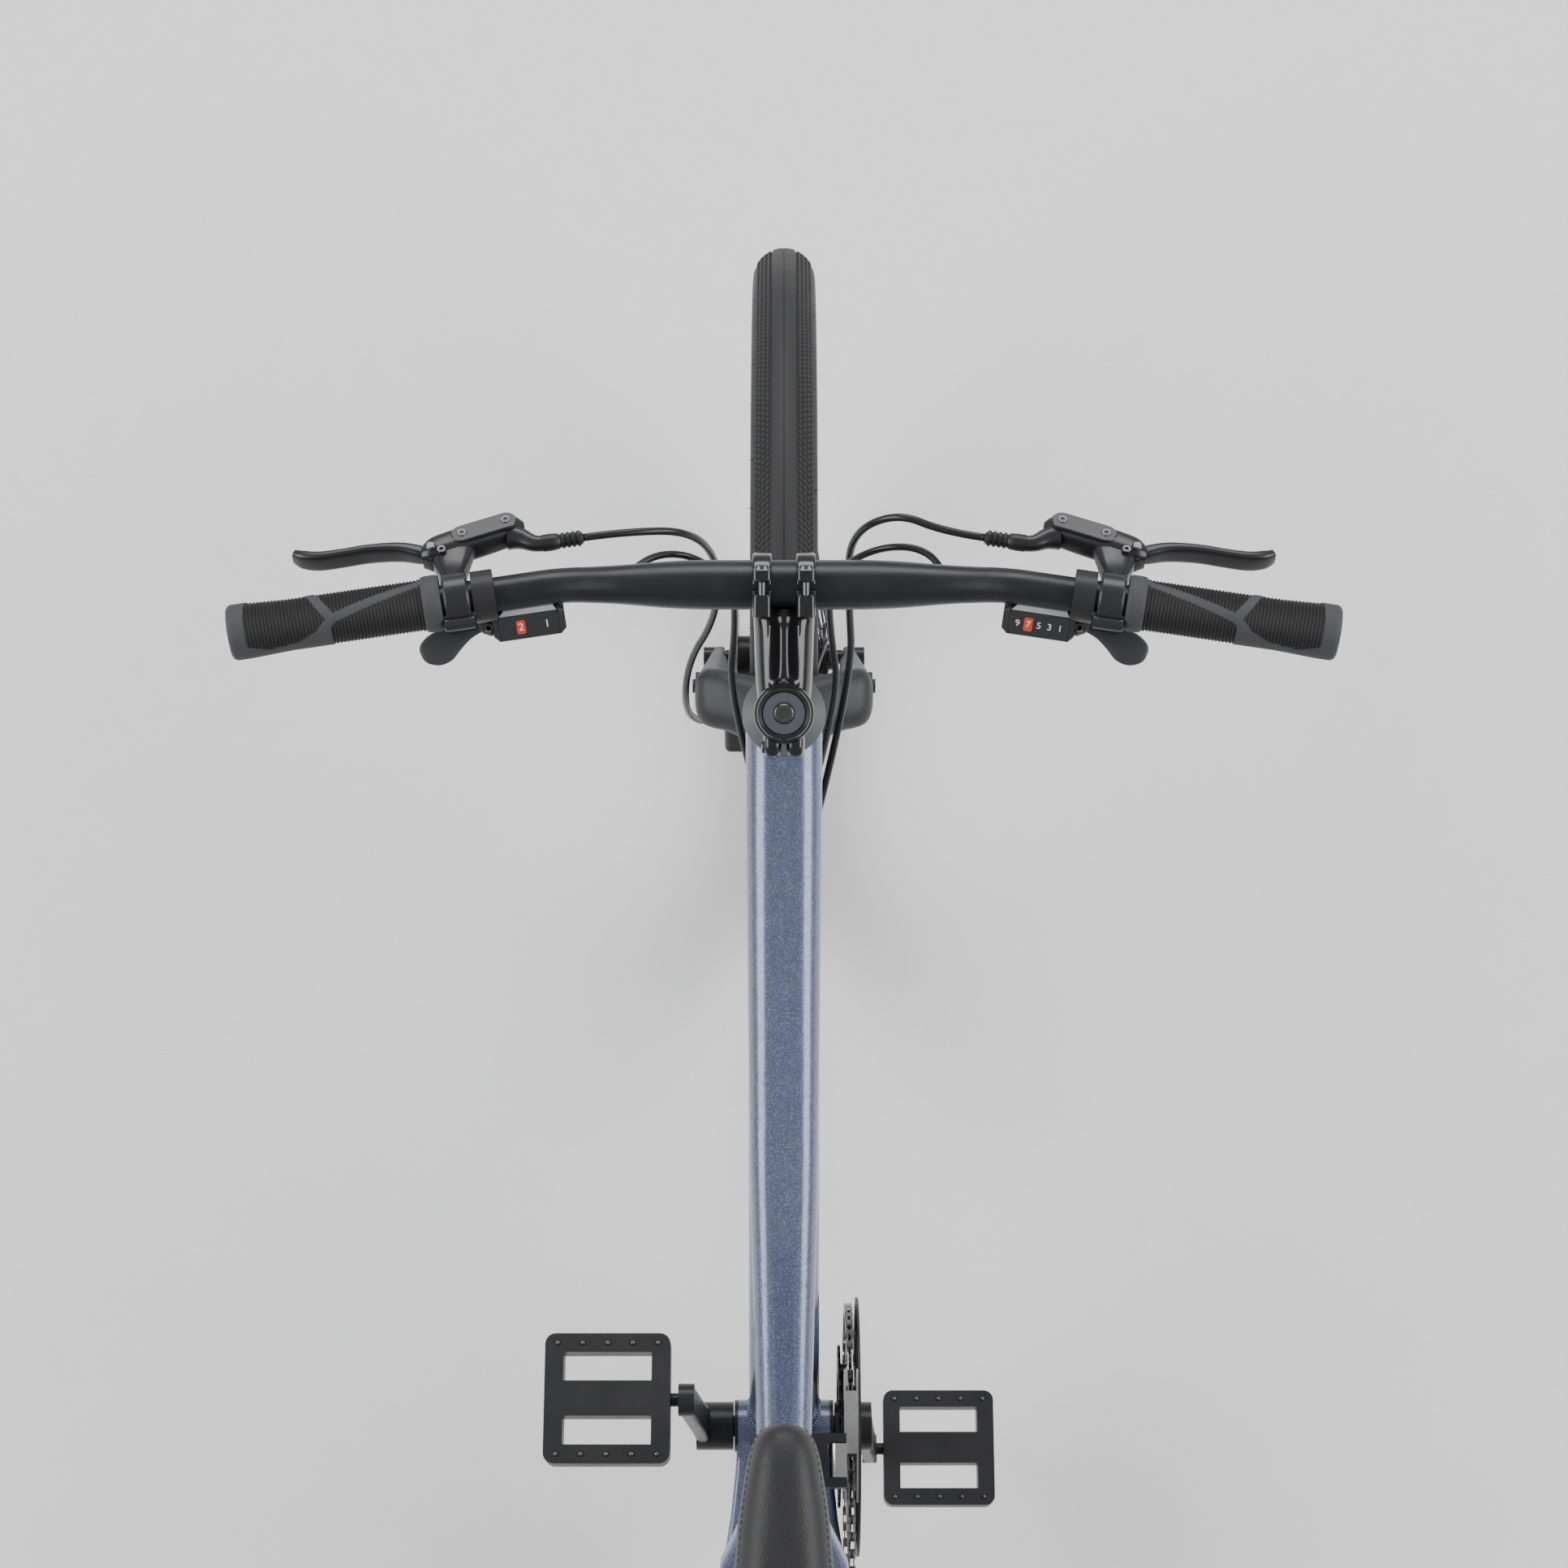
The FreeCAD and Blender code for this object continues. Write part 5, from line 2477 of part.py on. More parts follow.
upward = Vector(-down_run.z, 0, down_run.x)
if upward.z < 0:
    upward = -upward
bosses = []
boss_axes = []
for reach_up in (d.boss_above_bb, d.boss_above_bb + d.boss_pitch):
    centre = bb - down_run * reach_up
    depth = d.down_tube_head_height
    stick = Part.makeCylinder(d.boss_diameter / 2, depth, centre, upward)
    surface = max(stick.cut(down_outside).Solids, key=lambda solid: solid.BoundBox.ZMax)
    base = depth - surface.Volume / (math.pi * d.boss_diameter ** 2 / 4)
    seat_point = centre + upward * base
    short = Part.makeCylinder(
        d.boss_diameter / 2, d.boss_height * 2, seat_point - upward * d.boss_height, upward,
    )
    short = max(short.cut(down_outside).Solids, key=lambda solid: solid.BoundBox.ZMax)
    bosses.append(
        short.cut(
            Part.makeCylinder(d.boss_hole / 2, d.boss_height * 3, seat_point - upward * d.boss_height, upward)
        )
    )
    boss_axes.append(seat_point)
feature("bottle_bosses", Part.makeCompound(bosses))

# Cable tails at the rear: brake hose to the caliper and gear cable to the derailleur

stay_exit = on_stay(bb, rear_axle, 0.66, chainstay_stations[3][0].y)
exit_top = Vector(stay_exit.x, stay_exit.y, stay_exit.z + d.chainstay_front_height / 4)
tail = hose(
    [rear_port, rear_port + rear_port_dir * d.caliper_round * 2,
     Vector(
         (rear_port.x + exit_top.x) / 2, (rear_port.y + exit_top.y) / 2, rear_port.z + d.caliper_round * 3,
     ),
     exit_top + Vector(d.caliper_length / 4, 0, d.caliper_length), exit_top],
    d.hose_diameter,
)
tail = largest(tail.cut(left_chainstay.Shape))
gear_exit = on_stay(bb, rear_axle, 0.86, -dropout_middle)
gear_entry = Vector(guide.x, lower_low + d.knuckle_length / 2, guide.z) + Vector(-knuckle_r, 0, 0)
loop = d.knuckle_diameter
gear_tail = hose(
    [Vector(gear_exit.x, -dropout_middle - d.chainstay_end_width / 4, gear_exit.z),
     Vector(gear_exit.x - loop / 2, -dropout_middle - d.chainstay_end_width, gear_exit.z + loop * 0.1),
     Vector(rear_axle.x - loop * 0.5, -dropout_middle - d.skewer_nut_length - loop * 0.6, rear_axle.z + loop),
     Vector(rear_axle.x - 3 * loop, -dropout_middle - loop * 0.6, rear_axle.z),
     Vector(rear_axle.x - 2.4 * loop, gear_entry.y, gear_entry.z), gear_entry],
    d.cable_diameter,
)
gear_tail = largest(
    gear_tail.cut(right_chainstay.Shape).cut(
        nodes[[item.Label for item in nodes].index("rear_derailleur")].Shape
    )
)
feature("rear_cable_tails", Part.makeCompound([tail, gear_tail]))

# Checks and export

doc.recompute()
for made in doc.Objects:
    if "Invalid" in made.State or "Error" in made.State:
        raise RuntimeError(f"{made.Name} did not recompute: {made.State}")
os.makedirs("parts", exist_ok=True)
for made in nodes:
    if made.Shape.isNull() or not made.Shape.isValid():
        raise RuntimeError(f"{made.Label} has no valid shape")
    made.Shape.exportStep(f"parts/{made.Label}.step")
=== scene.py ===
import math
import bmesh
import bpy
from mathutils import Matrix, Vector


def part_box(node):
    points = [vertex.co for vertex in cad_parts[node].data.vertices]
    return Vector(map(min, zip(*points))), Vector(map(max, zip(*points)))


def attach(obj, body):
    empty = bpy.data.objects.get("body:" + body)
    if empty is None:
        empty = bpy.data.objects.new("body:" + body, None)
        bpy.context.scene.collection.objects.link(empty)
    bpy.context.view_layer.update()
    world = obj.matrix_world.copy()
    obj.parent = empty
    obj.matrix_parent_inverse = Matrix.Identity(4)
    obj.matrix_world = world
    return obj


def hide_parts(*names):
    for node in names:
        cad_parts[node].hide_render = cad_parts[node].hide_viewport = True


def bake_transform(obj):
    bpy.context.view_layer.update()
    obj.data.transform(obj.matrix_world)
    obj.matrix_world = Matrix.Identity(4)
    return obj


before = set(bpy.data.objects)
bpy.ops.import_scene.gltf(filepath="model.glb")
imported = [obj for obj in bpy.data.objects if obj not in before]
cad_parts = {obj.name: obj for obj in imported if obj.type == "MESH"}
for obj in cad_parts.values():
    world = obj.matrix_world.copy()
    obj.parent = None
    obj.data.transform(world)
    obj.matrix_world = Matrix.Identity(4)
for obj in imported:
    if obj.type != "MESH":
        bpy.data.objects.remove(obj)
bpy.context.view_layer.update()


# Studio. A pale seamless floor between three large soft panels, one at each side of the bike and one ahead.
# The camera hangs on the steering axis above the bar, where the rider's eyes are.
def node(tree, kind, inputs=(), **settings):
    made = tree.nodes.new(kind)
    for name, value in settings.items():
        setattr(made, name, value)
    for name, value in dict(inputs).items():
        made.inputs[name].default_value = value
    return made


def wire(source, output, target, entry):
    source.id_data.links.new(source.outputs[output], target.inputs[entry])


def make_grain():
    tree = bpy.data.node_groups.new("surface_grain", "ShaderNodeTree")
    for label, kind in (("Vector", "Vector"), ("Scale", "Float"), ("Light", "Color"), ("Dark", "Color"),
                        ("Smooth", "Float"), ("Rough", "Float")):
        tree.interface.new_socket(label, in_out="INPUT", socket_type="NodeSocket" + kind)
    for label, kind in (("Color", "Color"), ("Roughness", "Float"), ("Height", "Float")):
        tree.interface.new_socket(label, in_out="OUTPUT", socket_type="NodeSocket" + kind)
    given = node(tree, "NodeGroupInput")
    result = node(tree, "NodeGroupOutput")
    fine = node(tree, "ShaderNodeTexNoise", {"Detail": 4})
    slow = node(tree, "ShaderNodeMath", {1: 0.03}, operation="MULTIPLY")
    broad = node(tree, "ShaderNodeTexNoise", {"Detail": 3})
    both = node(tree, "ShaderNodeMath", {1: 0.5}, operation="MULTIPLY_ADD")
    half = node(tree, "ShaderNodeMath", {1: 0.5}, operation="MULTIPLY")
    tint = node(tree, "ShaderNodeMix", data_type="RGBA")
    polish = node(tree, "ShaderNodeMapRange", {"From Min": 0.3, "From Max": 0.7})
    wire(given, "Vector", fine, "Vector")
    wire(given, "Scale", fine, "Scale")
    wire(given, "Scale", slow, 0)
    wire(given, "Vector", broad, "Vector")
    wire(slow, 0, broad, "Scale")
    wire(fine, "Fac", half, 0)
    wire(broad, "Fac", both, 0)
    wire(half, 0, both, 2)
    wire(both, 0, tint, "Factor")
    wire(given, "Dark", tint, 6)
    wire(given, "Light", tint, 7)
    wire(both, 0, polish, "Value")
    wire(given, "Smooth", polish, "To Min")
    wire(given, "Rough", polish, "To Max")
    wire(tint, 2, result, "Color")
    wire(polish, "Result", result, "Roughness")
    wire(fine, "Fac", result, "Height")
    return tree


surface_grain = make_grain()


def finish(name, light, dark, scale, smooth, rough, bump=0.1, metallic=0.0, coat=0.0, stretch=(1, 1, 1)):
    made = bpy.data.materials.new(name)
    made.use_nodes = True
    tree = made.node_tree
    shader = tree.nodes["Principled BSDF"]
    place = node(tree, "ShaderNodeTexCoord")
    turn = node(tree, "ShaderNodeMapping", {"Scale": stretch})
    grain = node(tree, "ShaderNodeGroup", {"Scale": scale, "Light": (*light, 1), "Dark": (*dark, 1),
                                           "Smooth": smooth, "Rough": rough}, node_tree=surface_grain)
    relief = node(tree, "ShaderNodeBump", {"Strength": bump, "Distance": 0.0004})
    wire(place, "Object", turn, "Vector")
    wire(turn, "Vector", grain, "Vector")
    wire(grain, "Color", shader, "Base Color")
    wire(grain, "Roughness", shader, "Roughness")
    wire(grain, "Height", relief, "Height")
    wire(relief, "Normal", shader, "Normal")
    shader.inputs["Metallic"].default_value = metallic
    shader.inputs["Coat Weight"].default_value = coat
    shader.inputs["Coat Roughness"].default_value = 0.08
    shader.inputs["Specular IOR Level"].default_value = 0.5 if metallic or coat else 0.32
    return made


def show(name, data):
    made = bpy.data.objects.new(name, data)
    bpy.context.scene.collection.objects.link(made)
    return made


floor_half = 9
floor_corners = [(x * floor_half, y * floor_half, 0) for x, y in ((-1, -1), (1, -1), (1, 1), (-1, 1))]
floor_mesh = bpy.data.meshes.new("pale_floor")
floor_mesh.from_pydata(floor_corners, [], [(0, 1, 2, 3)])
floor_mesh.materials.append(finish("pale_floor", (0.74, 0.74, 0.73), (0.68, 0.68, 0.68), 30, 0.6, 0.75, 0.02))
show("pale_floor", floor_mesh)

steering = Matrix(((0.942641, 0, -0.333807, 352.145), (0, 1, 0, 0), (0.333807, 0, 0.942641, 717.395),
                   (0, 0, 0, 1)))
eye_height = 2189
lens_pitch = math.radians(1.318)
camera = bpy.data.cameras.new("rider_eye")
camera.sensor_width = 36
camera.lens = 70.4
camera.clip_end = 40
eye = show("rider_eye", camera)
axis_up = steering.col[2].xyz
axis_ahead = steering.col[0].xyz
sight = -axis_up * math.cos(lens_pitch) - axis_ahead * math.sin(lens_pitch)
image_up = axis_ahead * math.cos(lens_pitch) - axis_up * math.sin(lens_pitch)
image_right = sight.cross(image_up)
eye.matrix_world = Matrix.Translation(steering @ Vector((0, 0, eye_height)) / 1000) @ Matrix(
    (image_right, image_up, -sight)).transposed().to_4x4()
bpy.context.scene.camera = eye

for name, spot, aim, width, height, power in (
        ("left_panel", (-0.1, 3.0, 2.7), (0, 0, 0.5), 3.8, 2.2, 165),
        ("right_panel", (-0.1, -3.0, 2.7), (0, 0, 0.5), 3.8, 2.2, 165),
        ("front_panel", (3.3, 0, 2.9), (0.3, 0, 0.5), 2.6, 1.6, 90)):
    lamp = bpy.data.lights.new(name, "AREA")
    lamp.shape = "RECTANGLE"
    lamp.size = width
    lamp.size_y = height
    lamp.energy = power
    stand = show(name, lamp)
    stand.location = spot
    stand.rotation_euler = (Vector(aim) - Vector(spot)).to_track_quat("-Z", "Y").to_euler()
sky = bpy.data.worlds.new("studio_walls")
sky.use_nodes = True
sky.node_tree.nodes["Background"].inputs["Color"].default_value = (0.9, 0.92, 0.95, 1)
sky.node_tree.nodes["Background"].inputs["Strength"].default_value = 0.5
bpy.context.scene.world = sky


# Frame. Hydroformed aluminium tubes, welded and coated in slate-blue metallic paint under a clear lacquer.
# The dropouts, bearings and bottle bosses are separate pieces fixed to it.
def dress(finish_used, *names):
    for name in names:
        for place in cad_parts[name].material_slots:
            place.material = finish_used


def make_flake_paint():
    made = finish("slate_flake_paint", (0.105, 0.122, 0.2), (0.075, 0.088, 0.15), 60, 0.26, 0.36, 0.03,
                  metallic=0.45, coat=0.7)
    tree = made.node_tree
    # Real metal flakes in the paint, with a painted glint: the brighter flake cells add a pale blue-grey to
    # the base colour.
    flakes = node(tree, "ShaderNodeTexVoronoi", {"Scale": 1700})
    painted_flake_glint = node(tree, "ShaderNodeValToRGB")
    painted_flake_glint.color_ramp.elements[0].position = 0.55
    painted_flake_glint.color_ramp.elements[0].color = (0, 0, 0, 1)
    painted_flake_glint.color_ramp.elements[1].position = 1.0
    painted_flake_glint.color_ramp.elements[1].color = (0.16, 0.18, 0.24, 1)
    paint_with_painted_glint = node(tree, "ShaderNodeMix", {"Factor": 1.0}, data_type="RGBA", blend_type="ADD")
    wire(tree.nodes["Texture Coordinate"], "Object", flakes, "Vector")
    wire(flakes, "Color", painted_flake_glint, "Fac")
    wire(tree.nodes["Group"], "Color", paint_with_painted_glint, 6)
    wire(painted_flake_glint, "Color", paint_with_painted_glint, 7)
    wire(paint_with_painted_glint, 2, tree.nodes["Principled BSDF"], "Base Color")
    return made


flake_paint = make_flake_paint()
satin_black = finish("satin_black_alloy", (0.018, 0.018, 0.02), (0.01, 0.01, 0.011), 1500, 0.3, 0.42, 0.12,
                     metallic=0.35)
bare_steel = finish("bare_steel", (0.6, 0.59, 0.57), (0.42, 0.41, 0.4), 700, 0.2, 0.36, 0.04,
                    metallic=1.0, stretch=(1, 1, 6))
dress(flake_paint, "head_tube", "top_tube", "down_tube", "seat_tube", "rear_stays", "rear_dropouts")
dress(satin_black, "frame_bearings", "bottle_bosses", "seat_collar")


# Welds. A bead of overlapping ripples runs round each tube where it meets the next; it is laid by hand and
# painted with the frame.
def make_beads():
    tree = bpy.data.node_groups.new("beads_on_path", "GeometryNodeTree")
    face = tree.interface
    face.new_socket("Path", in_out="INPUT", socket_type="NodeSocketGeometry")
    for label, kind in (("Spacing", "Float"), ("Size", "Vector"), ("Finish", "Material")):
        face.new_socket(label, in_out="INPUT", socket_type="NodeSocket" + kind)
    face.new_socket("Beads", in_out="OUTPUT", socket_type="NodeSocketGeometry")
    given = node(tree, "NodeGroupInput")
    result = node(tree, "NodeGroupOutput")
    line = node(tree, "GeometryNodeMeshToCurve")
    even = node(tree, "GeometryNodeResampleCurve", mode="LENGTH")
    bead = node(tree, "GeometryNodeMeshIcoSphere", {"Radius": 0.5, "Subdivisions": 2})
    run = node(tree, "GeometryNodeInputTangent")
    turn = node(tree, "FunctionNodeAlignRotationToVector", axis="Z")
    laid = node(tree, "GeometryNodeInstanceOnPoints")
    whole = node(tree, "GeometryNodeRealizeInstances")
    coat = node(tree, "GeometryNodeSetMaterial")
    wire(given, "Path", line, "Mesh")
    wire(line, "Curve", even, "Curve")
    wire(given, "Spacing", even, "Length")
    wire(even, "Curve", laid, "Points")
    wire(bead, "Mesh", laid, "Instance")
    wire(run, "Tangent", turn, "Vector")
    wire(turn, "Rotation", laid, "Rotation")
    wire(given, "Size", laid, "Scale")
    wire(laid, "Instances", whole, "Geometry")
    wire(whole, "Geometry", coat, "Geometry")
    wire(given, "Finish", coat, "Material")
    wire(coat, "Geometry", result, "Beads")
    return tree


def grown(name, mesh, tree, values, body):
    holder = show(name + "_base", mesh)
    grow = holder.modifiers.new("grow", "NODES")
    grow.node_group = tree
    for socket in tree.interface.items_tree:
        if socket.in_out == "INPUT" and socket.name in values:
            grow[socket.identifier] = values[socket.name]
    bpy.context.view_layer.update()
    made = bpy.data.meshes.new_from_object(holder.evaluated_get(bpy.context.evaluated_depsgraph_get()))
    bpy.data.objects.remove(holder)
    made.name = name
    for face in made.polygons:
        face.use_smooth = True
    result = show(name, made)
    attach(result, body)
    return result


def path_mesh(name, lines, closed=True):
    points = []
    edges = []
    for line in lines:
        first = len(points)
        points += [point / 1000 for point in line]
        edge_count = len(line) if closed else len(line) - 1
        edges += [(first + index, first + (index + 1) % len(line)) for index in range(edge_count)]
    made = bpy.data.meshes.new(name)
    made.from_pydata(points, edges, [])
    return made


def ring(place, width, height, power=2.4, count=32):
    points = []
    for step in range(count):
        across = math.cos(2 * math.pi * step / count)
        up = math.sin(2 * math.pi * step / count)
        points.append(place @ Vector((math.copysign(abs(across) ** (2 / power), across) * width / 2,
                                      math.copysign(abs(up) ** (2 / power), up) * height / 2, 0)))
    return points


def facing(spot, run, side):
    run = Vector(run).normalized()
    side = (Vector(side) - run * Vector(side).dot(run)).normalized()
    return Matrix.Translation(Vector(spot)) @ Matrix((side, run.cross(side), run)).transposed().to_4x4()


# Each point of the tube's outline runs along the tube until it meets the round tube that it is welded to.
def joint_loop(start, run, width, height, power, base, axis, radius):
    loop = []
    run = Vector(run).normalized()
    axis = Vector(axis)
    flat = run - axis * run.dot(axis)
    for point in ring(facing(start, run, (0, 1, 0)), width, height, power, count=60):
        off = point - Vector(base)
        off -= axis * off.dot(axis)
        a, b, c = flat.dot(flat), 2 * flat.dot(off), off.dot(off) - radius ** 2
        reach = max(b * b - 4 * a * c, 0) ** 0.5
        loop.append(point + run * (-b + reach) / (2 * a))
    return loop


seat_axis = Vector((-0.284015, 0, 0.95882))
bracket = Vector((-100.11, 0, 282))
weld_loops = [
    joint_loop((306.6, 0, 846.1), (-0.939, 0, -0.343), 51, 44, 3.4, steering.translation, axis_up, 26),
    joint_loop((335.3, 0, 765), (-0.6696, 0, -0.7428), 50, 52, 3.2, steering.translation, axis_up, 25),
    joint_loop((-211.2, 0, 656.9), (0.939, 0, 0.343), 35, 31, 3.2, bracket, seat_axis, 18),
    joint_loop((-100.1, 0, 282), (0.6696, 0, 0.7428), 55.5, 40, 3.2, bracket, (0, 1, 0), 21.5),
    joint_loop((-100.1, 0, 282), seat_axis, 35, 35, 2, bracket, (0, 1, 0), 21),
]
beads_on_path = make_beads()
grown("weld_beads", path_mesh("weld_paths", weld_loops), beads_on_path,
      {"Spacing": 0.0021, "Size": (0.0042, 0.0042, 0.003), "Finish": flake_paint}, "frame")


# Fork. Matte dark-grey aluminium: a forged crown with wide shoulders, and two bowed blades that end in flat
# fork ends, with threaded bosses on their outer faces.
def skin(rings, capped=True):
    count = len(rings[0])
    points = [point for one in rings for point in one]
    faces = []
    for row in range(len(rings) - 1):
        for step in range(count):
            here = row * count + step
            after = row * count + (step + 1) % count
            faces.append((here, after, after + count, here + count))
    if capped:
        faces.append(tuple(reversed(range(count))))
        faces.append(tuple(range(len(points) - count, len(points))))
    return points, faces


def fair(rows, steps):
    smooth = []
    for index in range(len(rows) - 1):
        before = rows[max(index - 1, 0)]
        here, after = rows[index], rows[index + 1]
        beyond = rows[min(index + 2, len(rows) - 1)]
        for step in range(steps):
            t = step / steps
            smooth.append([0.5 * (2 * q + (r - p) * t + (2 * p - 5 * q + 4 * r - s) * t * t
                                  + (3 * q - p - 3 * r + s) * t ** 3)
                           for p, q, r, s in zip(before, here, after, beyond)])
    return smooth + [list(rows[-1])]


def both_ways(half_rows):
    return [(-row[0], *row[1:]) for row in reversed(half_rows[1:])] + half_rows


def piece(name, shape, finishes, body, replaced=(), picks=None, crease=35):
    made = bpy.data.meshes.new(name)
    made.from_pydata([Vector(point) / 1000 for point in shape[0]], [], shape[1])
    for one in finishes if isinstance(finishes, tuple) else [finishes]:
        made.materials.append(one)
    if picks:
        made.polygons.foreach_set("material_index", picks)
    work = bmesh.new()
    work.from_mesh(made)
    bmesh.ops.recalc_face_normals(work, faces=work.faces)
    work.to_mesh(made)
    work.free()
    for face in made.polygons:
        face.use_smooth = True
    made.set_sharp_from_angle(angle=math.radians(crease))
    result = show(name, made)
    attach(result, body)
    if replaced:
        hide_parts(*replaced)
    return result


fork_coat = finish("matte_fork_coat", (0.027, 0.028, 0.031), (0.019, 0.02, 0.022), 900, 0.4, 0.52, 0.06)
dress(fork_coat, "fork_legs")
# Each row of the crown: place across, forward, drop, depth and height.
crown_half = [(0, 0.5, 21, 50, 42), (14, 1.8, 22, 48.6, 40.5), (28.5, 5, 24.4, 46, 36.6),
              (42, 9.4, 29, 44, 34.5), (50, 11, 32.6, 43.6, 33), (57, 12, 35.2, 41, 30.5),
              (61.4, 12.4, 36.8, 34, 25), (63.8, 12.6, 37.4, 22, 16), (64.6, 12.6, 37.6, 10, 8)]
crown_rings = []
for y, forward, drop, depth, height in fair(both_ways(crown_half), 5):
    station = steering @ Matrix(((1, 0, 0, forward), (0, 0, 1, y), (0, 1, 0, -drop), (0, 0, 0, 1)))
    crown_rings.append(ring(station, depth, height, power=2.5, count=48))
piece("fork_crown_shell", skin(crown_rings), fork_coat, "front_end", ["fork_crown"], crease=50)


# Wheels. Black anodised rims on bolted axles, each laced to a black hub with 32 steel spokes. A steel brake
# disc on the hub's left end runs in a black caliper, which is bolted to the fork or to the frame.
spoke_steel = finish("black_spoke_steel", (0.05, 0.05, 0.052), (0.03, 0.03, 0.032), 800, 0.22, 0.34, 0.05,
                     metallic=0.9)
for end in ("front", "rear"):
    dress(satin_black, end + "_rim", end + "_hub", end + "_axle", end + "_brake_caliper")
    dress(spoke_steel, end + "_spokes")
    dress(bare_steel, end + "_rotor")


# Tyres. Moulded black rubber: a slick middle with a fine centre line between two grooves, rows of small
# diamond knobs on both shoulders, and a few hairs left by the mould's vents.
tyre_rubber = finish("tyre_rubber", (0.026, 0.026, 0.027), (0.015, 0.015, 0.016), 500, 0.5, 0.7, 0.25)


def make_turned_copies():
    tree = bpy.data.node_groups.new("turned_copies", "GeometryNodeTree")
    face = tree.interface
    face.new_socket("Piece", in_out="INPUT", socket_type="NodeSocketGeometry")
    for label, kind in (("Count", "Int"), ("Axle", "Vector"), ("Finish", "Material")):
        face.new_socket(label, in_out="INPUT", socket_type="NodeSocket" + kind)
    face.new_socket("Copies", in_out="OUTPUT", socket_type="NodeSocketGeometry")
    given = node(tree, "NodeGroupInput")
    result = node(tree, "NodeGroupOutput")
    spots = node(tree, "GeometryNodePoints")
    index = node(tree, "GeometryNodeInputIndex")
    step = node(tree, "ShaderNodeMath", {0: 2 * math.pi}, operation="DIVIDE")
    angle = node(tree, "ShaderNodeMath", operation="MULTIPLY")
    about = node(tree, "ShaderNodeCombineXYZ")
    turn = node(tree, "FunctionNodeEulerToRotation")
    laid = node(tree, "GeometryNodeInstanceOnPoints")
    whole = node(tree, "GeometryNodeRealizeInstances")
    coat = node(tree, "GeometryNodeSetMaterial")
    wire(given, "Count", spots, "Count")
    wire(given, "Axle", spots, "Position")
    wire(given, "Count", step, 1)
    wire(index, 0, angle, 0)
    wire(step, 0, angle, 1)
    wire(angle, 0, about, "Y")
    wire(about, 0, turn, 0)
    wire(spots, 0, laid, "Points")
    wire(given, "Piece", laid, "Instance")
    wire(turn, 0, laid, "Rotation")
    wire(laid, "Instances", whole, "Geometry")
    wire(whole, "Geometry", coat, "Geometry")
    wire(given, "Finish", coat, "Material")
    wire(coat, "Geometry", result, "Copies")
    return tree


turned_copies = make_turned_copies()
axle_reach = 536
axle_height = 342
tyre_middle = 316
tyre_half = 26
tyre_steps = 240
line_half = 0.45
line_depth = 0.5
groove_from = 9.3
groove_to = 10.7
groove_depth = 1.4
knob_floor = 1.3
knob_root = 1.5
shoulder_from = 28.5
shoulder_slope = 0.2
sidewall_depth = 0.5
tread_rows = (13.2, 17.2, 21.4, 25.6)
knob_count = 430
knob_length = 5.6
knob_width = 4.4
knob_rise = 1.2
knob_taper = 0.72
hair_count = 22
hair_root = 1.0
hair_turn = 0.001
hair_half = 0.3
hair_lean = 0.4


def tread_depth(along):
    along = abs(along)
    if along < line_half:
        return line_depth
    if along < groove_from:
        return 0.0
    if along < groove_to:
        return groove_depth
    return max(sidewall_depth, knob_floor - max(0, along - shoulder_from) * shoulder_slope)


def on_tyre(along, depth):
    turn = along / tyre_half
    return tyre_middle + (tyre_half - depth) * math.cos(turn), (tyre_half - depth) * math.sin(turn)


def knob(row, side, turn):
    points = []
    faces = [(4, 5, 6, 7)] + [(a, (a + 1) % 4, (a + 1) % 4 + 4, a + 4) for a in range(4)]
    for depth, grow in ((knob_root, 1.0), (knob_floor - knob_rise, knob_taper)):
        for lengthwise, across in ((1, 0), (0, 1), (-1, 0), (0, -1)):
            radius, y = on_tyre(side * (row + across * knob_width / 2 * grow), depth)
            angle = turn + lengthwise * knob_length / 2 * grow / radius
            points.append(Vector((radius * math.cos(angle), y, radius * math.sin(angle))))
    return points, faces


def hair(side, turn, along, length):
    radius, y = on_tyre(side * along, hair_root)
    points = []
    for a, b in ((-1, 0), (0.5, 0.9), (0.5, -0.9)):
        angle = turn + a * hair_turn
        points.append(Vector((radius * math.cos(angle), y, radius * math.sin(angle) + b * hair_half)))
    tip = Vector((radius * math.cos(turn) + hair_lean, y + side * length, radius * math.sin(turn)))
    return points + [tip], [(0, 1, 3), (1, 2, 3), (2, 0, 3), (2, 1, 0)]


def joined(*shapes):
    points = []
    faces = []
    for more_points, more_faces in shapes:
        faces += [tuple(corner + len(points) for corner in face) for face in more_faces]
        points += more_points
    return points, faces


def copied_round(name, shape, count, axle, body):
    base = bpy.data.meshes.new(name + "_one")
    base.from_pydata([point / 1000 for point in shape[0]], [], shape[1])
    values = {"Count": count, "Axle": axle, "Finish": tyre_rubber}
    grown(name, base, turned_copies, values, body)


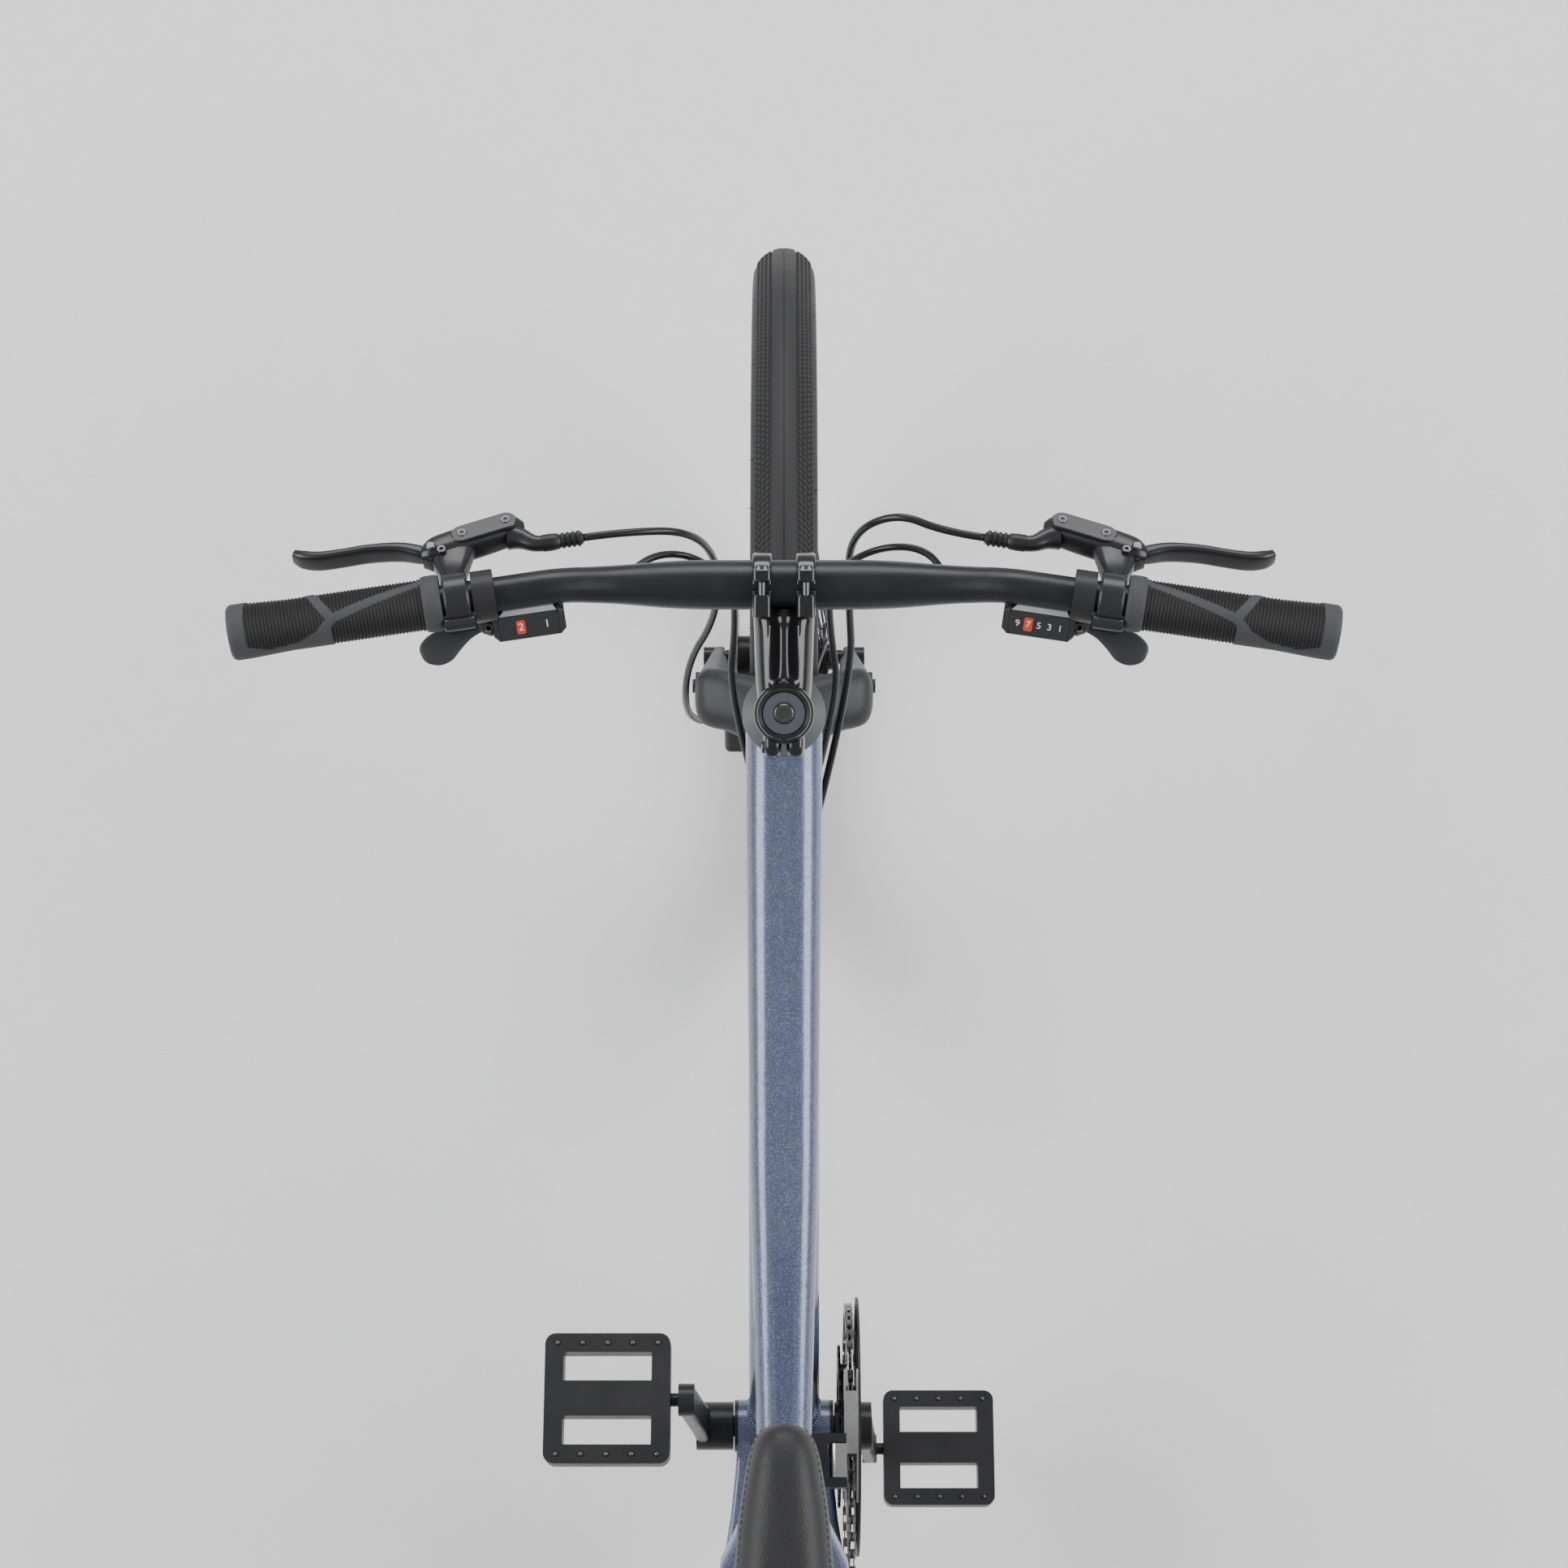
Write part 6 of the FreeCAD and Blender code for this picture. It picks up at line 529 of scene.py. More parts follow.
# Two rows of points lie close to each edge of the tread, one on either side, which keeps the edge sharp.
edge_gap = 0.02
tread_pitch = 1.6
tread_steps = 41
tread_edges = [edge + gap for edge in (line_half, groove_from, groove_to) for gap in (-edge_gap, edge_gap)]
tread_places = sorted([place * tread_pitch for place in range(tread_steps)] + tread_edges)
tread_places = [-place for place in reversed(tread_places) if place > 0] + tread_places
tyre_turns = [step * 2 * math.pi / tyre_steps for step in range(tyre_steps)]
for end, forward in (("front", axle_reach), ("rear", -axle_reach)):
    rings = []
    for place in tread_places:
        radius, y = on_tyre(place, tread_depth(place))
        rings.append([Vector((forward + radius * math.cos(turn), y, axle_height + radius * math.sin(turn)))
                      for turn in tyre_turns])
    points, faces = skin(rings, capped=False)
    last = (len(rings) - 1) * tyre_steps
    faces += [(last + step, last + (step + 1) % tyre_steps, (step + 1) % tyre_steps, step)
              for step in range(tyre_steps)]
    piece(end + "_tyre_casing", (points, faces), tyre_rubber, end + "_wheel", [end + "_tyre"],
          crease=50)
    knobs = []
    for index, row in enumerate(tread_rows):
        for side in (1, -1):
            shift = 0.5 * (index % 2) + (0.25 if side < 0 else 0)
            knobs.append(knob(row, side, 2 * math.pi / knob_count * shift))
    hairs = [hair(1, 0.03, 30, 5.5), hair(-1, 0.11, 30, 5.0), hair(1, 0.15, 34, 4.0)]
    axle = (forward / 1000, 0, axle_height / 1000)
    copied_round(end + "_tyre_knobs", joined(*knobs), knob_count, axle, end + "_wheel")
    copied_round(end + "_tyre_hairs", joined(*hairs), hair_count, axle, end + "_wheel")


# Stem. Gloss black forged aluminium: a clamp round the steerer with a split at the back, an arm with a scoop
# between two ridges, and two straps that hold the bar, each hooked over a socket bolt above and below it.
gloss_black = finish("gloss_black_alloy", (0.012, 0.012, 0.013), (0.007, 0.007, 0.008), 300, 0.14, 0.22, 0.02,
                     metallic=0.2, coat=0.35)
dark_screw = finish("dark_screw", (0.13, 0.13, 0.135), (0.07, 0.07, 0.075), 900, 0.2, 0.34, 0.05, 0.9)
stem_frame = Matrix(((0.894934, 0, -0.446198, 281.044), (0, 1, 0, 0), (0.446198, 0, 0.894934, 918.178),
                     (0, 0, 0, 1)))
stem_reach = 83
bar_radius = 15.9
arm_sides = 96
scoop_width = 19
strap_steps = 24
strap_offset = 14
hook_height = 21.6
bolt_radius = 4.2
bolt_rise = 1.6


def along_x(x, y, z):
    return Matrix(((0, 0, 1, x), (1, 0, 0, y), (0, 1, 0, z), (0, 0, 0, 1)))


# The arm is crowned above, where the scoop is sunk between its ridges, and square with round corners below.
def arm_ring(x, width, height, scoop):
    row = []
    for step in range(arm_sides):
        across = math.cos(2 * math.pi * step / arm_sides)
        y = math.copysign(abs(across) ** 0.8, across)
        if math.sin(2 * math.pi * step / arm_sides) > 0:
            hollow = scoop * max(0, 1 - (y * width / scoop_width) ** 2) ** 1.2
            z = height / 2 * (1 - abs(y) ** 3.2) ** 0.5 - hollow
        else:
            z = -height / 2 * (1 - abs(y) ** 4) ** 0.25
        row.append(stem_frame @ along_x(x, 0, 0) @ Vector((y * width / 2, z, 0)))
    return row


def lathe(profile, place, count=48):
    rings = []
    for radius, height in profile:
        rings.append([place @ Vector((radius * math.cos(2 * math.pi * step / count),
                                      radius * math.sin(2 * math.pi * step / count), height))
                      for step in range(count)])
    return skin(rings)


def ear(y, z):
    place = steering @ Matrix(((0, 0, -1, 0), (1, 0, 0, y), (0, -1, 0, z), (0, 0, 0, 1)))
    return skin([ring(place @ Matrix.Translation((0, 0, depth)), width, height, power=4, count=28)
                 for depth, width, height in ((12, 12, 35), (20, 12, 35), (25, 11.4, 33), (27.2, 9, 29))])


def strap(y, start, end, outer, width):
    middle = (bar_radius + outer) / 2
    rows = []
    for step in range(strap_steps + 1):
        turn = math.radians(start + (end - start) * step / strap_steps)
        spot = stem_frame @ Vector((stem_reach + math.cos(turn) * middle, y, math.sin(turn) * middle))
        run = stem_frame.to_3x3() @ Vector((-math.sin(turn), 0, math.cos(turn)))
        rows.append(ring(facing(spot, run, (0, 1, 0)), width, outer - bar_radius, power=5, count=28))
    return skin(rows)


def stem_bar(x_from, x_to, y, z, width, height, edge):
    place = stem_frame @ along_x(0, y, z)
    return skin([ring(place @ Matrix.Translation((0, 0, x)), width - cut, height - cut, power=4.5, count=28)
                 for x, cut in ((x_from, 2 * edge), (x_from + edge, 0), (x_to - edge, 0), (x_to, 2 * edge))])


def screw_head(place, radius, height):
    rows = []
    for reach, level, hexagon in ((0.98, -1, False), (1, 0, False), (0.88, 0.5, False), (0.6, 0.5, False),
                                  (0.46, 0.46, True), (0.44, -0.6, True)):
        row = []
        for step in range(24):
            turn = 2 * math.pi * step / 24
            flat = math.cos((turn + math.pi / 6) % (math.pi / 3) - math.pi / 6) if hexagon else 1
            row.append(place @ Vector((math.cos(turn) * radius * reach / flat,
                                       math.sin(turn) * radius * reach / flat, level * height)))
        rows.append(row)
    return skin(rows)


arm_rows = fair([(2, 33, 34, 0), (14, 35, 34, 0), (19, 36, 34, 2), (24, 36.6, 34, 8), (34, 37.4, 34, 10),
                 (54, 38.6, 34, 10), (60, 39.2, 33, 8.5), (65, 39.6, 30, 7), (68, 39.6, 24, 5)], 4)
arm = skin([arm_ring(*row) for row in arm_rows])
collar = lathe([(14.4, 193.4), (18.6, 193.4), (19.5, 194.6), (19.5, 231.2), (18.6, 232.8), (14.4, 232.8)],
               steering, 64)
ears = joined(ear(7.4, 213), ear(-7.4, 213))
straps = []
cradles = []
stem_bolts = []
for y in (strap_offset, -strap_offset):
    straps.append(strap(y, -84, 84, 20.6, 12))
    cradles.append(strap(y, 96, 264, 21.2, 12.4))
    for z in (hook_height, -hook_height):
        straps.append(stem_bar(86.5, 95.5, y, z, 11.6, 9.4, 1.4))
        cradles.append(stem_bar(63 if z > 0 else 68, 79, y, z * 0.9, 11.6, 10.4, 1.6))
        bolt_line = stem_frame @ along_x(0, y, z)
        stem_bolts.append(lathe([(2.4, 76), (2.5, 77), (2.5, 88), (2.4, 89)], bolt_line, 20))
        stem_bolts.append(screw_head(bolt_line @ Matrix.Translation((0, 0, 96.4)), bolt_radius, bolt_rise))
for z in (203, 223):
    pinch = steering @ Matrix(((1, 0, 0, -21.5), (0, 0, 1, 13.6), (0, -1, 0, z), (0, 0, 0, 1)))
    stem_bolts.append(screw_head(pinch, bolt_radius, bolt_rise))
piece("stem_body", joined(arm, collar, ears, *cradles), gloss_black, "front_end",
      ["stem"], crease=40)
piece("bar_straps", joined(*straps), gloss_black, "front_end", ["stem_faceplate"],
      crease=40)
piece("stem_bolts", joined(*stem_bolts), dark_screw, "front_end", ["stem_faceplate"])


# Top cap. A black pressed ring round a dark-grey disc, drawn down on the steerer by one socket bolt in its
# middle. The headset's grey cover and spacers fill the steerer between the stem and the head tube.
cap_grey = finish("cap_grey", (0.06, 0.063, 0.074), (0.044, 0.046, 0.055), 1100, 0.4, 0.52, 0.08)
cover_grey = finish("cover_grey", (0.14, 0.142, 0.148), (0.1, 0.102, 0.108), 900, 0.34, 0.46, 0.06, 0.5)
cap_rim = lathe([(13.2, 233.2), (17.2, 233.2), (17.5, 234), (17.5, 236), (16.6, 237.3), (14.4, 238),
                 (13.8, 237.4), (13.6, 236.4)], steering, 72)
cap_plate = lathe([(13.5, 235), (13.5, 237.2), (13.1, 237.7), (7.4, 237.9), (6.9, 237.3), (6.8, 235)],
                  steering, 72)
cap_screw = screw_head(steering @ Matrix.Translation((0, 0, 237.4)), 6.3, 1.2)
piece("cap_ring", cap_rim, gloss_black, "front_end", ["top_cap"])
piece("cap_disc", cap_plate, cap_grey, "front_end")
piece("cap_bolt", cap_screw, dark_screw, "front_end")
dress(cover_grey, "headset_stack")


# Handlebar. One aluminium tube, wide where the stem holds it, tapered, bent and anodised satin black with a
# fine blasted grain.
blasted_black = finish("blasted_black", (0.024, 0.025, 0.03), (0.012, 0.012, 0.015), 1900, 0.28, 0.42, 0.2,
                       metallic=0.45)
# Each row of the bar: place across, forward and up from the steering axis, and the tube's width.
bar_half = [(0, 82.38, 223.12, 31.8), (40, 82.38, 223.12, 31.8), (58, 82.38, 223.12, 31.5),
            (76, 82.38, 223.3, 29.8), (92, 82.36, 224.2, 27.2), (106, 82.3, 226.8, 25),
            (121, 82, 231.6, 23.4), (136, 81.6, 236.8, 22.5), (150, 80.3, 240.2, 22.2),
            (170, 77.31, 241.9, 22.2), (216.7, 70.33, 245.16, 22.2), (344, 51.3, 254.06, 22.2)]
bar_rows = fair(both_ways(bar_half), 6)
bar_line = [steering @ Vector((x, y, z)) for y, x, z, width in bar_rows]
bar_rings = []
for index, (y, x, z, width) in enumerate(bar_rows):
    run = bar_line[min(index + 1, len(bar_line) - 1)] - bar_line[max(index - 1, 0)]
    bar_rings.append(ring(facing(bar_line[index], run, (0, 0, 1)), width, width, power=2, count=48))
piece("bar_tube", skin(bar_rings), blasted_black, "front_end", ["handlebar"])


# Grips. Moulded rubber sleeves: black ribbed pads for the palm and fingers between smooth grey bands, with a
# plain collar at the inner end and a closed grey end.
grip_grey = finish("grip_grey", (0.05, 0.052, 0.056), (0.036, 0.038, 0.041), 700, 0.6, 0.75, 0.2)
grip_black = finish("grip_black", (0.014, 0.014, 0.015), (0.008, 0.008, 0.009), 700, 0.55, 0.7, 0.2)
grip_start = Vector((336.60, 216.73, 971.97))
grip_run = Vector((-0.16203, 0.986659, 0.015814))
grip_ahead = (axis_ahead - grip_run * axis_ahead.dot(grip_run)).normalized()
grip_over = grip_ahead.cross(grip_run)
grip_sides = 112
grip_row = 0.55
sleeve_length = 130
collar_radius = 18.0
collar_end = 9
body_radius = 16.5
body_from = 14
swell_from = 97
swell_length = 26
end_radius = 17.75
pad_depth = 0.55
rib_depth = 0.45
rib_pitch = 2.2
band_half = 2.6
pad_from = 11
pad_to = 124
pad_half = 46
pad_edge = 0.8
rear_edge_from = 70
round_end_from = 90
round_end = 0.004
# The middle lines of the grey bands, as places along the grip and round it.
band_lines = (
    ((69, -1.4), (76, 10), (81, 22), (84, 40)),
    ((69, -1.4), (42, 7), (14, 15), (4, 18)),
    ((69, -1.4), (78, -11), (92, -18), (110, -20), (126, -14)),
)
rear_band = ((60, 4), (69, -1.4), (78, -11), (92, -18), (110, -20), (130, -12))


def band_distance(along, round_way):
    nearest = 99.0
    for line in band_lines:
        for (x0, y0), (x1, y1) in zip(line, line[1:]):
            span = (x1 - x0) ** 2 + (y1 - y0) ** 2
            share = min(1, max(0, ((along - x0) * (x1 - x0) + (round_way - y0) * (y1 - y0)) / span))
            away = math.hypot(along - x0 - share * (x1 - x0), round_way - y0 - share * (y1 - y0))
            nearest = min(nearest, away)
    return nearest


def in_pad(along, round_way):
    if along > rear_edge_from:
        edge = next(y0 + (y1 - y0) * (along - x0) / (x1 - x0)
                    for (x0, y0), (x1, y1) in zip(rear_band, rear_band[1:]) if along <= x1)
        if round_way < edge:
            return 0.0
    outer_end = pad_to - along - (round_end * round_way ** 2 if along > round_end_from else 0)
    ends = min(along - pad_from, outer_end, pad_half - abs(round_way))
    return max(0.0, min(1.0, min(band_distance(along, round_way) - band_half, ends) / pad_edge))


def grip_radius(along):
    if along < collar_end:
        return collar_radius - 0.6 * max(0, 2 - along)
    if along < body_from:
        return collar_radius - (collar_radius - body_radius) * (along - collar_end) / (body_from - collar_end)
    if along < swell_from:
        return body_radius
    return min(end_radius, body_radius + (end_radius - body_radius) * (along - swell_from) / swell_length)


def grip_turn(step):
    return 2 * math.pi * step / grip_sides - math.pi


def grip_point(along, step, radius):
    turn = grip_turn(step)
    return grip_start + grip_run * along + (grip_over * math.cos(turn) + grip_ahead * math.sin(turn)) * radius


def as_drawn(shape):
    return shape


def other_side(shape):
    return [Vector((point[0], -point[1], point[2])) for point in shape[0]], shape[1]


grip_steps = [step * grip_row for step in range(int(sleeve_length / grip_row) + 1)]
grip_rows = []
pad_share = []
for along in grip_steps:
    row = []
    for step in range(grip_sides):
        share = in_pad(along, body_radius * grip_turn(step))
        pad_share.append(share)
        rib = pad_depth - rib_depth * math.cos(2 * math.pi * along / rib_pitch)
        row.append(grip_point(along, step, grip_radius(along) - share * rib))
    grip_rows.append(row)
for along, radius in ((131.5, 17.75), (133.4, 17.0), (134.6, 15.2), (135, 12), (135, 6), (134.4, 4)):
    grip_rows.append([grip_point(along, step, radius) for step in range(grip_sides)])
left_grip = skin(grip_rows)
pad_faces = [1 if row < len(grip_steps) - 1 and pad_share[row * grip_sides + step] > 0.5 else 0
             for row in range(len(grip_rows) - 1) for step in range(grip_sides)] + [0, 0]
hands = (("left", as_drawn), ("right", other_side))
for side, hand in hands:
    piece(side + "_grip", hand(left_grip), (grip_grey, grip_black), "front_end", ["grips"],
          pad_faces, crease=60)


# Brake levers. A forged satin black master cylinder with a flat cover held by screws, a hinged clamp round
# the bar, a bent neck to the hose's ribbed rubber boot, and an S-curved alloy blade on a pin.
lever_frame = Matrix(((0.925626, -0.16203, 0.342, 338.2), (0.157522, 0.986659, 0.041116, 207.0),
                      (-0.344099, 0.015814, 0.9388, 971.812), (0, 0, 0, 1)))
pivot = (40, 12)
cover_ends = ((46.6, -8.6), (52.6, -37.4))
throat_steps = 16
throat_width = 10.4
throat_flare = 6.6
boot_ribs = 4
boot_pitch = 3.4


def crosswise(y, x, width, height):
    place = Matrix(((1, 0, 0, x), (0, 0, -1, y), (0, 1, 0, 0), (0, 0, 0, 1)))
    return ring(lever_frame @ place, width, height, power=3)


def lengthwise(x, y, width, height):
    return ring(lever_frame @ along_x(x, y, 0), width, height, power=3)


def upright(x, y, z):
    return lever_frame @ Matrix.Translation((x, y, z))


def stadium(start, end, radius, z, count=28):
    run = (Vector(end) - Vector(start)).normalized()
    base = math.atan2(run.y, run.x)
    points = []
    for centre, first in ((end, -0.5), (start, 0.5)):
        for step in range(count // 2 + 1):
            turn = base + math.pi * (first + step / (count // 2))
            points.append(lever_frame @ Vector((centre[0] + radius * math.cos(turn),
                                                centre[1] + radius * math.sin(turn), z)))
    return points


master_rows = fair([(-48.8, 51.2, 10, 10.5), (-45, 52.4, 14.6, 15.4), (-39.6, 53, 17.6, 18.6),
                    (-19.8, 49.4, 20, 21), (4, 44, 19.6, 21), (13, 41.8, 17.2, 19.6),
                    (18.6, 40.4, 10.5, 14)], 5)
master = skin([crosswise(*row) for row in master_rows])
neck_rows = fair([(12, 1, 15.6, 23), (18, 1, 17, 18), (28, 0.5, 23, 15.6), (41, -1, 30, 17)], 4)
neck = skin([lengthwise(*row) for row in neck_rows])
clamp = lathe([(13.5, -8), (16.4, -8), (17.5, -6.6), (17.5, 6.6), (16.4, 8), (13.5, 8)],
              lever_frame @ Matrix.Rotation(-math.pi / 2, 4, "X"))
hinge_line = upright(-18, 0, -2) @ Matrix.Rotation(math.pi / 2, 4, "Y") @ Matrix.Rotation(math.pi / 2, 4, "X")
hinge = lathe([(3, -10), (4.4, -9.4), (4.4, 9.4), (3, 10)], hinge_line)
cover = skin([stadium(*cover_ends, radius, z) for radius, z in ((6.9, 8.6), (6.9, 10.9), (6.3, 11.5))])
pin = lathe([(2.4, -11.6), (3.2, -11), (3.2, 11), (2.4, 11.6)], upright(*pivot, 0))
screws = joined(*[screw_head(upright(*spot, 11.6), 3.1, 1.2) for spot in cover_ends],
                screw_head(upright(36.5, 5.6, 9.9), 3.0, 1.2))
bend = [lever_frame @ Vector((x, y, 0)) for x, y in ((47.8, -38), (45, -50), (37.9, -49), (37.9, -60))]
throat_rows = []
for step in range(throat_steps + 1):
    t = step / throat_steps
    u = 1 - t
    spot = bend[0] * u ** 3 + bend[1] * 3 * t * u ** 2 + bend[2] * 3 * t * t * u + bend[3] * t ** 3
    run = (bend[1] - bend[0]) * u ** 2 + (bend[2] - bend[1]) * 2 * t * u + (bend[3] - bend[2]) * t * t
    across = throat_width + throat_flare * u ** 2
    throat_rows.append(ring(facing(spot, run, (0, 0, 1)), across, across, power=2.1, count=24))
throat = skin(throat_rows)
boot_profile = [(4.4, -1.5), (5.6, -0.8), (5.7, 4.4), (5.3, 9.2), (4.7, 10.2)]
for rib in range(boot_ribs):
    boot_profile += [(radius, place + rib * boot_pitch)
                     for radius, place in ((4.2, 11), (5.2, 12), (5.2, 13.2), (4.2, 14.1))]
boot_profile += [(3.5, 25.4), (2.7, 26)]
boot = lathe(boot_profile, facing((382.9, 154.4, 957.9), (4.2, -25.7, -0.5), (0, 0, 1)), 28)
boot_rubber = finish("boot_rubber", (0.016, 0.016, 0.017), (0.01, 0.01, 0.011), 800, 0.32, 0.45, 0.1)
lever_black = finish("lever_black", (0.026, 0.026, 0.028), (0.016, 0.016, 0.017), 1400, 0.26, 0.36, 0.06, 0.3)
# Each row of the blade: place forward and across, thickness and height.
blade_path = fair([(40, 12, 9, 9), (43.6, 20, 9.5, 12.5), (48.4, 33, 8, 14.5), (50.6, 52, 6.6, 15),
                   (50.2, 70, 6.4, 15), (50.6, 84, 7, 15), (53.6, 94, 7.4, 14), (57.4, 99.4, 6, 11)], 6)


def blade_ring(index):
    x, y, thick, height = blade_path[index]
    before = blade_path[max(index - 1, 0)]
    after = blade_path[min(index + 1, len(blade_path) - 1)]
    run = lever_frame.to_3x3() @ Vector((after[0] - before[0], after[1] - before[1], 0))
    side = lever_frame.to_3x3() @ Vector((after[1] - before[1], before[0] - after[0], 0))
    return ring(facing(lever_frame @ Vector((x, y, 0)), run, side), thick, height, power=3.2, count=28)


blade = joined(skin([blade_ring(index) for index in range(len(blade_path))]),
               lathe([(4, -6.4), (6.6, -5.8), (6.6, 5.8), (4, 6.4)], upright(*pivot, 0), 28))
for side, hand in hands:
    body = joined(master, neck, clamp, hinge, cover, throat)
    piece(side + "_brake_body", hand(body), lever_black, "front_end", ["brake_bodies"])
    piece(side + "_brake_screws", hand(joined(screws, pin)), dark_screw, "front_end")
    piece(side + "_hose_boot", hand(boot), boot_rubber, "front_end")
    piece(side + "_brake_blade", hand(blade), lever_black, side + "_brake_lever",
          [side + "_brake_lever"])


# Shifters. Black moulded housings, each held by a clamp band with one screw. A gloss window covers the dial,
# which has plain numbers, a red mark at the gear in use and a bright bevel in front. Two levers turn on a
# pin below.
black_plastic = finish("black_plastic", (0.02, 0.02, 0.021), (0.012, 0.012, 0.013), 1300, 0.36, 0.5, 0.15)
lever_plastic = finish("lever_plastic", (0.042, 0.044, 0.048), (0.03, 0.031, 0.034), 1300, 0.34, 0.46, 0.1)
window_glass = finish("window_glass", (0.01, 0.011, 0.012), (0.006, 0.007, 0.008), 200, 0.03, 0.07, 0.01,
                      coat=1.0)
bevel_grey = finish("bevel_grey", (0.42, 0.42, 0.43), (0.33, 0.33, 0.34), 900, 0.3, 0.42, 0.05, 0.2)
dial_white = finish("dial_white", (0.75, 0.75, 0.74), (0.66, 0.66, 0.66), 900, 0.5, 0.6, 0.02)
dial_red = finish("dial_red", (0.62, 0.06, 0.03), (0.5, 0.04, 0.02), 900, 0.4, 0.5, 0.02)
dress(black_plastic, "shifter_pods", "left_release_lever", "right_release_lever")
shifter_frame = Matrix(((0.9289, -0.16203, -0.33299, 340.987), (0.1471, 0.98666, -0.06976, 190.034),
                        (0.33985, 0.01581, 0.94035, 971.54), (0, 0, 0, 1)))
clamp_screw = screw_head(shifter_frame @ Matrix.Translation((-19.6, 0.5, -14.6)), 3.0, 2.4)
piece("shifter_screws", joined(clamp_screw, other_side(clamp_screw)), dark_screw, "front_end")
thumb_turn = Matrix.Rotation(math.radians(106), 4, "Z")
thumb_frame = shifter_frame @ Matrix.Translation((-10, -10, -45.5)) @ thumb_turn
paddle_level = 3
# Each row of the thumb paddle: place along it and aside, width and thickness.
thumb_rows = fair([(-7.4, 0, 4, 3), (-5, 0, 11, 5.2), (0, 0, 15, 6), (12, 0, 13, 6), (24, 0.6, 12.4, 5.6),
                   (34, 2.4, 16, 5.6), (43, 4.2, 21.4, 5.8), (51, 4.6, 20.8, 5.6), (57, 4.2, 15, 4.6),
                   (59.6, 4, 8.4, 3.2), (60.2, 4, 3.4, 1.6)], 4)
thumb = skin([ring(thumb_frame @ along_x(x, y, paddle_level), width, thick, power=3, count=32)
              for x, y, width, thick in thumb_rows])
for side, hand in hands:
    piece(side + "_thumb_paddle", hand(thumb), lever_plastic, side + "_shift_lever",
          [side + "_shift_lever"])
dress(window_glass, "shifter_windows")
window_frame = Matrix(((0.663842, -0.16203, -0.73011, 331.810), (0.097131, 0.986659, -0.13065, 163.139),
                       (0.741539, 0.015814, 0.670724, 953.534), (0, 0, 0, 1)))
window_top = 7.5
number_line = -0.6
number_level = 0.14
mark_level = 0.03
bevel_corners = ((-18.4, 8.2, -0.2), (18.4, 8.2, -0.2), (16.5, 11.6, -1.2), (-15, 11.6, -1.2),
                 (-18.4, 8.2, -1.4), (18.4, 8.2, -1.4), (16.5, 11.6, -2.2), (-15, 11.6, -2.2))
bevel_faces = [(0, 1, 2, 3), (7, 6, 5, 4), (0, 4, 5, 1), (1, 5, 6, 2), (2, 6, 7, 3), (3, 7, 4, 0)]


def dial_shape(text, size, place):
    lettering = bpy.data.curves.new("dial_" + text, "FONT")
    lettering.body = text
    lettering.size = size
    lettering.align_x = "CENTER"
    lettering.align_y = "CENTER"
    lettering.extrude = 0.03
    holder = show("dial_" + text, lettering)
    made = bpy.data.meshes.new_from_object(holder.evaluated_get(bpy.context.evaluated_depsgraph_get()))
    shape = [place @ point.co for point in made.vertices], [tuple(face.vertices) for face in made.polygons]
    bpy.data.objects.remove(holder)
    return shape


def tile(place, width, height, thick):
    return skin([ring(place @ Matrix.Translation((0, 0, z)), width, height, power=8, count=24)
                 for z in (0, thick)])


for side, numbers, places, size, marked in (
        ("left", "21", (-5.2, 11.5), 7.4, 0),
        ("right", "97531", (-13.6, -6.8, 0, 6.8, 13.6), 6.4, 1)):
    ahead, out, over, spot = (window_frame.col[k].xyz for k in range(4))
    if side == "right":
        ahead, out, over, spot = (Vector((v.x, -v.y, v.z)) for v in (ahead, out, over, spot))
    right = -out if side == "left" else out
    dial = Matrix.Translation(spot + over * window_top) @ Matrix((right, ahead, over)).transposed().to_4x4()
    digits = [dial_shape(text, size, dial @ Matrix.Translation((x, number_line, number_level)))
              for text, x in zip(numbers, places)]
    mark = tile(dial @ Matrix.Translation((places[marked], number_line, mark_level)), 5.6, 9.6, 0.07)
    bevel = [dial @ Vector(corner) for corner in bevel_corners]
    piece(side + "_dial_numbers", joined(*digits), dial_white, "front_end")
    piece(side + "_dial_mark", mark, dial_red, "front_end")
    piece(side + "_dial_bevel", (bevel, bevel_faces), bevel_grey, "front_end")


# Hoses and gear housings. Black plastic sheaths, each laid in its own curve between a lever and the frame.
sheath = finish("hose_sheath", (0.018, 0.018, 0.019), (0.011, 0.011, 0.012), 900, 0.2, 0.3, 0.05)
sheath_sides = 14


def laid_line(name, knots):
    curve = bpy.data.curves.new(name, "CURVE")
    curve.dimensions = "3D"
    curve.resolution_u = 16
    spline = curve.splines.new("NURBS")
    spline.points.add(len(knots) - 1)
    for held, knot in zip(spline.points, knots):
        held.co = (*knot, 1)
    spline.order_u = 3
    spline.use_endpoint_u = True
    holder = show(name, curve)
    mesh = bpy.data.meshes.new_from_object(holder.evaluated_get(bpy.context.evaluated_depsgraph_get()))
    line = [Vector(point.co) for point in mesh.vertices]
    bpy.data.objects.remove(holder)
    bpy.data.meshes.remove(mesh)
    return line


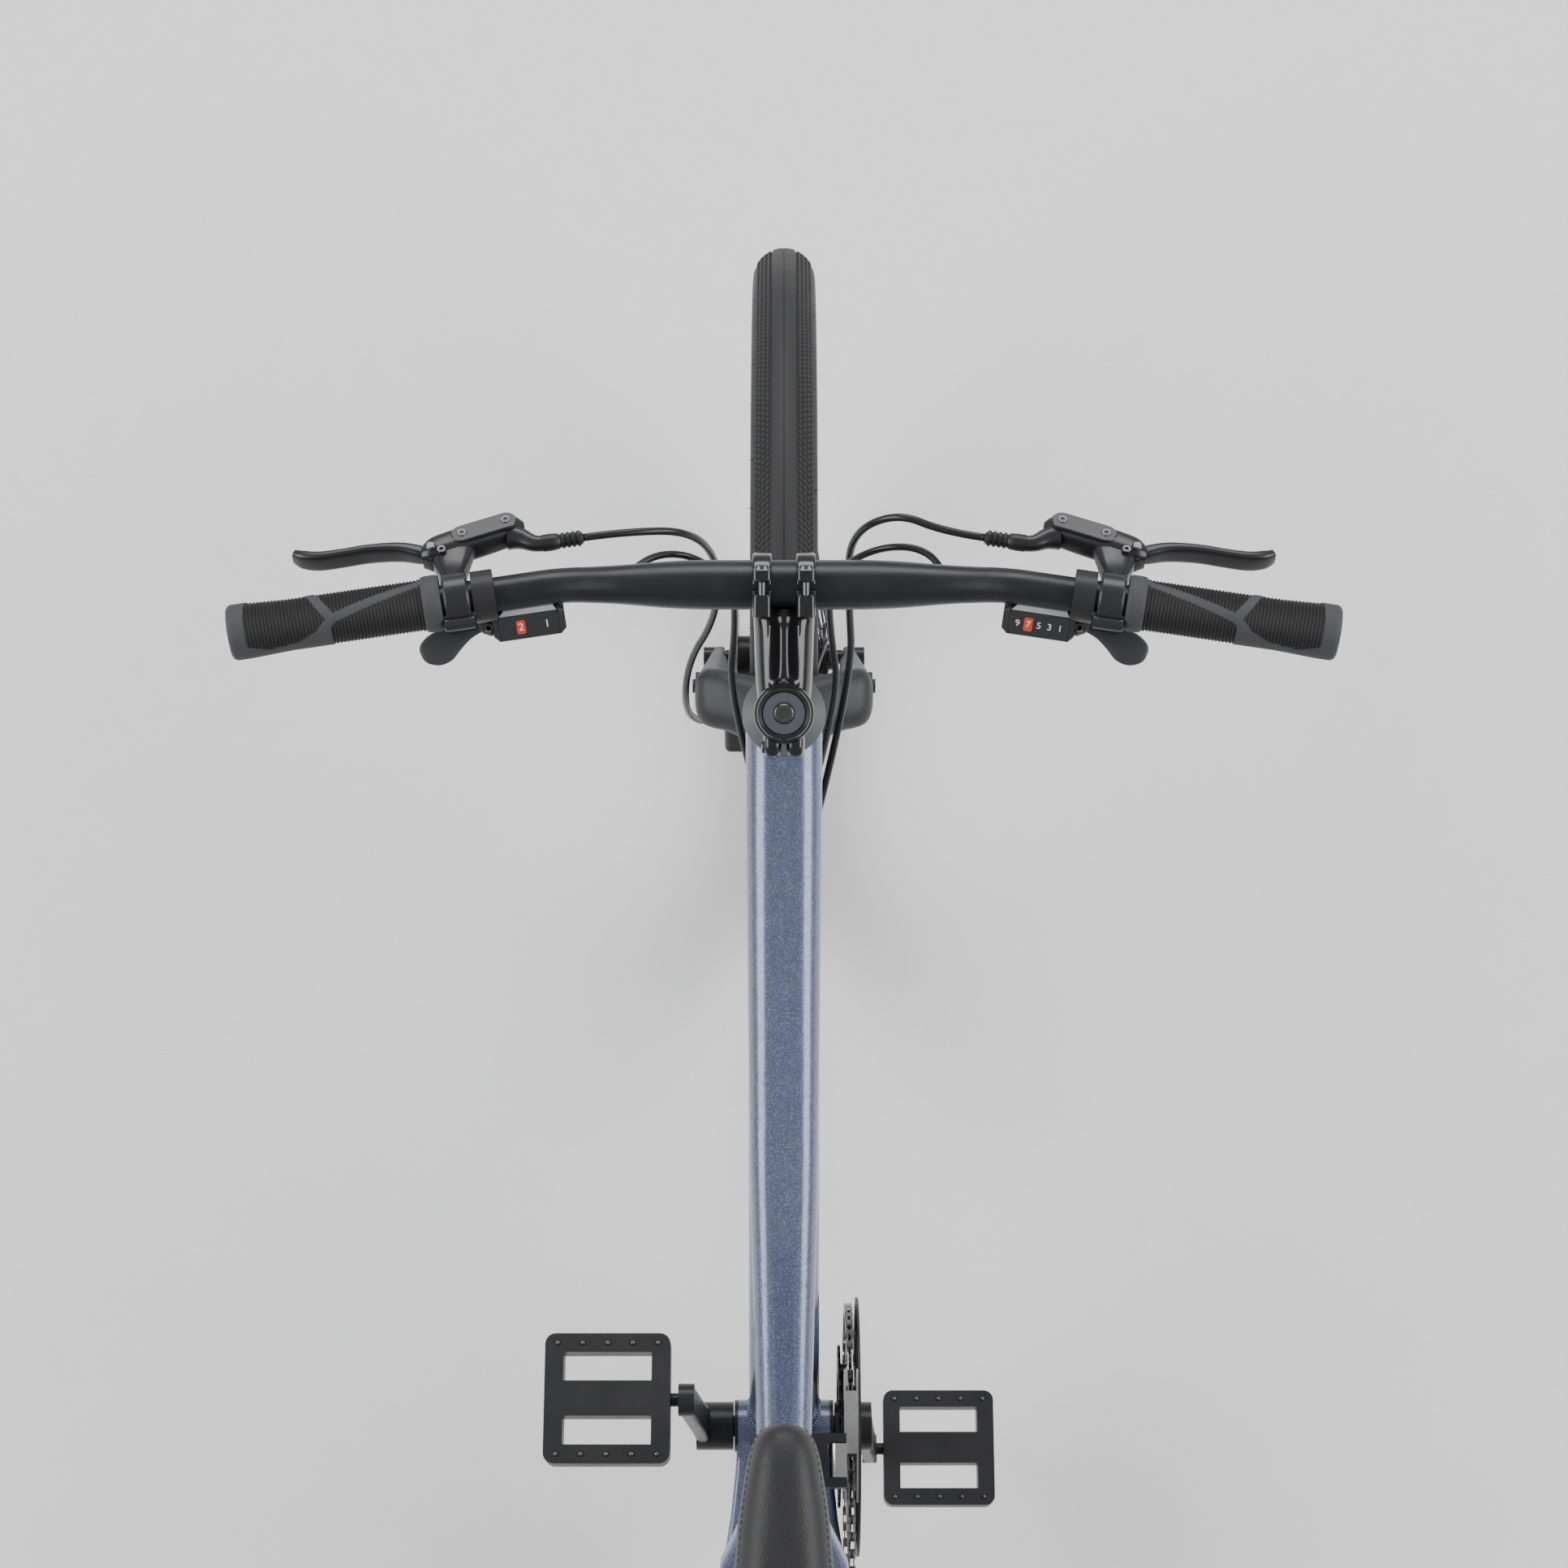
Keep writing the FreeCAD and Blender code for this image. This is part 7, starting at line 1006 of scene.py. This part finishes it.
def sheath_tube(name, line, diameter):
    rows = []
    turns = [2 * math.pi * side / sheath_sides for side in range(sheath_sides)]
    across = Vector((0, 0, 1)).cross(line[1] - line[0]).normalized()
    for index, point in enumerate(line):
        run = (line[min(index + 1, len(line) - 1)] - line[max(index - 1, 0)]).normalized()
        across = (across - run * across.dot(run)).normalized()
        over = run.cross(across)
        rows.append([point + (across * math.cos(turn) + over * math.sin(turn)) * diameter / 2
                     for turn in turns])
    points, faces = skin(rows)
    mesh = bpy.data.meshes.new(name)
    mesh.from_pydata(points, [], faces)
    mesh.materials.append(sheath)
    for face in mesh.polygons:
        face.use_smooth = True
    return show(name, mesh)


# Each sheath: the solid that it stands for, its diameter and length, and the points that guide its curve.
routes = {
    "front_brake_hose_sheath": ("front_brake_hose", 0.0052, 0.645, (
        (.3871, .1287, .9574), (.3913, .103, .957), (.401, .0587, .936), (.4061, .0431, .8646),
        (.4001, .0483, .7783), (.3948, .069, .7106), (.3842, .0742, .6372), (.4032, .0656, .5525),
        (.441, .0552, .4561), (.489, .0335, .4247), (.4785, .0335, .3966))),
    "rear_brake_hose_sheath": ("rear_brake_hose", 0.0052, 0.383, (
        (.3871, -.1287, .9574), (.3913, -.103, .957), (.4027, -.0725, .9622), (.4017, -.0431, .9289),
        (.3876, -.0431, .8654), (.3565, -.0483, .7775), (.2656, -.019, .6877))),
    "right_gear_housing": ("gear_cables", 0.0048, 0.346, (
        (.3552, -.1326, .9457), (.3594, -.107, .9453), (.385, -.0932, .945), (.3889, -.0604, .939),
        (.3865, -.0293, .8943), (.3678, -.0311, .8437), (.3354, -.0386, .7956), (.2945, -.019, .7054))),
    "left_gear_housing": ("gear_cables", 0.0048, 0.336, (
        (.3552, .1326, .9457), (.3594, .107, .9453), (.3841, .0863, .9373), (.3869, .0587, .9292),
        (.3839, .0345, .886), (.3734, .0328, .8384), (.3421, .0386, .787), (.2945, .019, .7054))),
    "rear_brake_tail": ("rear_cable_tails", 0.0052, 0.152, (
        (-.4753, .0455, .393), (-.4782, .0455, .4026), (-.4315, .0531, .408), (-.3763, .0607, .3746),
        (-.3878, .0607, .3286))),
    "rear_gear_tail": ("rear_cable_tails", 0.0048, 0.248, (
        (-.475, -.074, .3336), (-.487, -.083, .336), (-.548, -.0954, .366), (-.608, -.0854, .342),
        (-.5936, -.0716, .272), (-.54, -.0716, .272))),
}
for name, (cad_node, diameter, length, knots) in routes.items():
    line = laid_line(name + "_line", knots)
    tube = sheath_tube(name, line, diameter)
    if cad_node in ("rear_brake_hose", "gear_cables"):
        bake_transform(tube)
    else:
        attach(tube, "front_end" if cad_node == "front_brake_hose" else "frame")
    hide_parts(cad_node)


# Drivetrain. Black cranks, rings and guard, a steel cassette and chain, and plastic pulleys in a sprung
# steel cage. The chain is in two lengths: the links low in the cage, and the rest. The pedals are moulded
# platforms with steel studs pressed into both faces.
chain_steel = finish("chain_steel", (0.34, 0.33, 0.31), (0.2, 0.19, 0.18), 600, 0.28, 0.45, 0.1, 1.0)
dress(satin_black, "right_crank", "left_crank", "rear_derailleur", "front_derailleur_mount")
dress(bare_steel, "front_derailleur_cage", "rear_derailleur_cage")
dress(chain_steel, "cassette")
dress(black_plastic, "chainrings", "guide_pulley", "tension_pulley", "left_pedal", "right_pedal")
cage_front = -0.2
cage_top = 0.3
stud_inset = 7
stud_shares = (0.1, 0.3, 0.5, 0.7, 0.9)


def chain_part(name, hangs):
    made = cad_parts["chain"].data.copy()
    made.name = name
    work = bmesh.new()
    work.from_mesh(made)
    bmesh.ops.remove_doubles(work, verts=work.verts, dist=0.000001)
    left = set(work.verts)
    while left:
        link = [left.pop()]
        for corner in link:
            for edge in corner.link_edges:
                beyond = edge.other_vert(corner)
                if beyond in left:
                    left.discard(beyond)
                    link.append(beyond)
        middle = sum((corner.co for corner in link), Vector()) / len(link)
        if (middle.x < cage_front and middle.z < cage_top) != hangs:
            bmesh.ops.delete(work, geom=link, context="VERTS")
    work.to_mesh(made)
    work.free()
    made.materials.clear()
    made.materials.append(chain_steel)
    result = show(name, made)
    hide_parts("chain")
    return result


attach(chain_part("chain_on_rings", False), "frame")
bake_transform(chain_part("chain_in_cage", True))
# A spacing longer than the path leaves one stud at each of its ends, on the upper and on the lower face.
for side in ("left", "right"):
    low, high = (Vector(corner) * 1000 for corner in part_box(side + "_pedal"))
    studs = [[Vector((x, low.y + (high.y - low.y) * share, z)) for z in (low.z, high.z)]
             for x in (low.x + stud_inset, high.x - stud_inset) for share in stud_shares]
    grown(side + "_pedal_studs", path_mesh(side + "_stud_paths", studs, closed=False), beads_on_path,
          {"Spacing": 1.0, "Size": (0.0042, 0.0042, 0.004), "Finish": dark_screw}, side + "_pedal")


# Seat. A black alloy post with a clamp for the rails, a moulded shell, and a foam pad under stretched vinyl
# with a line of stitches along each edge.
def make_vinyl():
    made = finish("saddle_vinyl", (0.02, 0.02, 0.021), (0.013, 0.013, 0.014), 700, 0.42, 0.56, 0.1)
    tree = made.node_tree
    cells = node(tree, "ShaderNodeTexVoronoi", {"Scale": 620}, feature="SMOOTH_F1")
    creases = node(tree, "ShaderNodeBump", {"Strength": 0.35, "Distance": 0.0005})
    wire(tree.nodes["Texture Coordinate"], "Object", cells, "Vector")
    wire(cells, "Distance", creases, "Height")
    wire(tree.nodes["Bump"], "Normal", creases, "Normal")
    wire(creases, "Normal", tree.nodes["Principled BSDF"], "Normal")
    return made


saddle_vinyl = make_vinyl()
stitch_thread = finish("stitch_thread", (0.05, 0.05, 0.052), (0.03, 0.03, 0.032), 1500, 0.6, 0.75, 0.2)
dress(satin_black, "seatpost")
# Each row of the saddle: place along the bike, half width, lower edge and crown.
saddle_rows = fair([
    (-445.9, 40, 952, 974), (-443, 55, 950, 983), (-434, 68, 948.6, 988.4), (-418.7, 78, 946.5, 988),
    (-391.5, 79.2, 943, 985), (-350.7, 66.4, 937.4, 979), (-309.9, 45, 935.8, 977),
    (-269.1, 31.4, 935.6, 976.8), (-228.3, 26.8, 936.9, 978), (-201.1, 22.8, 936, 977),
    (-185, 19, 934.2, 973.6), (-177, 13.6, 934.4, 967.4), (-173.9, 7, 938, 957)], 5)
pad_sides = 56
channel_depth = 3.2
channel_half = 9
channel_front = -230
channel_back = -440
front_fade = 60
back_fade = 30
under_rise = 8
shell_rise = 6
shell_height = 9
shell_share = 0.985
narrow_half = 30
seam_step = 4
seam_rows = slice(8, -6)


def share_between(value):
    return max(0, min(1, value))


saddle_rings = []
for x, half, low, high in saddle_rows:
    row = []
    for step in range(pad_sides):
        across = math.cos(2 * math.pi * step / pad_sides)
        up = math.sin(2 * math.pi * step / pad_sides)
        y = math.copysign(abs(across) ** 0.8, across) * half
        if up >= 0:
            fade = share_between((channel_front - x) / front_fade)
            fade *= share_between((x - channel_back) / back_fade)
            z = low + (high - low) * up ** 0.62 - channel_depth * math.exp(-(y / channel_half) ** 2) * fade
        else:
            z = low + under_rise * (1 - (y / half) ** 2) * min(1, half / narrow_half)
        row.append(Vector((x, y, z)))
    saddle_rings.append(row)
pad = piece("saddle_cover", skin(saddle_rings), saddle_vinyl, "seat", ["saddle_pad"],
            crease=70)
shell_rings = []
for x, half, low, high in saddle_rows:
    row = ring(along_x(x, 0, low), 2 * half * shell_share, shell_height, power=5, count=pad_sides)
    rise = shell_rise * min(1, half / narrow_half)
    shell_rings.append([point + Vector((0, 0, rise * (1 - (point.y / half) ** 2) - 1)) for point in row])
piece("saddle_base", skin(shell_rings), black_plastic, "seat", ["saddle_shell"], crease=50)
seams = [[row[place] for row in saddle_rings[seam_rows]] for place in (seam_step, pad_sides // 2 - seam_step)]
grown("saddle_stitches", path_mesh("stitch_paths", seams, closed=False), beads_on_path,
      {"Spacing": 0.0042, "Size": (0.0011, 0.0011, 0.003), "Finish": stitch_thread}, "seat")
